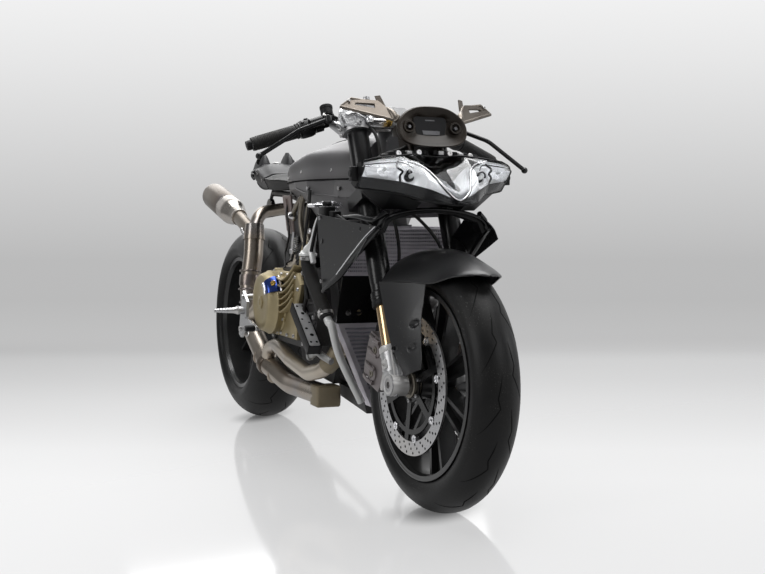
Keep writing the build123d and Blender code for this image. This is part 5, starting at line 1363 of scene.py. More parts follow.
@dataclass
class BarEnds:
    """Ribbed grips, switch blocks with buttons, reservoirs and brake hoses."""

    inner: tuple[float, float, float] = (-24.0, 148.0, 1031.0)
    outer: tuple[float, float, float] = (-84.0, 352.0, 979.0)

    def on_bar(self, side: int, share: float) -> Array:
        """A point on the bar's centre line."""
        a, b = (np.array(p) * (1, side, 1) for p in (self.inner, self.outer))
        return a + (b - a) * share

    def along(self, side: int, start: float, profile: Profile, segments: int = 32) -> Mesh:
        """A shape turned about the bar from a share of its length."""
        return turned(self.on_bar(side, start), self.on_bar(side, 1) - self.on_bar(side, 0), profile, segments)

    def build(self) -> None:
        """Dress both bar ends."""
        rubber, black, metal, buttons = [], [], [], []
        for side in (-1, 1):
            ribs: list[tuple[float, float]] = [(16.6, 0), (19.5, 1), (19.5, 5), (17.2, 6.5)]
            for k in range(22):
                a = 10 + k * 4.6
                ribs += [(17.9, a), (17.9, a + 2.3), (17.2, a + 3.0), (17.2, a + 4.2)]
            rubber.append(self.along(side, 0.425, ribs + [(17.6, 118), (17.0, 120)]))
            black.append(self.along(side, 0.055, ((10.6, 0), (12.2, 1), (12.2, 44), (10.6, 45))))
            black.append(self.along(side, 0.25, ((19, 0), (22, 2), (23, 8), (23, 26), (22, 32), (19, 34))))
            black.append(self.along(side, 0.992, ((9, 0), (12.5, 1), (12.8, 6), (11.6, 12), (8, 13), (0, 13))))
            bar = unit(self.on_bar(side, 1) - self.on_bar(side, 0))
            for share, up, size in ((0.30, (0.5, 0, 1), 5.5), (0.36, (0.9, 0, 0.5), 4.5), (0.33, (-0.3, 0, 1), 4.0)):
                out = unit(np.array(up) - bar * np.dot(up, bar))
                buttons.append(turned(self.on_bar(side, share) + out * 21.5, out,
                                      ((size, 0), (size, 3.4), (size * 0.8, 4.4), (0, 4.4)), 18))
            x, y, z = self.on_bar(side, 0.16)
            metal.append(bolt((x + 47, y + side * 6, z + 2), (1, 0, 0.2), 4, 4))
            black.append(turned((x + 40, y - side * 6, z + 4), (0, 0, 1),
                                ((14, 2), (15.6, 4), (15.6, 18), (16.6, 19.5), (16.6, 26), (15.4, 27.5), (6, 28),
                                 (0, 28)), 36))
            metal.append(turned((33, side * 186, 1002), (0, 0, 1),
                                ((6, 8), (6, 10.5), (4.6, 11.4), (2.6, 11.4), (2.4, 9.6), (0, 9.6)), 18))
        emit("grip_ribs", rubber, Skin.RUBBER, on=STEERING)
        emit("bar_fittings", black, Skin.PLASTIC, on=STEERING)
        emit("bar_screws", metal, Skin.STEEL, on=STEERING)
        emit("switch_buttons", buttons, Skin.SATIN_BLACK, on=STEERING)
        hoses = []
        for side in (-1, 1):
            x, y, z = self.on_bar(side, 0.16)
            hoses.append(tube([(x + 40, y - side * 22, z + 4), (x + 44, y - side * 50, z - 10), (66, side * 84, 960),
                               (62, side * 74, 860)], 4.2, 12, 40))
        hoses.append(tube([(62, -74, 860), (60, -66, 760), (52, -60, 640), (-20, -62, 520),
                           (-84, -68, 470)], 4.2, 12, 48))
        hoses.append(tube([(60, -66, 760), (58, 0, 735), (52, 60, 640), (-20, 62, 520), (-84, 68, 470)], 4.2, 12, 60))
        emit("brake_hoses", hoses, Skin.RUBBER, on=STEERING)


# ------------------------------------------------------------------ headlight
@dataclass
class Headlight:
    """Clear lens over a chromed reflector with a faint painted glow and two bowls a side, round a sunk frosted V whose
    dark core is painted shade.
    """

    # columns: y, top x z, nose x z, low x z, measured from where the steering axis meets the ground
    stations: Rows = ((0, -143, 833, 2, 741, -14, 719), (30, -140, 834, -10, 756, -8, 721),
                      (60, -120, 836, -30, 776, -28, 725),
                      (112, -100, 830, -68, 790, -98, 746), (160, -104, 824, -86, 796, -140, 753),
                      (193, -126, 815, -121, 800, -166, 758))
    v_edge: Rows = ((0, 0.80), (14, 0.78), (30, 0.69), (44, 0.54), (58, 0.40), (80, 0.25), (104, 0.16), (118, 0.02))
    # columns: y, share down the face, half width, half height, depth
    bowls: Rows = ((88, 0.60, 23, 0.24, 34), (146, 0.50, 40, 0.36, 26))
    chin: float = 0.84

    def face(self, rows: int = 61, cols: int = 193, half: float = 192.0) -> Axes:
        """The lamp's front: Catmull-Rom through top, middle, nose and low points, over y.

        Args:
            rows: samples from top to bottom.
            cols: samples across.
            half: half width.

        Returns:
            Points (rows, cols, 3), y of each column and share of each row.
        """
        table = np.array(self.stations)
        y = np.linspace(-half, half, cols)
        knots = np.abs(table[:, 0])
        smooth = np.array([np.interp(np.abs(y), knots, table[:, k]) for k in range(1, 7)])
        kernel = np.ones(9) / 9
        smooth = np.array([np.convolve(np.pad(v, 4, "edge"), kernel, "valid") for v in smooth])
        top, nose, low = (np.stack([HEAD_X + smooth[2 * k], y, smooth[2 * k + 1]], 1) for k in range(3))
        middle = (top + nose) / 2 + (nose - top)[:, [2, 1, 0]] * (-0.045, 0, 0.045)
        control = np.stack([top, middle, nose, low])
        path = np.stack([smooth_path(control[:, j], rows) for j in range(cols)], 1)
        return path, y, np.linspace(0, 1, rows)

    def v_mask(self, y: Array, t: Array) -> Array:
        """One inside the V and zero outside, from the V's edge as a share down the face at each y."""
        edge = np.interp(np.abs(y), *np.array(self.v_edge).T, right=-0.1)
        return np.clip((edge[None] - t[:, None]) / 0.035, 0, 1)

    def pushed(self, depth: Array, surface: Array) -> Array:
        """The surface moved back and a little down by depth."""
        return surface + depth[..., None] * np.array([-0.94, 0, -0.28])

    def part(self, surface: Array, keep: Array, thickness: float) -> Mesh:
        """A closed shell of the grid's quads where keep is true, with its rim walled."""
        rows, cols = surface.shape[:2]
        n = grid_normals(surface)
        n = n * np.sign(n[rows // 2, cols // 2, 0] or 1)
        used = keep[:-1, :-1] & keep[1:, :-1] & keep[:-1, 1:] & keep[1:, 1:]
        points = np.concatenate([surface.reshape(-1, 3), (surface - n * thickness).reshape(-1, 3)])
        r, c = np.nonzero(used)
        a = r * cols + c
        quads = np.stack([a, a + 1, a + cols + 1, a + cols], 1)
        edges = np.concatenate([quads[:, [k, (k + 1) % 4]] for k in range(4)])
        key = edges.min(1) * (rows * cols) + edges.max(1)
        _, index, count = np.unique(key, return_index=True, return_counts=True)
        rim = edges[index[count == 1]]
        shift = rows * cols
        faces = np.concatenate([quads, quads[:, ::-1] + shift,
                                np.stack([rim[:, 1], rim[:, 0], rim[:, 0] + shift, rim[:, 1] + shift], 1)])
        alive, faces = np.unique(faces, return_inverse=True)
        return (points[alive], faces.reshape(-1, 4).tolist())

    def reflector(self) -> None:
        """Chrome: shallow land, fluted bowls and a stepped upper band outside the V."""
        surface, y, t = self.face()
        land = 7.0 + 2.0 * np.sin(t[:, None] * 9) * (np.abs(y)[None] > 60)
        depth = np.broadcast_to(land, surface.shape[:2]).copy()
        for by, bt, wide, high, deep in self.bowls:
            far = np.abs((np.abs(y)[None] - by) / wide) ** 3.2 + np.abs((t[:, None] - bt) / high) ** 3.2
            flute = 0.9 * np.abs(np.sin(y[None] * 0.42)) * np.clip(1 - far, 0, 1) ** 0.5
            depth = np.maximum(depth, land + deep * np.clip(1 - far, 0, 1) ** 0.62 + flute)
        keep = (self.v_mask(y, t) < 0.5) & (t[:, None] > 0.035) & (t[:, None] < self.chin) & (np.abs(y)[None] < 187)
        # the chrome finish glows a little: painted light on the reflector
        emit("lamp_reflector", [self.part(self.pushed(depth, surface), keep, 1.2)], Skin.CHROME, 26)

    def valley(self) -> None:
        """The V: a frosted plate that sinks towards the middle at its top, with a dark core and a round dark port laid
        over it as painted shade of the recess.
        """
        surface, y, t = self.face()
        edge = np.interp(np.abs(y), *np.array(self.v_edge).T, right=-0.1)
        inside = np.clip((edge[None] - t[:, None]) / np.maximum(edge[None], 0.05), 0, 1)
        ramp = np.clip(1 - np.abs(y)[None] / 104, 0, 1)
        upper = np.clip((0.62 - t[:, None]) / 0.62, 0, 1)
        depth = 4.0 + 84.0 * np.minimum(ramp * upper, inside * 1.2) ** 1.15
        port = np.hypot(y[None] / 9.5, (t[:, None] - 0.52) / 0.085)
        depth = depth + 16 * (port < 1)
        chin = np.broadcast_to(t[:, None] > self.chin - 0.03, depth.shape)
        emit("lamp_chin", [self.part(self.pushed(np.full(depth.shape, 3.0), surface), chin, 1.2)], Skin.GLOSS_BLACK, 30)
        plate = self.part(self.pushed(depth, surface), (self.v_mask(y, t) > 0.3) & ~chin, 1.5)
        emit("lamp_valley", [plate], Skin.FROST, 30)
        core = (self.v_mask(y, t) > 0.5) & (t[:, None] < 0.40 * np.clip(1.15 - np.abs(y)[None] / 118, 0, 1)
                                            + 0.04) & (np.abs(y)[None] < 96)
        # painted shade: a dark sheet just in front of the sunk plate
        emit("lamp_core", [self.part(self.pushed(depth - 1.6, surface), core, 1.2)], Skin.CUT, 30)
        hole = np.broadcast_to(port < 1.05, core.shape)
        slot = (np.abs(y)[None] < 9) & (t[:, None] > 0.30) & (t[:, None] < 0.40)
        # painted shade in the port and the slot
        emit("lamp_port", [self.part(self.pushed(depth - 1.0, surface), hole, 1.0),
                           self.part(self.pushed(depth - 1.2, surface), slot, 1.0)], Skin.CUT, 30)

    def trims(self) -> None:
        """Pale ridge along the V's edge, the dark gasket under it and the rim of the lens."""
        surface, y, t = self.face(121, 385)
        knots = np.array(self.v_edge)
        ys = np.linspace(-116, 116, 161)
        ts = np.interp(np.abs(ys), knots[:, 0], knots[:, 1])
        kernel = np.ones(7) / 7
        ts = np.convolve(np.pad(ts, 3, "edge"), kernel, "valid")

        def on_face(yy: Array, tt: Array, deep: float) -> Array:
            """Points of the face at given y and share, moved back by deep."""
            i = np.interp(tt, t, np.arange(len(t)))
            j = np.interp(yy, y, np.arange(len(y)))
            i0, j0 = np.clip(i.astype(int), 0, len(t) - 2), np.clip(j.astype(int), 0, len(y) - 2)
            fi, fj = (i - i0)[:, None], (j - j0)[:, None]
            p = surface[i0, j0] * (1 - fi) * (1 - fj) + surface[i0 + 1, j0] * fi * (1 - fj) \
                + surface[i0, j0 + 1] * (1 - fi) * fj + surface[i0 + 1, j0 + 1] * fi * fj
            return p + deep * np.array([-0.94, 0, -0.28])

        emit("lamp_ridge", [tube(on_face(ys, ts, 3.5), 1.9, 10)], Skin.BRIGHT, 60)
        inner = [tube(on_face(ys[16:-16], ts[16:-16] + 0.035, 5.0), 1.7, 8)]
        for side in (-1, 1):
            yy = np.array([196, 160, 112, 96, 84]) * side
            inner.append(tube(smooth_path(on_face(yy.astype(float), np.array([0.30, 0.27, 0.24, 0.30, 0.44]),
                                                  7.0), 30), 1.3, 8))
        emit("lamp_gasket", inner, Skin.PLASTIC, 60)
        rim = []
        for row in (0, -1):
            rim.append(tube(surface[row, 6:-6] + np.array([-1.5, 0, 0.8 if row == 0 else -0.6]), 2.2, 8))
        for col in (3, -4):
            rim.append(tube(surface[:, col] + np.array([-2.5, 0, 0]), 2.4, 8))
        emit("lamp_rim", rim, Skin.PLASTIC, 60)

    def bulbs(self) -> None:
        """A shaded bulb and a bracket in the inner bowl, and a wedge lamp in the outer one."""
        surface, y, t = self.face()
        dark, bright, glass = [], [], []
        for side in (-1, 1):
            for (by, bt, *_), scale in zip(self.bowls, (1.0, 0.75)):
                j = int(np.argmin(np.abs(y - side * by)))
                i = int(round(bt * (len(t) - 1)))
                at = surface[i, j] + np.array([-34.0 * scale - 4, 0, -9])
                if scale == 1.0:
                    dark.append(turned(at, (1, 0, 0.25), ((11, -8), (11, 6), (9, 9), (3, 10), (0, 10)), 20))
                    dark.append(tube([at + (8, -side * 4, 12), at + (14, side * 5, 16), at + (16, side * 11, 11),
                                      at + (12, side * 13, 3)], 2.1, 10, 20))
                glass.append(turned(at, (1, 0, 0.25),
                                    ((5.5 * scale, 8), (5.5 * scale, 18), (4 * scale, 22), (0, 23.5)), 16))
                bright.append(turned(at, (1, 0, 0.25), ((15 * scale, -4), (18 * scale, 2), (18.6 * scale, 3),
                                                        (16 * scale, 3.4), (13 * scale, -2)), 28))
            j = int(np.argmin(np.abs(y - side * 112)))
            spine = surface[12:54:6, j] + np.array([-9, 0, -2])
            spine[:, 1] += side * np.array([0, 5, 9, 5, -2, 4, 0])[:len(spine)]
            dark.append(tube(spine, 2.6, 10, 40))
        emit("lamp_shades", dark, Skin.PLASTIC, 40)
        # painted glow on the bulb rings from the chrome finish
        emit("lamp_bulb_rings", bright, Skin.CHROME, 40)
        emit("lamp_bulbs", glass, Skin.LAMP, 40)

    def shell(self) -> None:
        """The clear lens and the black case behind the reflector."""
        surface, y, _ = self.face()
        lens = emit("lamp_lens", [sheet(surface, 2.2)], Skin.GLASS, 50)
        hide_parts("headlight_lens")
        front = self.pushed(np.full(surface.shape[:2], 3.0), surface)
        back = front.copy()
        depth_at = np.clip(1 - (np.abs(y) / 192) ** 3, 0, 1)[None]
        back[..., 0] = np.minimum(HEAD_X - 150 - 42 * depth_at, front[..., 0] - 60 * (0.4 + 0.6 * depth_at))
        mid = (front[0, :, 2] + front[-1, :, 2])[None] / 2
        back[..., 2] = mid + (front[..., 2] - mid) * np.where(front[..., 2] < mid, 0.62, 0.86)
        top = np.stack([front[0], back[0] * 0.5 + front[0] * 0.5 + np.array([0, 0, 1.0]), back[0]])
        low = np.stack([front[-1], back[-1] * 0.5 + front[-1] * 0.5, back[-1]])
        ends = [np.stack([front[:, k], (front[:, k] + back[:, k]) / 2, back[:, k]]) for k in (0, -1)]
        meshes = [sheet(part, 1.6) for part in (top, low, back, *ends)]
        for side in (-1, 1):
            meshes.append(rounded_box((HEAD_X - 170, side * 186, 772), (HEAD_X - 146, side * 206, 806), 3))
            meshes.append(turned((HEAD_X - 158, side * 202, 790), (0, side, 0), ((9, 0), (9, 5), (7, 7), (0, 7)), 20))
        case = emit("lamp_case", meshes, Skin.PLASTIC, 35)
        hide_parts("headlight_housing")

    def build(self) -> None:
        """Build the lamp."""
        self.shell()
        self.reflector()
        self.valley()
        self.trims()
        self.bulbs()


# ------------------------------------------------------------------ front bracket
@dataclass
class FrontBracket:
    """Smooth cast ring round the display, with its bosses, clips, side cover and harness."""

    edge: Rows = (
        (0, 955), (31, 953), (54, 946), (75, 932), (88, 914), (91, 897), (86, 878), (71, 865), (46, 858), (0, 855.5))
    middle: float = 903.0
    x: float = HEAD_X - 156
    tilt: float = 0.25

    def loop(self, inset: float, back: float, square: float = 0.0) -> Array:
        """The face's outline shrunk by inset towards its middle and moved back; square pulls it to the window."""
        half = np.array(self.edge)
        y = np.concatenate([half[:, 0], -half[-2:0:-1, 0]])
        z = np.concatenate([half[:, 1], half[-2:0:-1, 1]])
        ring = np.stack([y * (1 - inset), (z - self.middle) * (1 - inset)], 1)
        if square > 0:
            angle = np.arctan2(ring[:, 1] / 24.0, ring[:, 0] / 42.0)
            scale = 1 / np.maximum(np.abs(np.cos(angle)), np.abs(np.sin(angle)))
            boxed = np.stack([42.0 * np.cos(angle) * (1 + 0.13 * np.sin(angle)), 22.0 * np.sin(angle) + 4], 1)
            ring = ring * (1 - square) + boxed * np.minimum(scale, 1.3)[:, None] * square
        return np.stack([self.x - ring[:, 1] * self.tilt - back, ring[:, 0], self.middle + ring[:, 1]], 1)

    def build(self) -> None:
        """Ring, strut, display, bosses, clips and cover."""
        rings = np.stack([self.loop(0.30, 46), self.loop(0.12, 30), self.loop(0.02, 10), self.loop(0.005, 2),
                          self.loop(0.04, -3),
                          self.loop(0.13, -1), self.loop(0.2, 4, 0.3), self.loop(0.3, 12, 0.95),
                          self.loop(0.3, 15, 1.0), self.loop(0.3, 40, 1.0)])
        rings = closed_curve(rings, 120)
        flesh = np.stack([smooth_path(rings[:, k], 46) for k in range(120)], 1)
        points, faces = grid(flesh, caps=False)
        n, m = flesh.shape[:2]
        faces += [[j, (j + 1) % m, (n - 1) * m + (j + 1) % m, (n - 1) * m + j] for j in range(m)]
        bosses, neck = [], []
        for side in (-1, 1):
            bosses.append(turned((self.x - 4, side * 60, 903), (1, 0, 0.2),
                                 ((15, -22), (15, 4), (13.6, 6), (10.6, 6), (9.6, 4), (9.6, -3), (0, -3)), 36))
            neck.append(tube([(self.x - 40, side * 40, 866), (self.x - 34, side * 38, 850),
                              (self.x - 26, side * 34, 832.6)], 7.5, 14, 12))
        body = emit("bracket_ring", [(points, faces), *bosses, *neck], Skin.BRONZE, 40)
        strut = [rounded_box((33.4, -26, 872), (136, 26, 924), 8, 4),
                 rounded_box((104, -47, 868), (178, 47, 948), 9, 4)]
        arms = emit("bracket_strut", strut, Skin.BRONZE, 40, on=Carrier(STRAIGHT, Body.CHASSIS))
        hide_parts("front_bracket")
        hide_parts("front_bracket")
        lean = (np.array([0, 1.0, 0]), unit((-self.tilt, 0, 1)), unit((1, 0, self.tilt)))
        window = [(-35, -23), (35, -23), (44, 12), (43, 23), (37, 28), (-37, 28), (-43, 23), (-44, 12)]
        at = (self.x - 12, 0, self.middle)
        emit("display_face", [profile_slab(window, -8, 0, lean, at, 1.0)], Skin.DISPLAY, 40)
        panel = [profile_slab([(-20, -17), (22, -17), (24, -7), (-22, -7)], 0, 0.6, lean, at, 0.2),
                 profile_slab([(-12, 17), (12, 17), (12, 20), (-12, 20)], 0, 0.6, lean, at, 0.2)]
        emit("display_bars", panel, Skin.CASE_DARK, 40)
        pins = [turned((self.x + 3, side * 60, 903.4), (1, 0, 0.2), ((5, -6), (5, -1), (4, 0.4), (0, 0.4)), 6)
                for side in (-1, 1)]
        pins += [bolt((self.x - 7, y, z), (1, 0, 0.25), 3.2, 2.5) for y, z in ((-40, 864), (40, 864), (0, 860))]
        emit("bracket_pins", pins, Skin.CASE_DARK)
        self.clips()
        self.cover()

    def clips(self) -> None:
        """The row of black clips, sockets and bright studs between the bracket and the lamp."""
        dark, bright, pale = [], [], []
        for y, wide in ((-104, 12), (-78, 8), (-52, 12), (-24, 9), (4, 12), (30, 8), (56, 12), (84, 9), (110, 12)):
            z = 843.5 - 0.0006 * y * y
            dark.append(rounded_box((HEAD_X - 168, y - wide / 2, z - 5), (HEAD_X - 146, y + wide / 2, z + 6), 2.5))
            dark.append(turned((HEAD_X - 157, y + wide * 0.5 + 5, z - 2), (0, 0, 1),
                               ((5, -4), (5, 4), (4, 6), (0, 6)), 16))
        for y in (-90, -38, 42, 97):
            z = 842.0 - 0.0006 * y * y
            bright.append(turned((HEAD_X - 148, y, z + 2), (1, 0, 0.15),
                                 ((7, -6), (7, 1.5), (6, 2.6), (3, 2.6), (2.6, 0.8), (0, 0.8)), 20))
        for y in (-64, 18, 70):
            z = 843.0 - 0.0006 * y * y
            pale.append(rounded_box((HEAD_X - 156, y - 7, z - 4), (HEAD_X - 143, y + 7, z + 5), 2))
        rail = tube(nose((165, -128, 833), (162, -70, 838.5), (164, 0, 840), (162, 70, 838.5),
                         (165, 128, 833)), 4.2, 12, 60)
        emit("lamp_clips", [*dark, rail], Skin.PLASTIC, 40)
        emit("lamp_studs", bright, Skin.STEEL)
        emit("lamp_tabs", pale, Skin.ALLOY, 40)

    def cover(self) -> None:
        """The polished housing beside the bracket and the harness round the headstock, clear of the legs."""
        out = (0.86, -0.42, 0.28)
        w = unit(out)
        corner = [(-22, 18), (-14, 25), (15, 23), (24, 11), (23, -11), (13, -20), (-14, -21), (-23, -10)]
        at = np.array([HEAD_X - 259, -50, 860], float)
        up = unit(np.array([0, 0, 1.0]) - w * w[2])
        side_ = np.cross(up, w)
        face = [profile_slab(corner, -14, 2, (side_, up, w), at, 3),
                profile_slab([(0.74 * a_, 0.74 * b_) for a_, b_ in corner], 0, 11, (side_, up, w), at, 5)]
        lugs = [tube(nose((256, -62, 842), (238, -74, 832), (212, -78, 837)), (7, 7, 6), 14, 18),
                turned(at + side_ * 25 - up * 15, out,
                       ((9, -14), (9, 5), (7, 6.5), (4, 6.5), (3.4, 3), (0, 3)), 24)]
        emit("cover_casting", face + lugs, Skin.CASE_DARK, 30)
        heads = [bolt(at + side_ * a_ * 0.86 + up * b_ * 0.86 + w * 1.6, w, 3.6, 3) for a_, b_ in corner[::2]]
        emit("cover_screws_front", heads, Skin.STEEL)
        loom = []
        for side, across, inside, deep in ((-1, 24, -12, -8), (1, 70, 44, 34)):
            loom.append(tube(nose((210, side * 52, 884), (228, side * across, 872), (262, inside, 815),
                                  (300, deep, 780), (372, side * 56, 752)), 6.0, 12, 50))
            loom.append(tube(nose((205, side * 30, 868), (214, side * 58, 852), (232, side * 96, 838),
                                  (230, side * 128, 812)), 4.4, 12, 40))
        emit("harness", loom, Skin.RUBBER)


@dataclass
class MirrorStays:
    """Thin slotted stays, the upright fin beside each root and a pale casting that holds them."""

    edge: Rows = ((-176, 86, 918), (-246, 200, 950), (-246, 172, 971), (-226, 112, 962), (-192, 90, 938))
    slot: Rows = ((-214, 124, 944), (-236, 168, 954), (-236, 164, 961), (-222, 122, 955))

    def build(self) -> None:
        """Edge beads, slot rims, fins, root castings and screws on both sides."""
        beads, pads, screws, dark = [], [], [], []
        for side in (-1, 1):
            for ring, radius in ((self.edge, 3.4), (self.slot, 1.2)):
                p = np.array([(HEAD_X + x, side * y, z) for x, y, z in ring])
                loop_ = np.concatenate([np.linspace(p[k], p[(k + 1) % len(p)], 12, endpoint=False)
                                        for k in range(len(p))] + [p[:1]])
                beads.append(tube(loop_, radius, 10))
            fin = np.array([(HEAD_X + x, side * y, z) for x, y,
                            z in ((-206, 96, 946), (-232, 104, 980), (-238, 116, 978), (-226, 112, 955))])
            u = unit(fin[1] - fin[0])
            w = unit(np.cross(u, fin[2] - fin[1]))
            v = np.cross(w, u)
            flat = [((q - fin[0]) @ u, (q - fin[0]) @ v) for q in fin]
            beads.append(profile_slab(flat, -2.2, 2.2, (u, v, w), fin[0], 0.6))
            pads.append(tube(nose((172, side * 70, 914), (180, side * 84, 922), (190, side * 90, 936),
                                  (204, side * 98, 948)), (6, 9.5, 8.5, 4), 16, 24))
            pads.append(turned((HEAD_X - 178, side * 82, 922), (0.5, side * 0.8, 0.3),
                               ((10, -6), (10, 6), (8.6, 8), (5, 8), (4.4, 5), (0, 5)), 28))
            dark.append(turned((HEAD_X - 200, side * 93, 930), (0.4, side, 0.1), ((5, -3), (5, 4), (4, 5), (0, 5)), 18))
            screws.append(bolt((HEAD_X - 240, side * 180, 966), (1, 0, 0.2), 3.2, 2.6))
        emit("stay_edges", beads + pads, Skin.STAY, 50)
        emit("stay_plugs", dark, Skin.PLASTIC)
        emit("stay_screws", screws, Skin.STEEL)


# ------------------------------------------------------------------ body
def shell_ring(x: float, top: tuple[float, float], shoulder: tuple[float, float], low: tuple[float, float],
               crown: float = 4.0) -> list:
    """Closed section of a body across the bike: crowned top, rounded shoulder and side down to its low edge.

    Args:
        x: station along the bike.
        top: height and half width of the top's edge.
        shoulder: height and half width of the widest line.
        low: height and half width of the bottom edge.
        crown: rise of the top's middle over its edge.

    Returns:
        Ring of (x, y, z), the same number of points at each station.
    """
    (zt, ht), (zm, hm), (zl, hl) = top, shoulder, low
    half = [(0, zt + crown), (ht * 0.6, zt + crown * 0.7), (ht, zt), ((ht + hm) / 2, (zt * 0.52 + zm * 0.48)), (hm, zm),
            ((hm * 1.02 + hl) / 2.01, (zm + zl) / 2), (hl, zl + 3), (hl * 0.9, zl)]
    return [(x, y, z) for y, z in half] + [(x, 0, zl)] + [(x, -y, z) for y, z in half[:0:-1]]


@dataclass
class Bodywork:
    """Tank cover and tail as smooth shells, beads on the frame shell, and the seat, with seams, filler cap and screws.
    """

    def tank(self) -> None:
        """Tank cover with its knee hollows, its seam and the filler."""
        rows = ((1108, (884, 34), (850, 66), (788, 70)), (1075, (893, 42), (854, 92), (787, 98)),
                (1035, (897, 47), (856, 108), (786.5, 118)),
                (965, (897, 52), (857, 134), (786.5, 140)), (900, (894, 56), (857, 147), (786.5, 149)),
                (830, (887, 56), (847, 149), (786.5, 147)),
                (760, (877, 55), (836, 147), (786.5, 141)), (700, (864, 53), (826, 134), (786.5, 131)),
                (640, (846, 49), (816, 117), (786.5, 119)),
                (590, (824, 44), (806, 99), (786.5, 101)))
        shell = lofted([shell_ring(x, *r, crown=3.5) for x, *r in rows], 96, 90)
        node = emit("tank_shell", [shell], Skin.BODY, 45)
        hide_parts("tank")
        cap = turned((905, 0, 897), (0, 0, 1), ((47, -6), (47, 2.5), (45, 4.2), (35, 4.6), (33.5, 3), (31, 3),
                                                (29, 4.4), (10, 5.2), (0, 5.2)), 56)
        emit("filler_cap", [cap], Skin.SATIN_BLACK)
        screws = ring_of(bolt((905 + 40, 0, 900.6), (0, 0, 1), 2.6, 2.0), (905, 0, 0), 2, 6)
        screws += side_bolts(((1015, 121, 812), (852, 148.5, 812), (690, 131, 800)), 4.4, 2.4, 0.25)
        emit("tank_screws", screws, Skin.STEEL)
        seam = [tube([(x, side * (hl + 0.4), zl + 1.5) for x, _, _, (zl, hl) in rows[::-1]], 1.8, 8, 80)
                for side in (-1, 1)]
        ridge = [tube([(x, side * (ht + 1), zt + 0.6) for x, (zt, ht), *_ in rows[1:]], 1.3, 8, 80) for side in (-1, 1)]
        emit("tank_seam", seam, Skin.CUT)
        emit("tank_ridges", ridge, Skin.BODY)

    def frame_shell(self) -> None:
        """Panel beads and screws on the frame shell."""
        screws = side_bolts(((1030, 92.5, 612), (1030, 92.5, 650), (668, 92.5, 747), (1052, 113, 764),
                             (908, 149, 766)), 5.5, 3.6)
        emit("frame_screws", screws, Skin.STEEL)
        rims = [tube([(1060, side * 118, 742), (980, side * 134, 748), (900, side * 148, 752), (780, side * 142, 768)],
                     1.8, 8, 60) for side in (-1, 1)]
        emit("frame_beads", rims, Skin.BODY)

    def tail(self) -> None:
        """Tail shell, its two hollow horns and the screw heads under it."""
        rows = ((312, (827, 62), (811, 93), (777, 78)), (262, (845, 60), (826, 91), (777, 68)),
                (215, (857, 56), (838, 84), (778.5, 60)),
                (170, (863, 53), (837, 79), (781.5, 53)), (130, (867, 51), (836, 75), (787, 48)),
                (96, (864, 48), (837, 70), (796, 45)), (72, (861, 45), (838, 66), (804, 42)),
                (59, (855, 40), (838, 60), (812, 37)))
        shell = lofted([shell_ring(x, *r, crown=2.0) for x, *r in rows], 84, 84)
        horns = []
        for side in (-1, 1):
            rings = []
            for x0, x1, yi, yo, z in ((84, 178, 22, 67, 846), (90, 172, 26, 62, 868), (100, 160, 32, 55, 890),
                                      (113, 141, 38, 49, 905.5)):
                ring = [(x1, yo - 6), ((x0 + x1) / 2, yo), (x0, yo - 6), (x0, yi + 5),
                        ((x0 + x1) / 2, yi), (x1, yi + 5)]
                rings.append([(x, side * y, z) for x, y in ring])
            horns.append(lofted(rings, 40, 24))
        node = emit("tail_shell", [shell, *horns], Skin.CARBON_TAIL, 45)
        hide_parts("tail_cowl")
        # dark discs in the horns' mouths: painted shade of their hollows
        ports = [turned((150, side * 60.5, 872), (0.5, side * 0.8, 0.25),
                        ((9.5, -2), (10.5, 0), (10.5, 1.2), (8.6, 1.8), (8.4, -1), (0, -1)), 28) for side in (-1, 1)]
        emit("horn_ports", ports, Skin.CUT)
        screws = side_bolts(((285, 90, 806), (200, 80.5, 830)), 4.2, 2.2, -0.1)
        emit("tail_screws", screws, Skin.STEEL)
        button = turned((150, 0, 866), (0, 0, 1), ((12, -2), (12, 3), (10.5, 5), (6, 6), (0, 6.4)), 28)
        emit("tail_button", [button], Skin.WHITE)
        pin = [tube([(150, -66, 846), (146, -80, 834), (150, -84, 822), (160, -80, 812)], (4.5, 4.5, 4, 3.4), 12, 26),
               turned((148, -82, 826), (0, -1, -0.1), ((8, -3), (8, 3), (6, 5), (0, 5)), 20)]
        emit("tail_pin", pin, Skin.SATIN_BLACK)
        lip = [tube([(x, side * (hl + 0.8), zl + 1) for x, _, _, (zl, hl) in rows], 2.0, 8, 70) for side in (-1, 1)]
        emit("tail_lips", lip, Skin.PLASTIC)
        lamp = rounded_box((57.5, -34, 826), (66, 34, 846), 3)
        emit("tail_lamp", [lamp], Skin.RED_LENS, 40)

    def seat(self) -> None:
        """Padded seat: a crowned pad drawn in at its seams, with piping and a sewn channel."""
        rows = ((577, (800, 62), (794, 92), (775, 88)), (540, (806, 68), (797, 97), (773, 90)),
                (500, (808, 72), (800, 101), (771.5, 94)),
                (450, (809, 74), (801, 103), (770.5, 96)), (400, (813, 72), (803, 101), (772, 92)),
                (360, (819, 69), (806, 97), (774, 85)), (325, (823, 66), (809, 93), (776.5, 80)))
        rings = np.array([shell_ring(x, *r, crown=6.0) for x, *r in rows], float)
        ring = closed_curve(rings, 120)
        pad = np.stack([smooth_path(ring[:, k], 120) for k in range(120)], 1)
        top = np.clip((pad[..., 2] - 800) / 14, 0, 1)
        for at in (395.0, 455.0, 515.0):
            pad[..., 2] -= top * 3.0 * np.exp(-((pad[..., 0] - at) / 3.0) ** 2)
        pad[..., 2] += top * 1.6 * np.cos((pad[..., 0] - 425) / 60 * 2 * np.pi)
        node = emit("seat_pad", [grid(pad)], Skin.FOAM, 60)
        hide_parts("seat")
        piping = [tube([(x, side * (hm + 0.6), zm + 0.5) for x, _, (zm, hm), _ in rows], 1.8, 10, 90)
                  for side in (-1, 1)]
        emit("seat_piping", piping, Skin.RUBBER)

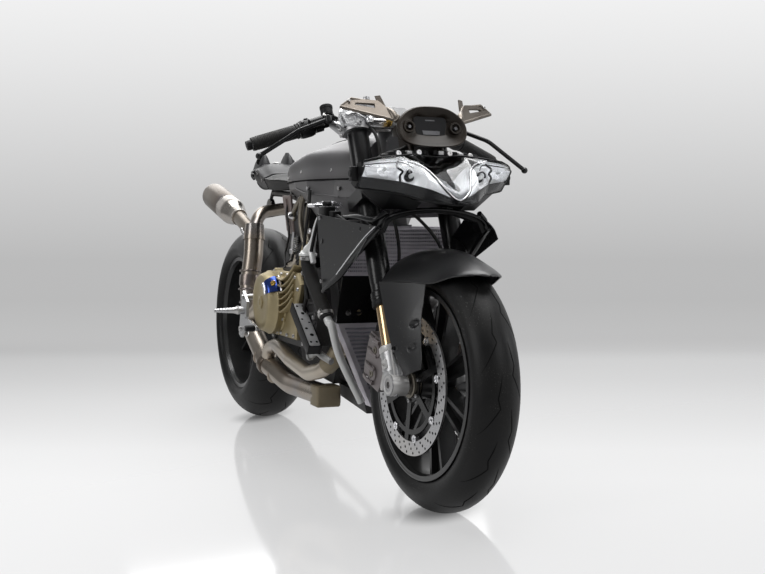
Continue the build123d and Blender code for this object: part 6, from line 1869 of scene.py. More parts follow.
    def build(self) -> None:
        """Build the bodywork."""
        self.tank()
        self.frame_shell()
        self.tail()
        self.seat()


# ------------------------------------------------------------------ engine
def flat_bar(points: Sequence[Point], wide: float, thick: float, count: int, across: Point) -> Mesh:
    """A bar with a rounded oblong section along a path, its width kept towards a given direction.

    Args:
        points: path control points.
        wide: size along across.
        thick: size the other way.
        count: samples along the path.
        across: the direction of the width.

    Returns:
        The closed mesh.
    """
    path = smooth_path(points, count)
    ahead = np.gradient(path, axis=0)
    ahead /= np.linalg.norm(ahead, axis=1)[:, None]
    a = np.asarray(across, float)[None] - ahead * (ahead @ np.asarray(across, float))[:, None]
    a /= np.linalg.norm(a, axis=1)[:, None]
    b = np.cross(ahead, a)
    t = np.linspace(0, 2 * np.pi, 16, endpoint=False)
    c, s = np.cos(t), np.sin(t)
    cu, su = np.sign(c) * np.abs(c) ** 0.55, np.sign(s) * np.abs(s) ** 0.55
    ring = path[:, None] + a[:, None] * (cu * wide / 2)[None, :, None] + b[:, None] * (su * thick / 2)[None, :, None]
    return grid(ring)


@dataclass
class Engine:
    """Clutch cover with its fan ribs, side covers, heads, fins, plugs and screws."""

    clutch: tuple[float, float] = (695.0, 445.0)
    crank: tuple[float, float] = (800.0, 400.0)

    def clutch_cover(self) -> None:
        """Stepped round cover with a rolled rim, screw lugs, and curved ribs that fan out ahead of it."""
        x, z = self.clutch
        body = turned((x, 0, z), (0, -1, 0), ((93, 150.5), (93, 168), (91.5, 170), (90, 171), (90, 181), (91, 183),
                                              (91, 190), (88.5, 193), (84, 203), (81, 211), (77, 215.5), (70, 217.2),
                                              (58, 216.8), (54, 214.8), (20, 214.4), (0, 214.4)), 96)
        lugs, screws = [], []
        for k in range(9):
            a = 2 * math.pi * k / 9 + 0.2
            at = np.array([x + 89 * math.cos(a), -150.5, z + 89 * math.sin(a)])
            lugs.append(turned(at, (0, -1, 0), ((9, 0), (9, 21), (7.6, 22.6), (0, 22.6)), 20))
            screws.append(bolt(at + (0, -22.4, 0), (0, -1, 0), 4.8, 4))
        hub = turned((x, -214.2, z), (0, -1, 0), ((20, 0), (20, 2.6), (18, 3.6), (9, 3.6), (8.2, 2.0), (0, 2.0)), 6)
        ribs = []
        for k, z0 in enumerate((521, 503, 485, 467, 449, 431)):
            reach = 862 - 3 * k
            ribs.append(flat_bar([(x + 58, -172, z0 - 3), (x + 96, -176, z0 - 7), (reach - 44, -174, z0 - 4),
                                  (reach - 12, -168, z0 + 12), (reach + 6, -160, z0 + 34)],
                                 30, 5.4, 28, (0, 1, 0)))
        wall_ = [(x + 28, 352), (872, 352), (874, 430), (892, 470), (908, 506), (880, 536), (x + 20, 536)]
        side = profile_slab(wall_, 150.4, 168, upright(), edge=4)
        left = turned((self.crank[0], 0, self.crank[1] + 10), (0, 1, 0),
                      ((90, 124.4), (90, 150), (87, 157), (78, 164), (62, 168), (60, 173), (57, 176), (30, 177),
                       (0, 177)), 80)
        gold = emit("clutch_cover", [body, *lugs, hub, *ribs, side, left], Skin.CASE, 34)
        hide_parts("engine_covers")
        for a in np.linspace(0.3, 2 * math.pi + 0.3, 7)[:-1]:
            screws.append(bolt((self.crank[0] + 78 * math.cos(a), 160, self.crank[1] + 10 + 78 * math.sin(a)),
                               (0, 1, 0), 5, 6))
        for px, pz in ((745, 362), (800, 360), (858, 362), (866, 420), (892, 492), (866, 524), (800, 527), (745, 527)):
            screws.append(bolt((px, -167.5, pz), (0, -1, 0), 5, 5))
        emit("cover_screws", screws, Skin.STEEL)
        curve = np.array([(66, 218.0), (76, 217.2), (82, 213.5), (87, 206.5), (91, 198.5), (93.4, 191),
                          (93.6, 180), (93.4, 172)])
        fine = smooth_path(np.column_stack([curve, np.zeros(len(curve))]), 40)
        theta = np.linspace(0.40, 0.96, 24)
        patch = np.stack([np.stack([x + r * np.cos(theta), np.full(24, -y - 0.6), z + r * np.sin(theta)], 1)
                          for r, y, _ in fine])
        emit("cover_clamp", [sheet(patch, 2.0)], Skin.BLUE)
        emit("cover_clamp_edges", [tube(patch[k] + (0, -1.0, 0), 4.4, 12) for k in (0, 35)], Skin.BRIGHT)
        mark = patch[22, 12]
        emit("cover_clamp_screw",
             [turned(mark, (0.5, -0.7, 0.45), ((8, -2), (8, 2.5), (6.6, 4), (0, 4)), 24)], Skin.GOLD)

    def case_details(self) -> None:
        """Webs, bosses, drain and filler plugs and the sump's ribs on the crankcase."""
        cast, screws, dark = [], [], []
        for side, y in ((-1, -150.0), (1, 124.0)):
            for x, z in ((584, 372), (578, 428), (612, 492), (668, 532), (895, 536), (968, 500), (990, 424), (956, 352),
                         (640, 345), (905, 345)):
                cast.append(turned((x, y - side * 12, z), (0, side, 0), ((11, 0), (11, 16), (9.4, 18), (0, 18)), 20))
                screws.append(bolt((x, y + side * 6, z), (0, side, 0), 5.4, 5))
        for x in (668, 716, 764, 812, 860, 908):
            cast.append(flat_bar([(x, -60, 326), (x, -40, 250 - 0.03 * abs(x - 780)),
                                  (x, 60, 250 - 0.03 * abs(x - 780)), (x, 78, 326)], 6, 10, 24, (1, 0, 0)))
        for z in (372, 400, 428, 456):
            cast.append(flat_bar([(905, -151, z), (952, -152, z + 3), (988, -148, z + 8)], 8, 6, 12, (0, 1, 0)))
        dark.append(turned((925, -152, 385), (0, -1, 0), ((17, -4), (17, 5), (15, 8), (8, 8.6), (7, 5), (0, 5)), 30))
        dark.append(turned((640, 120, 450), (0, 1, 0), ((22, 0), (22, 12), (20, 15), (0, 15)), 36))
        emit("case_bosses", cast, Skin.CAST, 40)
        emit("case_screws", screws, Skin.STEEL)
        emit("case_plugs", dark, Skin.PLASTIC)

    def head(self, tilt: float, reach: float) -> tuple[list[Mesh], ...]:
        """Cooling ribs, cam cover, screws and plug caps of one cylinder in the bike's frame."""
        turn = turn_y(-math.radians(tilt))
        at = (self.crank[0], 0, self.crank[1])
        foot = reach - 84
        ribs, cover, screws, dark = [], [], [], []
        for k in range(int((foot - 190) // 12) + 1):
            x = 186 + 12 * k
            ribs.append(moved(rounded_box((x, -98.5, -80), (x + 3.4, 98.5, 80), 1.4, 1), turn, at))
        for z in (-60, 60):
            for y in (-92, 0, 92):
                cover.append(moved(turned((foot + 20, y, z), (1, 0, 0),
                                          ((9, 30), (9, 60), (7.5, 62.5), (0, 62.5)), 18), turn, at))
                p = turn @ np.array([foot + 82.4, y, z]) + at
                screws.append(bolt(p, turn @ np.array([1.0, 0, 0]), 5.4, 5))
        lid = [(-84, -56), (84, -56), (98, -40), (98, 40), (84, 56), (-84, 56), (-98, 40), (-98, -40)]
        u, v, w = turn @ np.array([0, 1., 0]), turn @ np.array([0, 0, 1.]), turn @ np.array([1., 0, 0])
        cover.append(profile_slab(lid, reach - 2, reach + 5, (u, v, w), at, 3))
        for y in (-40, 40):
            dark.append(moved(turned((reach + 4, y, 0), (1, 0, 0),
                                     ((12, 0), (12, 10), (9, 13), (9, 18), (0, 18)), 24), turn, at))
        return ribs, cover, screws, dark

    def heads(self) -> None:
        """Dress both cylinders."""
        ribs, cover, screws, dark = [], [], [], []
        for tilt, reach in ((21.0, 268.0), (111.0, 330.0)):
            for out, new in zip((ribs, cover, screws, dark), self.head(tilt, reach)):
                out += new
        emit("cylinder_ribs", ribs, Skin.CAST, 40)
        emit("cam_covers", cover, Skin.CASE, 40)
        emit("head_screws", screws, Skin.STEEL)
        emit("plug_caps", dark, Skin.PLASTIC)

    def plumbing(self) -> None:
        """Bracket, links, rods and wiring beside the rear head, under the tank's edge."""
        plate = [profile_slab([(572, 752), (600, 690), (629, 640), (685, 640), (668, 690), (655, 710), (646, 752)], 106,
                              114, upright(), edge=2),
                 profile_slab([(596, 742), (616, 742), (650, 660), (632, 650)], 113, 118, upright(), edge=1.2)]
        emit("head_bracket", plate, Skin.HOSE_BROWN, 40)
        rods = [tube([(800, -122, 752), (788, -126, 720), (786, -127, 680), (800, -125, 634), (812, -122, 606)],
                     (7, 8, 8, 7.5, 6), 16, 50),
                tube([(772, -118, 748), (746, -125, 723), (722, -126, 702), (708, -122, 680)],
                     (6.5, 7.5, 7, 6), 14, 36),
                tube([(850, -118, 744), (844, -125, 712), (834, -126, 664), (846, -122, 622)], (6, 7, 7, 6), 14, 40)]
        emit("head_rods", rods, Skin.RING, 60)
        bright = [tube([(708, -121, 646), (702, -122, 612), (698, -121, 586), (682, -120, 562)],
                       (5, 6, 6, 4.5), 14, 30),
                  turned((706, -121, 694), (0.5, -0.2, 1), ((14, -5), (17, -4), (17, 4), (14, 5)), 30),
                  bolt((724, -133, 694), (0.4, -1, 0), 5, 8),
                  turned((700, -122, 590), (0.1, 0, 1), ((6, -8), (9.5, -6), (9.5, 6), (6, 8)), 24),
                  turned((860, -124, 650), (0.5, -1, 0.2), ((8, -4), (8, 4), (6, 6), (0, 6)), 20)]
        t = np.linspace(0, 1, 160)[:, None]
        coil = np.array([734.0, -122, 634]) + t * np.array([-5.0, 0, -44]) + 6.0 * np.hstack([np.cos(t * 44),
                                                                                              np.sin(t * 44), 0 * t])
        bright.append(tube(coil, 1.5, 6))
        emit("head_links", bright, Skin.STEEL, 50)
        wall_ = [profile_slab([(760, 536), (850, 536), (856, 600), (838, 646), (800, 650), (786, 612), (764, 580)], 108,
                              124, upright(), edge=4)]
        emit("head_wall", wall_, Skin.CASE, 40)
        knob = [rounded_box((596, -96, 746), (640, -70, 786), 8, 4),
                turned((618, -98, 766), (0, -1, 0), ((12, -3), (12, 2), (9, 4), (0, 4)), 24)]
        emit("side_knob", knob, Skin.SATIN_BLACK, 40)
        wires = [tube([(620, -110, 730), (634, -120, 700), (672, -124, 640), (668, -134, 580),
                       (720, -150, 545)], 3.0, 10, 60),
                 tube([(650, -128, 560), (680, -132, 552), (700, -140, 556), (730, -136, 566)], 2.6, 10, 40),
                 tube([(930, -150, 760), (946, -160, 700), (936, -166, 620), (952, -168, 520),
                       (946, -158, 470)], 4.6, 10, 60),
                 tube([(905, -152, 505), (930, -158, 470), (920, -160, 440), (940, -158, 415)], 5.0, 12, 40)]
        emit("side_wiring", wires, Skin.RUBBER, 60)

    def build(self) -> None:
        """Build the engine's dressing."""
        self.clutch_cover()
        self.case_details()
        self.heads()
        self.plumbing()


# ------------------------------------------------------------------ exhaust
@dataclass
class Exhaust:
    """Weld beads, bands, springs and slip joints of the pipes, and the silencers' shells."""

    main: Rows = ((905, -96, 203), (690, -122, 207), (560, -152, 252), (428, -164, 350), (400, -162, 480),
                  (393, -149, 570), (382, -143, 642))
    front: tuple[float, float, float] = (262, 158, 686)
    back: tuple[float, float, float] = (-24, 169, 762)
    radius: float = 43.0

    def ring(self, at: Point, along: Point, inner: float, out: float, wide: float) -> Mesh:
        """A rounded band round a pipe."""
        return turned(at, along, ((inner, -wide / 2), (inner + out * 0.8, -wide / 2 + 0.6), (inner + out, -wide / 4),
                                  (inner + out, wide / 4),
                                  (inner + out * 0.8, wide / 2 - 0.6), (inner, wide / 2)), 44)

    def silencer(self, side: int) -> tuple[list[Mesh], ...]:
        """Rolled can with hemmed ends, tapered cap, plain inner core and cone, turned about its own axis."""
        a, b = (np.array(p) * (1, side, 1) for p in (self.front, self.back))
        line = unit(b - a)
        long = float(np.linalg.norm(b - a))
        r = self.radius
        can = turned(a, line, ((r - 2, 122), (r - 0.4, 123), (r, 125), (r, long - 16), (r - 0.8, long - 9),
                               (r - 3, long - 3), (r - 6, long), (r - 10, long + 0.6),
                               (r - 16, long), (24.6, long - 4), (24.3, long - 84), (0, long - 85)), 72)
        cone = turned(a, line, ((24.5, 0), (25.5, 4), (28, 22), (32, 40), (37, 54), (40.6, 64), (42.2, 72), (42.8, 80),
                                (42.8, 122), (41, 124)), 72)
        bands = [cone, self.ring(a + line * 4, line, 24, 3.0, 12), self.ring(a + line * 121, line, r - 2, 2.4, 5)]
        core = [turned(a, line, ((24.4, long - 82), (24.2, long - 6), (22.6, long - 6), (22.6, long - 82)), 48)]
        return [can], bands, core

    def build(self) -> None:
        """Dress the exhaust."""
        cans, bands, cores = [], [], []
        for side in (-1, 1):
            for out, new in zip((cans, bands, cores), self.silencer(side)):
                out += new
        hangers = []
        for side in (-1, 1):
            hangers.append(tube([(290, side * 62, 742), (294, side * 58, 764), (298, side * 52, 788)], 5.5, 12, 20))
            hangers.append(self.ring((290, side * 62, 718), (0, 1, 0), 27, 2.6, 14))
        shell = emit("silencer_cans", cans, Skin.SILENCER, 30)
        hang = emit("silencer_hangers", hangers, Skin.SATIN_BLACK, 50)
        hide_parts("silencers")
        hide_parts("silencers")
        emit("silencer_bands", bands, Skin.CONE, 40)
        # dark liner in each outlet: painted shade of the bore
        emit("silencer_cores", cores, Skin.CUT, 40)
        path = smooth_path(self.main, 200)
        ahead = np.gradient(path, axis=0)
        welds = [self.ring(path[i], ahead[i], 29.6, 1.7, 5) for i in (52, 74, 96, 118)]
        emit("pipe_welds", welds, Skin.WELD)
        i = 136
        sleeve = [self.ring(path[i], ahead[i], 29.6, 3.2, 34), self.ring(path[i] + ahead[i] * 9, ahead[i], 32, 2.2, 6),
                  self.ring(path[i] - ahead[i] * 9, ahead[i], 32, 2.2, 6)]
        emit("pipe_sleeve", sleeve, Skin.SLEEVE)
        lower = self.ring(path[66], ahead[66], 29.6, 4.2, 20)
        emit("pipe_joint", [lower], Skin.SILENCER)
        springs = []
        for at, to in (((404, -176, 470), (402, -178, 512)), ((412, -138, 470), (408, -136, 512)),
                       ((372, -170, 628), (348, -176, 650))):
            a, b = np.array(at, float), np.array(to, float)
            u, v, _ = axes_of(b - a)
            t = np.linspace(0, 1, 150)[:, None]
            helix = u * np.cos(t * 2 * np.pi * 9) + v * np.sin(t * 2 * np.pi * 9)
            coil = a + (b - a) * (0.12 + 0.76 * t) + 4.2 * helix
            springs.append(tube(coil, 1.15, 6))
            for p, q in ((a, coil[0]), (b, coil[-1])):
                springs.append(tube([p, (p + q) / 2 + u, q], 1.15, 6, 8))
                springs.append(turned(p - u * 2, u, ((4, -2), (4, 3), (3, 4), (0, 4)), 12))
        emit("pipe_springs", springs, Skin.STEEL, 60)
        port, out = np.array([1020, -62, 398]), np.array([0.28, -0.7, -0.8])
        flange = [turned(port, out, ((36, -4), (36, 6), (34, 8), (25, 8.6), (24, 14), (22, 15)), 44)]
        emit("port_flange", flange, Skin.OLIVE)
        nuts = [nut(port + axes_of(out)[0] * 29 * k + out * 7.5, out, 7, 7) for k in (-1, 1)]
        emit("port_nuts", nuts, Skin.STEEL)
        header = tube([(1032, -102, 336), (1022, -112, 314), (1000, -122, 294)], 24.4, 36, 16)
        emit("header_sleeve", [header], Skin.OLIVE)
        box = [rounded_box((878, -127, 173), (938, -57, 231), 8, 4)]
        emit("collector_skin", box, Skin.OLIVE, 40)
        sensor = [turned((470, -184, 330), (0.3, -0.9, 0.3), ((9, -8), (9, 6), (7, 8), (5, 22), (3, 24), (0, 24)), 6)]
        emit("pipe_sensor", sensor, Skin.STEEL)


# ------------------------------------------------------------------ cooling
@dataclass
class Cooling:
    """Radiator tubes and fins, hose bands, filler cap, connectors, panel edges and the regulator's box."""

    rad_front: float = HEAD_X - 370
    cooler_front: float = HEAD_X - 414

    def fins(self) -> None:
        """Level tubes with folded fins between them on both coolers."""
        tubes, folds, low_tubes = [], [], []
        for k in range(13):
            z = 549 + 9.4 * k
            tubes.append(rounded_box((self.rad_front - 5, -158, z - 2.3), (self.rad_front + 1.4, 158, z + 2.3), 1.6, 1))
        y = np.linspace(-157, 157, 260)
        for k in range(12):
            z = 549 + 9.4 * (k + 0.5)
            x = self.rad_front - 2.6 + 1.3 * np.sign(np.sin(y * 1.25))
            line = np.stack([x, y, np.full_like(y, z)], 1)
            rows = np.stack([line + (0, 0, 2.2), line - (0, 0, 2.2), line - (1.2, 0, 2.2), line + (-1.2, 0, 2.2)], 1)
            folds.append(grid(rows))
        for k in range(20):
            z = 207 + 10.4 * k
            half = 44 + 94 * (z - 200) / 218 - 13
            low_tubes.append(rounded_box((self.cooler_front - 5, -half, z - 2.4),
                                         (self.cooler_front + 1.2, half, z + 2.4), 1.6, 1))
        emit("radiator_tubes", tubes, Skin.FINS, 40)
        emit("radiator_folds", folds, Skin.FOLDS, 60)
        emit("cooler_tubes", low_tubes, Skin.FOLDS, 40)

    def hoses(self) -> None:
        """Bands, flange, filler cap, connectors, leads and the small branch pipe on the right side."""
        bands = [turned(p, d, ((18.4, -5), (20.6, -4.2), (20.6, 4.2), (18.4, 5)), 36)
                 for p, d in (((1000, -178, 580), (0, 0, 1)), ((1104, -164.3, 442), (0.5, 0.1, -0.85)))]
        emit("hose_bands", bands, Skin.STEEL, 40)
        lugs = [bolt((1000 + 8, -199, 580), (1, 0, 0), 4, 12), bolt((1111, -185, 448), (0.8, 0, 0.5), 4, 12)]
        emit("hose_band_screws", lugs, Skin.STEEL)
        pipe_ = [tube([(1090, -160, 700), (1078, -172, 690), (1062, -180, 660), (1052, -181, 634), (1034, -181, 614),
                       (1012, -179, 602), (1000, -178, 590)], (8, 7.5, 6.5, 7.5, 11, 16, 17), 24, 60),
                 tube([(1034, -182, 612), (1046, -183, 592), (1055, -182, 570)], (8, 8.5, 7), 16, 20),
                 turned((1000, -178, 580), (0, 0, 1), ((19, 6), (24, 7), (24, 13), (21, 15), (17, 22), (0, 22)), 40)]
        hose_end = np.array([1112.0, -163, 432])
        ahead = unit(hose_end - np.array([1064.0, -171, 488]))
        pipe_.append(tube([hose_end + ahead, hose_end + ahead * 14, hose_end + ahead * 30 + (0, 3, 0),
                           (1116, -128, 330), (1111, -66, 212)], (11, 10.5, 10.5, 10.5, 10.5), 24, 60))
        pipes = emit("coolant_pipe_skin", pipe_, Skin.GREY_PIPE, 50)
        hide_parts("coolant_pipes")
        cap = [turned((1088, -152, 700), (0, 0, 1),
                      ((20.5, 0), (26, 2), (26, 6), (22, 8), (22, 12), (32, 14), (33.5, 16), (33.5, 24), (32, 26.4),
                       (20, 27.2), (18, 29.5), (0, 30)), 12, 0.2),
               rounded_box((1064, -204, 713), (1110, -158, 722), 9, 4)]
        emit("filler_neck_cap", cap, Skin.BRIGHT, 30)
        dark = [rounded_box((1128, -196, 690), (1176, -166, 716), 5, 3),
                rounded_box((1180, -188, 684), (1210, -164, 704), 4, 3),
                turned((1150, -181, 714), (0.2, 0, 1), ((12, 0), (12, 12), (9, 15), (0, 15)), 24),
                tube([(1172, -178, 700), (1210, -176, 690), (1260, -168, 676), (1300, -158, 664)], 6.5, 14, 30),
                tube([(1120, -176, 706), (1100, -182, 690), (1078, -186, 650), (1060, -190, 600)], 4.5, 12, 40)]
        emit("side_connectors", dark, Skin.PLASTIC, 40)
        branch = tube([(958, -152, 318), (990, -146, 330), (1016, -138, 322), (1050, -128, 312)],
                      (8.5, 8.5, 9.5, 8.5), 18, 34)
        tip = turned((954, -153, 317), (-0.8, -0.3, -0.2), ((8.5, -4), (12, -2), (12, 4), (8.5, 6), (0, 6)), 24)
        emit("branch_pipe", [branch, tip], Skin.WHITE, 50)

    def panels(self) -> None:
        """Rolled edges, hooks and screws of the side panels and the arch, with the ducts' lips."""
        edges, bright, screws = [], [], []
        for side in (-1, 1):
            low, mid, ahead = nose((409, side * 181, 501), (262, side * 157, 592), (131, side * 141, 666))
            edges.append(tube([low, (HEAD_X - 330, side * 167, 544), mid, (HEAD_X - 190, side * 148, 636), ahead],
                              (4, 8, 8.5, 8, 6.5), 16, 60))
            edges.append(tube(nose((300, side * 166, 688), (230, side * 160, 690), (160, side * 146, 684),
                                   (140, side * 120, 702)), 6.5, 14, 40))
            bright.append(tube(nose((330, side * 174, 548), (262, side * 165, 596), (196, side * 155.5, 640),
                                    (144, side * 148, 668)), 1.5, 8, 50))
            for x, y, z in ((HEAD_X - 372, 203.5, 686), (HEAD_X - 396, 189, 528), (HEAD_X - 172, 148.5, 668)):
                screws.append(bolt((x, side * y, z), (0.1, side, 0), 4.8, 3.4))
            hook = [(-12, -4), (10, -7), (14, 0), (10, 7), (-12, 5)]
            edges.append(profile_slab(hook, -3, 3, upright(side), (HEAD_X - 218, side * 158, 664), 1.2))
        emit("panel_edges", edges, Skin.GLOSS_BLACK, 50)
        emit("panel_lines", bright, Skin.BRIGHT)
        emit("panel_screws", screws, Skin.STEEL)
        t = np.linspace(0, 1, 60)
        arch = np.stack([np.full(60, HEAD_X - 134.0), 136 * np.cos(np.pi * t), 664 + 46 * np.sin(np.pi * t) ** 0.8], 1)
        lip = tube(arch, 4.5, 12)
        claws = []
        for side in (-1, 1):
            claw = np.stack([np.array(nose((150, side * 92, 700), (128, side * 122, 690), (126, side * 150, 668),
                                           (140, side * 172, 640)), float),
                             np.array(nose((190, side * 96, 676), (170, side * 124, 664), (178, side * 150, 640),
                                           (196, side * 166, 612)), float),
                             np.array(nose((250, side * 98, 640), (238, side * 126, 622), (250, side * 150, 596),
                                           (262, side * 158, 580)), float)])
            fine = np.stack([smooth_path(claw[:, k], 20) for k in range(4)], 1)
            fine = np.stack([smooth_path(fine[k], 24) for k in range(20)])
            claws.append(sheet(fine, 2.4))
        emit("arch_lip", [lip, *claws], Skin.GLOSS_BLACK, 45)

    def regulator(self) -> None:
        """Front plate of the box on the engine's corner, its holes drawn as dark discs of painted shade, and its dark
        edges.
        """
        along = unit((145, 0, -104))
        face = unit((104, 0, 145))
        at = np.array([958.0, -168, 392])
        across_ = np.array([0, -1.0, 0])
        flat = [(-82, -15), (82, -15), (86, -11), (86, 11), (82, 15), (-82, 15), (-86, 11), (-86, -11)]
        frame_ = (along, np.cross(face, along), face)
        emit("regulator_plate", [profile_slab(flat, 12.5, 16, frame_, at, 1.2)], Skin.CASE_GREY, 40)
        # holes: dark discs on the plate's face, painted shade
        holes = [turned(at + along * a_ + across_ * b_ + face * 14, face, ((r, 0), (r, 2.3), (r * 0.85, 2.6), (0, 2.6)),
                        20) for a_, b_,
                 r in ((-74, 8, 3.4), (-74, -8, 3.4), (-44, 0, 5), (-20, 8, 3), (-6, -8, 3), (18, 6, 4), (44, -2, 5.4),
                       (72, 8, 3.4), (72, -8, 3.4))]
        emit("regulator_holes", holes, Skin.CUT)
        rims = [profile_slab([(-89, -19), (89, -19), (89, -15.5), (-89, -15.5)], -14, 17, frame_, at, 0.8),
                profile_slab([(-89, 15.5), (89, 15.5), (89, 18.5), (-89, 18.5)], -14, 15, frame_, at, 0.8)]
        emit("regulator_edges", rims, Skin.PLASTIC, 40)

    def build(self) -> None:
        """Build the cooling side."""
        self.fins()
        self.hoses()
        self.panels()
        self.regulator()


# ------------------------------------------------------------------ rear
@dataclass
class Swingarm:
    """Smooth one-sided arm with its yoke, barrel and hub carrier, screws, chain guard and brake hose."""

    def ring(self, x: float, y_in: float, y_out: float, low: float, high: float) -> list:
        """Rounded oblong section across the arm at one station."""
        cy, cz, hy, hz = (y_in + y_out) / 2, (low + high) / 2, (y_out - y_in) / 2, (high - low) / 2
        t = np.linspace(0, 2 * np.pi, 20, endpoint=False) + 0.157
        c, s = np.cos(t), np.sin(t)
        return [(x, cy + hy * math.copysign(abs(a) ** 0.5, a), cz + hz * math.copysign(abs(b) ** 0.5, b)) for a,
                b in zip(c, s)]

    def build(self) -> None:
        """Arm, barrel, hub carrier and their screws."""
        rows = ((440, -30, 131, 339, 439), (408, 2, 133, 339, 438), (372, 42, 135.5, 341, 435),
                (340, 78, 136.5, 336, 430), (306, 106.5, 136.5, 332, 424),
                (240, 106.5, 136.5, 331, 413), (170, 106.5, 136.5, 331, 400), (110, 106.5, 136.5, 318, 386),
                (56, 106.5, 136.5, 302, 367))
        beam = lofted([self.ring(*r) for r in rows], 64, 80)
        yoke = lofted([self.ring(*r) for r in ((512, -57, 57, 363, 419), (486, -57, 70, 356, 424),
                                               (462, -56, 90, 348, 430), (436, -40, 104, 342, 436))], 56, 24)
        barrel = turned((505, 0, 390), (0, 1, 0), ((33.5, -61.5), (34, -60), (34, 60), (33.5, 61.5)), 48)
        carrier = turned((0, 0, 326), (0, 1, 0), ((52, 90.5), (52.5, 92), (52.5, 112), (60, 116), (66, 120),
                                                  (66.5, 124), (66.5, 138), (65, 141.5), (52, 143.5), (27, 143.8)), 64)
        body = emit("arm_skin", [beam, yoke, barrel, carrier], Skin.CAST, 35)
        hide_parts("swingarm")
        screws = ring_of(bolt((58, 142.2, 326), (0, 1, 0), 5, 4), (0, 0, 326), 1, 8, 0.2)
        screws += [nut((505, side * 68, 390), (0, side, 0), 15, 9) for side in (-1, 1)]
        emit("arm_screws", screws, Skin.STEEL)
        guard = [profile_slab([(120, 392), (300, 416), (380, 430), (380, 440), (300, 428), (120, 404)], 138.5, 141,
                              upright(-1), edge=0.8),
                 profile_slab([(420, 438), (560, 448), (560, 452), (420, 446)], 136, 141, upright(-1), edge=1.0)]
        emit("chain_guard", guard, Skin.PLASTIC, 40)
        hose = tube([(470, 60, 440), (400, 96, 446), (300, 122, 432), (180, 122, 406), (60, 100, 380), (20, 92, 330),
                     (-20, 92, 290)], 3.8, 12, 80)
        emit("rear_brake_hose", [hose], Skin.RUBBER)


@dataclass
class RearWheelDetail:
    """Rim edges, sprocket and disc screws, hub cap and valve of the rear wheel."""

    def build(self) -> None:
        """Dress the rear wheel."""
        emit("rear_rim_edges", rim_edges(81.6, 83.6, 83.8), Skin.WHEEL, on=REAR_WHEEL)
        bright = ring_of(bolt((46, 158.8, 0), (0, 1, 0), 6, 6), (0, 0, 0), 1, 6, 0.5)
        bright += ring_of(bolt((40, -54, 0), (0, -1, 0), 5, 4), (0, 0, 0), 1, 6, 0.3)
        emit("rear_wheel_screws", bright, Skin.STEEL, on=REAR_WHEEL)
        cap = [turned((0, 0, 0), (0, -1, 0), ((43, 52), (43, 56), (40, 59), (31, 60), (29, 57), (0, 57)), 56)]
        emit("rear_hub_cap", cap, Skin.SATIN_BLACK, on=REAR_WHEEL)
        emit("rear_valve", [valve(-14)], Skin.RUBBER, on=REAR_WHEEL)


@dataclass
class DriveChain:
    """Chain links with pins laid on the loop round both chain wheels."""

    pitch: float = 15.875
    big: tuple[float, float, float] = (0.0, 326.0, 39.0)
    small: tuple[float, float, float] = (612.0, 398.0, 15.0)
    y: float = 152.0

    def loop(self, count: int) -> Array:
        """Even points on the belt line: two tangent runs joined by an arc on each wheel."""
        r1, r2 = (self.pitch / (2 * math.sin(math.pi / w[2])) for w in (self.big, self.small))
        c1, c2 = np.array(self.big[:2]), np.array(self.small[:2])
        d = c2 - c1
        base = math.atan2(d[1], d[0])
        lean = math.acos((r1 - r2) / np.linalg.norm(d))
        a, b = base + lean, base - lean
        arc1 = np.linspace(a, b + 2 * math.pi, 200)
        arc2 = np.linspace(b, a, 120)
        pts = np.vstack([c1 + r1 * np.stack([np.cos(arc1), np.sin(arc1)], 1),
                         c2 + r2 * np.stack([np.cos(arc2), np.sin(arc2)], 1)])
        pts = np.vstack([pts, pts[:1]])
        s = np.concatenate([[0], np.cumsum(np.linalg.norm(np.diff(pts, axis=0), axis=1))])
        at = np.linspace(0, s[-1], count, endpoint=False)
        return np.stack([np.interp(at, s, pts[:, k]) for k in (0, 1)], 1)

    def build(self) -> None:
        """Outer and inner plates as one object, and the pins as another."""
        count = 112
        p = self.loop(count)
        t = np.linspace(0, 2 * np.pi, 14, endpoint=False)
        outline = np.stack([self.pitch / 2 + (self.pitch / 2 + 6.6) * np.cos(t),
                            6.8 * np.sin(t) * (1 - 0.16 * np.cos(2 * t))], 1)
        links, pins = [], []
        w = np.array([0, 1.0, 0])
        for k in range(count):
            a, b = p[k], p[(k + 1) % count]
            u2 = (b - a) / np.linalg.norm(b - a)
            u = np.array([u2[0], 0, u2[1]])
            v = np.cross(w, u)
            gap = (8.9, 11.0) if k % 2 else (6.4, 8.5)
            for side in (-1, 1):
                low, high = sorted((side * gap[0], side * gap[1]))
                links.append(profile_slab(outline, low, high, (u, v, w), (a[0], self.y, a[1]), 0.5))
            pins.append(turned((a[0], self.y, a[1]), (0, 1, 0), ((2.6, -12.4), (2.6, 12.4)), 8))
        emit("chain_links", links, Skin.STEEL, 40)
        emit("chain_pins", pins, Skin.GOLD)


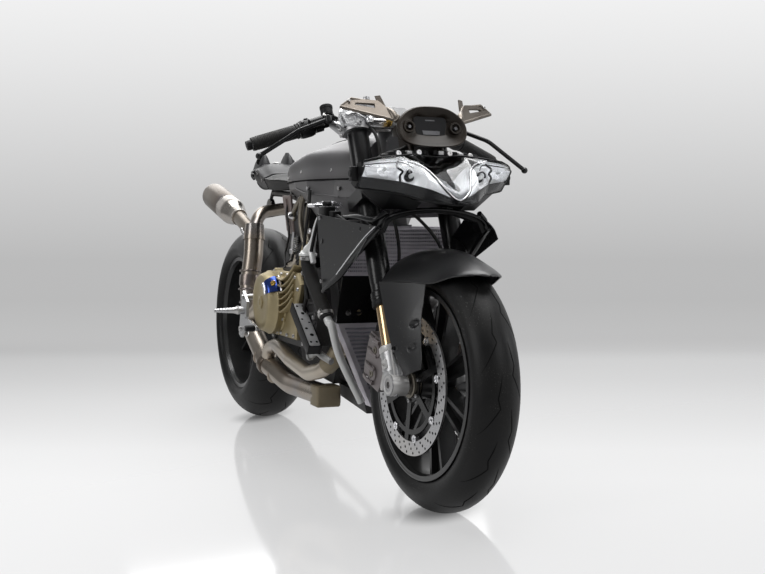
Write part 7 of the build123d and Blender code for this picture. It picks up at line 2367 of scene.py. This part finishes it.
@dataclass
class ShockSpring:
    """Coil spring, body, seats, eyes and nuts of the rear shock, in place of its plain node."""

    low: tuple[float, float, float] = (560, 176, 520)
    high: tuple[float, float, float] = (800, 176, 560)

    def build(self) -> None:
        """Make the shock."""
        a, b = np.array(self.low, float), np.array(self.high, float)
        u, v, w = axes_of(b - a)
        long = float(np.linalg.norm(b - a))
        s = np.linspace(0, 1, 420)[:, None]
        turns = 7.5
        helix = u * np.cos(s * 2 * np.pi * turns) + v * np.sin(s * 2 * np.pi * turns)
        coil = a + w * (48 + (184 - 48) * s) + 26.5 * helix
        spring = emit("shock_spring", [tube(coil, 4.9, 12)], Skin.GOLD, 60)
        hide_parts("shock")
        body = [turned(a, w, ((15.6, 8), (15.6, 40), (31.5, 41), (31.5, 46), (24, 48), (15, 50), (15, 120), (10, 121),
                              (10, 184), (24, 185), (31.5, 187), (31.5, 193), (16, 195), (16, long - 10)), 44)]
        eyes = [turned(p, (0, 1, 0), ((10, -17.6), (16.8, -17.4), (16.8, 17.4), (10, 17.6)), 36) for p in (a, b)]
        shell = emit("shock_body", body + eyes, Skin.SATIN_BLACK, 40)
        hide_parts("shock")
        emit("shock_bolts", [nut(p + (0, 17, 0), (0, 1, 0), 9, 7) for p in (a, b)], Skin.STEEL)


@dataclass
class Controls:
    """Footpegs, lever arms, toe rubbers and rear-set screws."""

    def build(self) -> None:
        """Make the pegs and levers in place of their plain node, with the rear-set screws."""
        pegs, screws, dark, arms = [], [], [], []
        for side in (-1, 1):
            pegs.append(turned((572, 0, 413), (0, side, 0),
                               ((12, 247), (12.6, 249), (10, 254), (8.6, 262), (7.4, 284), (6.0, 304), (5.0, 315),
                                (5.6, 316), (5.6, 318), (0, 318.4)), 28))
            for k in range(5):
                pegs.append(tube([(572 + 5.2, side * (268 + 9 * k), 419.5 - 0.5 * k),
                                  (572 - 5.2, side * (268 + 9 * k), 419.5 - 0.5 * k)], 1.5, 8))
            for x, z in ((570, 452), (545, 356), (572, 413)):
                screws.append(bolt((x, side * 230.4, z), (0, side, 0), 7, 6))
            dark.append(turned((704, side * 234, 371), (0, side, 0),
                               ((6, 0), (8.4, 1), (9.0, 4), (9.0, 26), (8.2, 28), (0, 28)), 24))
            flat = [(560, 386), (580, 392), (640, 389), (705, 379), (711, 371), (706, 364), (600, 371), (572, 375)]
            low, high = (231, 237.5) if side < 0 else (-237.5, -231)
            arms.append(profile_slab(flat, low, high, upright(), edge=1.4))
        node = emit("peg_skins", pegs, Skin.STEEL, 30)
        lever = emit("lever_arms", arms, Skin.ALLOY, 40)
        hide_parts("foot_controls")
        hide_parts("foot_controls")
        emit("rearset_screws", screws, Skin.STEEL)
        emit("toe_rubbers", dark, Skin.PLASTIC, 40)


ASSEMBLIES: list = [
    Tyre("front", 300.0, 58.0, 60.0, 13, FRONT_WHEEL),
    Tyre("rear", 326.0, 99.0, 103.0, 14, REAR_WHEEL),
    FrontWheelDetail(),
    Fork(),
    Fender(),
    BarEnds(),
    Headlight(),
    FrontBracket(),
    MirrorStays(),
    Bodywork(),
    Engine(),
    Exhaust(),
    Cooling(),
    Swingarm(),
    RearWheelDetail(),
    DriveChain(),
    ShockSpring(),
    Controls(),
]


def main() -> None:
    """Build the stage, the finishes and every sub-assembly."""
    logging.basicConfig(level=logging.INFO, format="%(name)s: %(message)s")
    build_finishes()
    Studio().build()
    for assembly in ASSEMBLIES:
        assembly.build()
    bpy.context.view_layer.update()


if __name__ == "__main__":
    main()
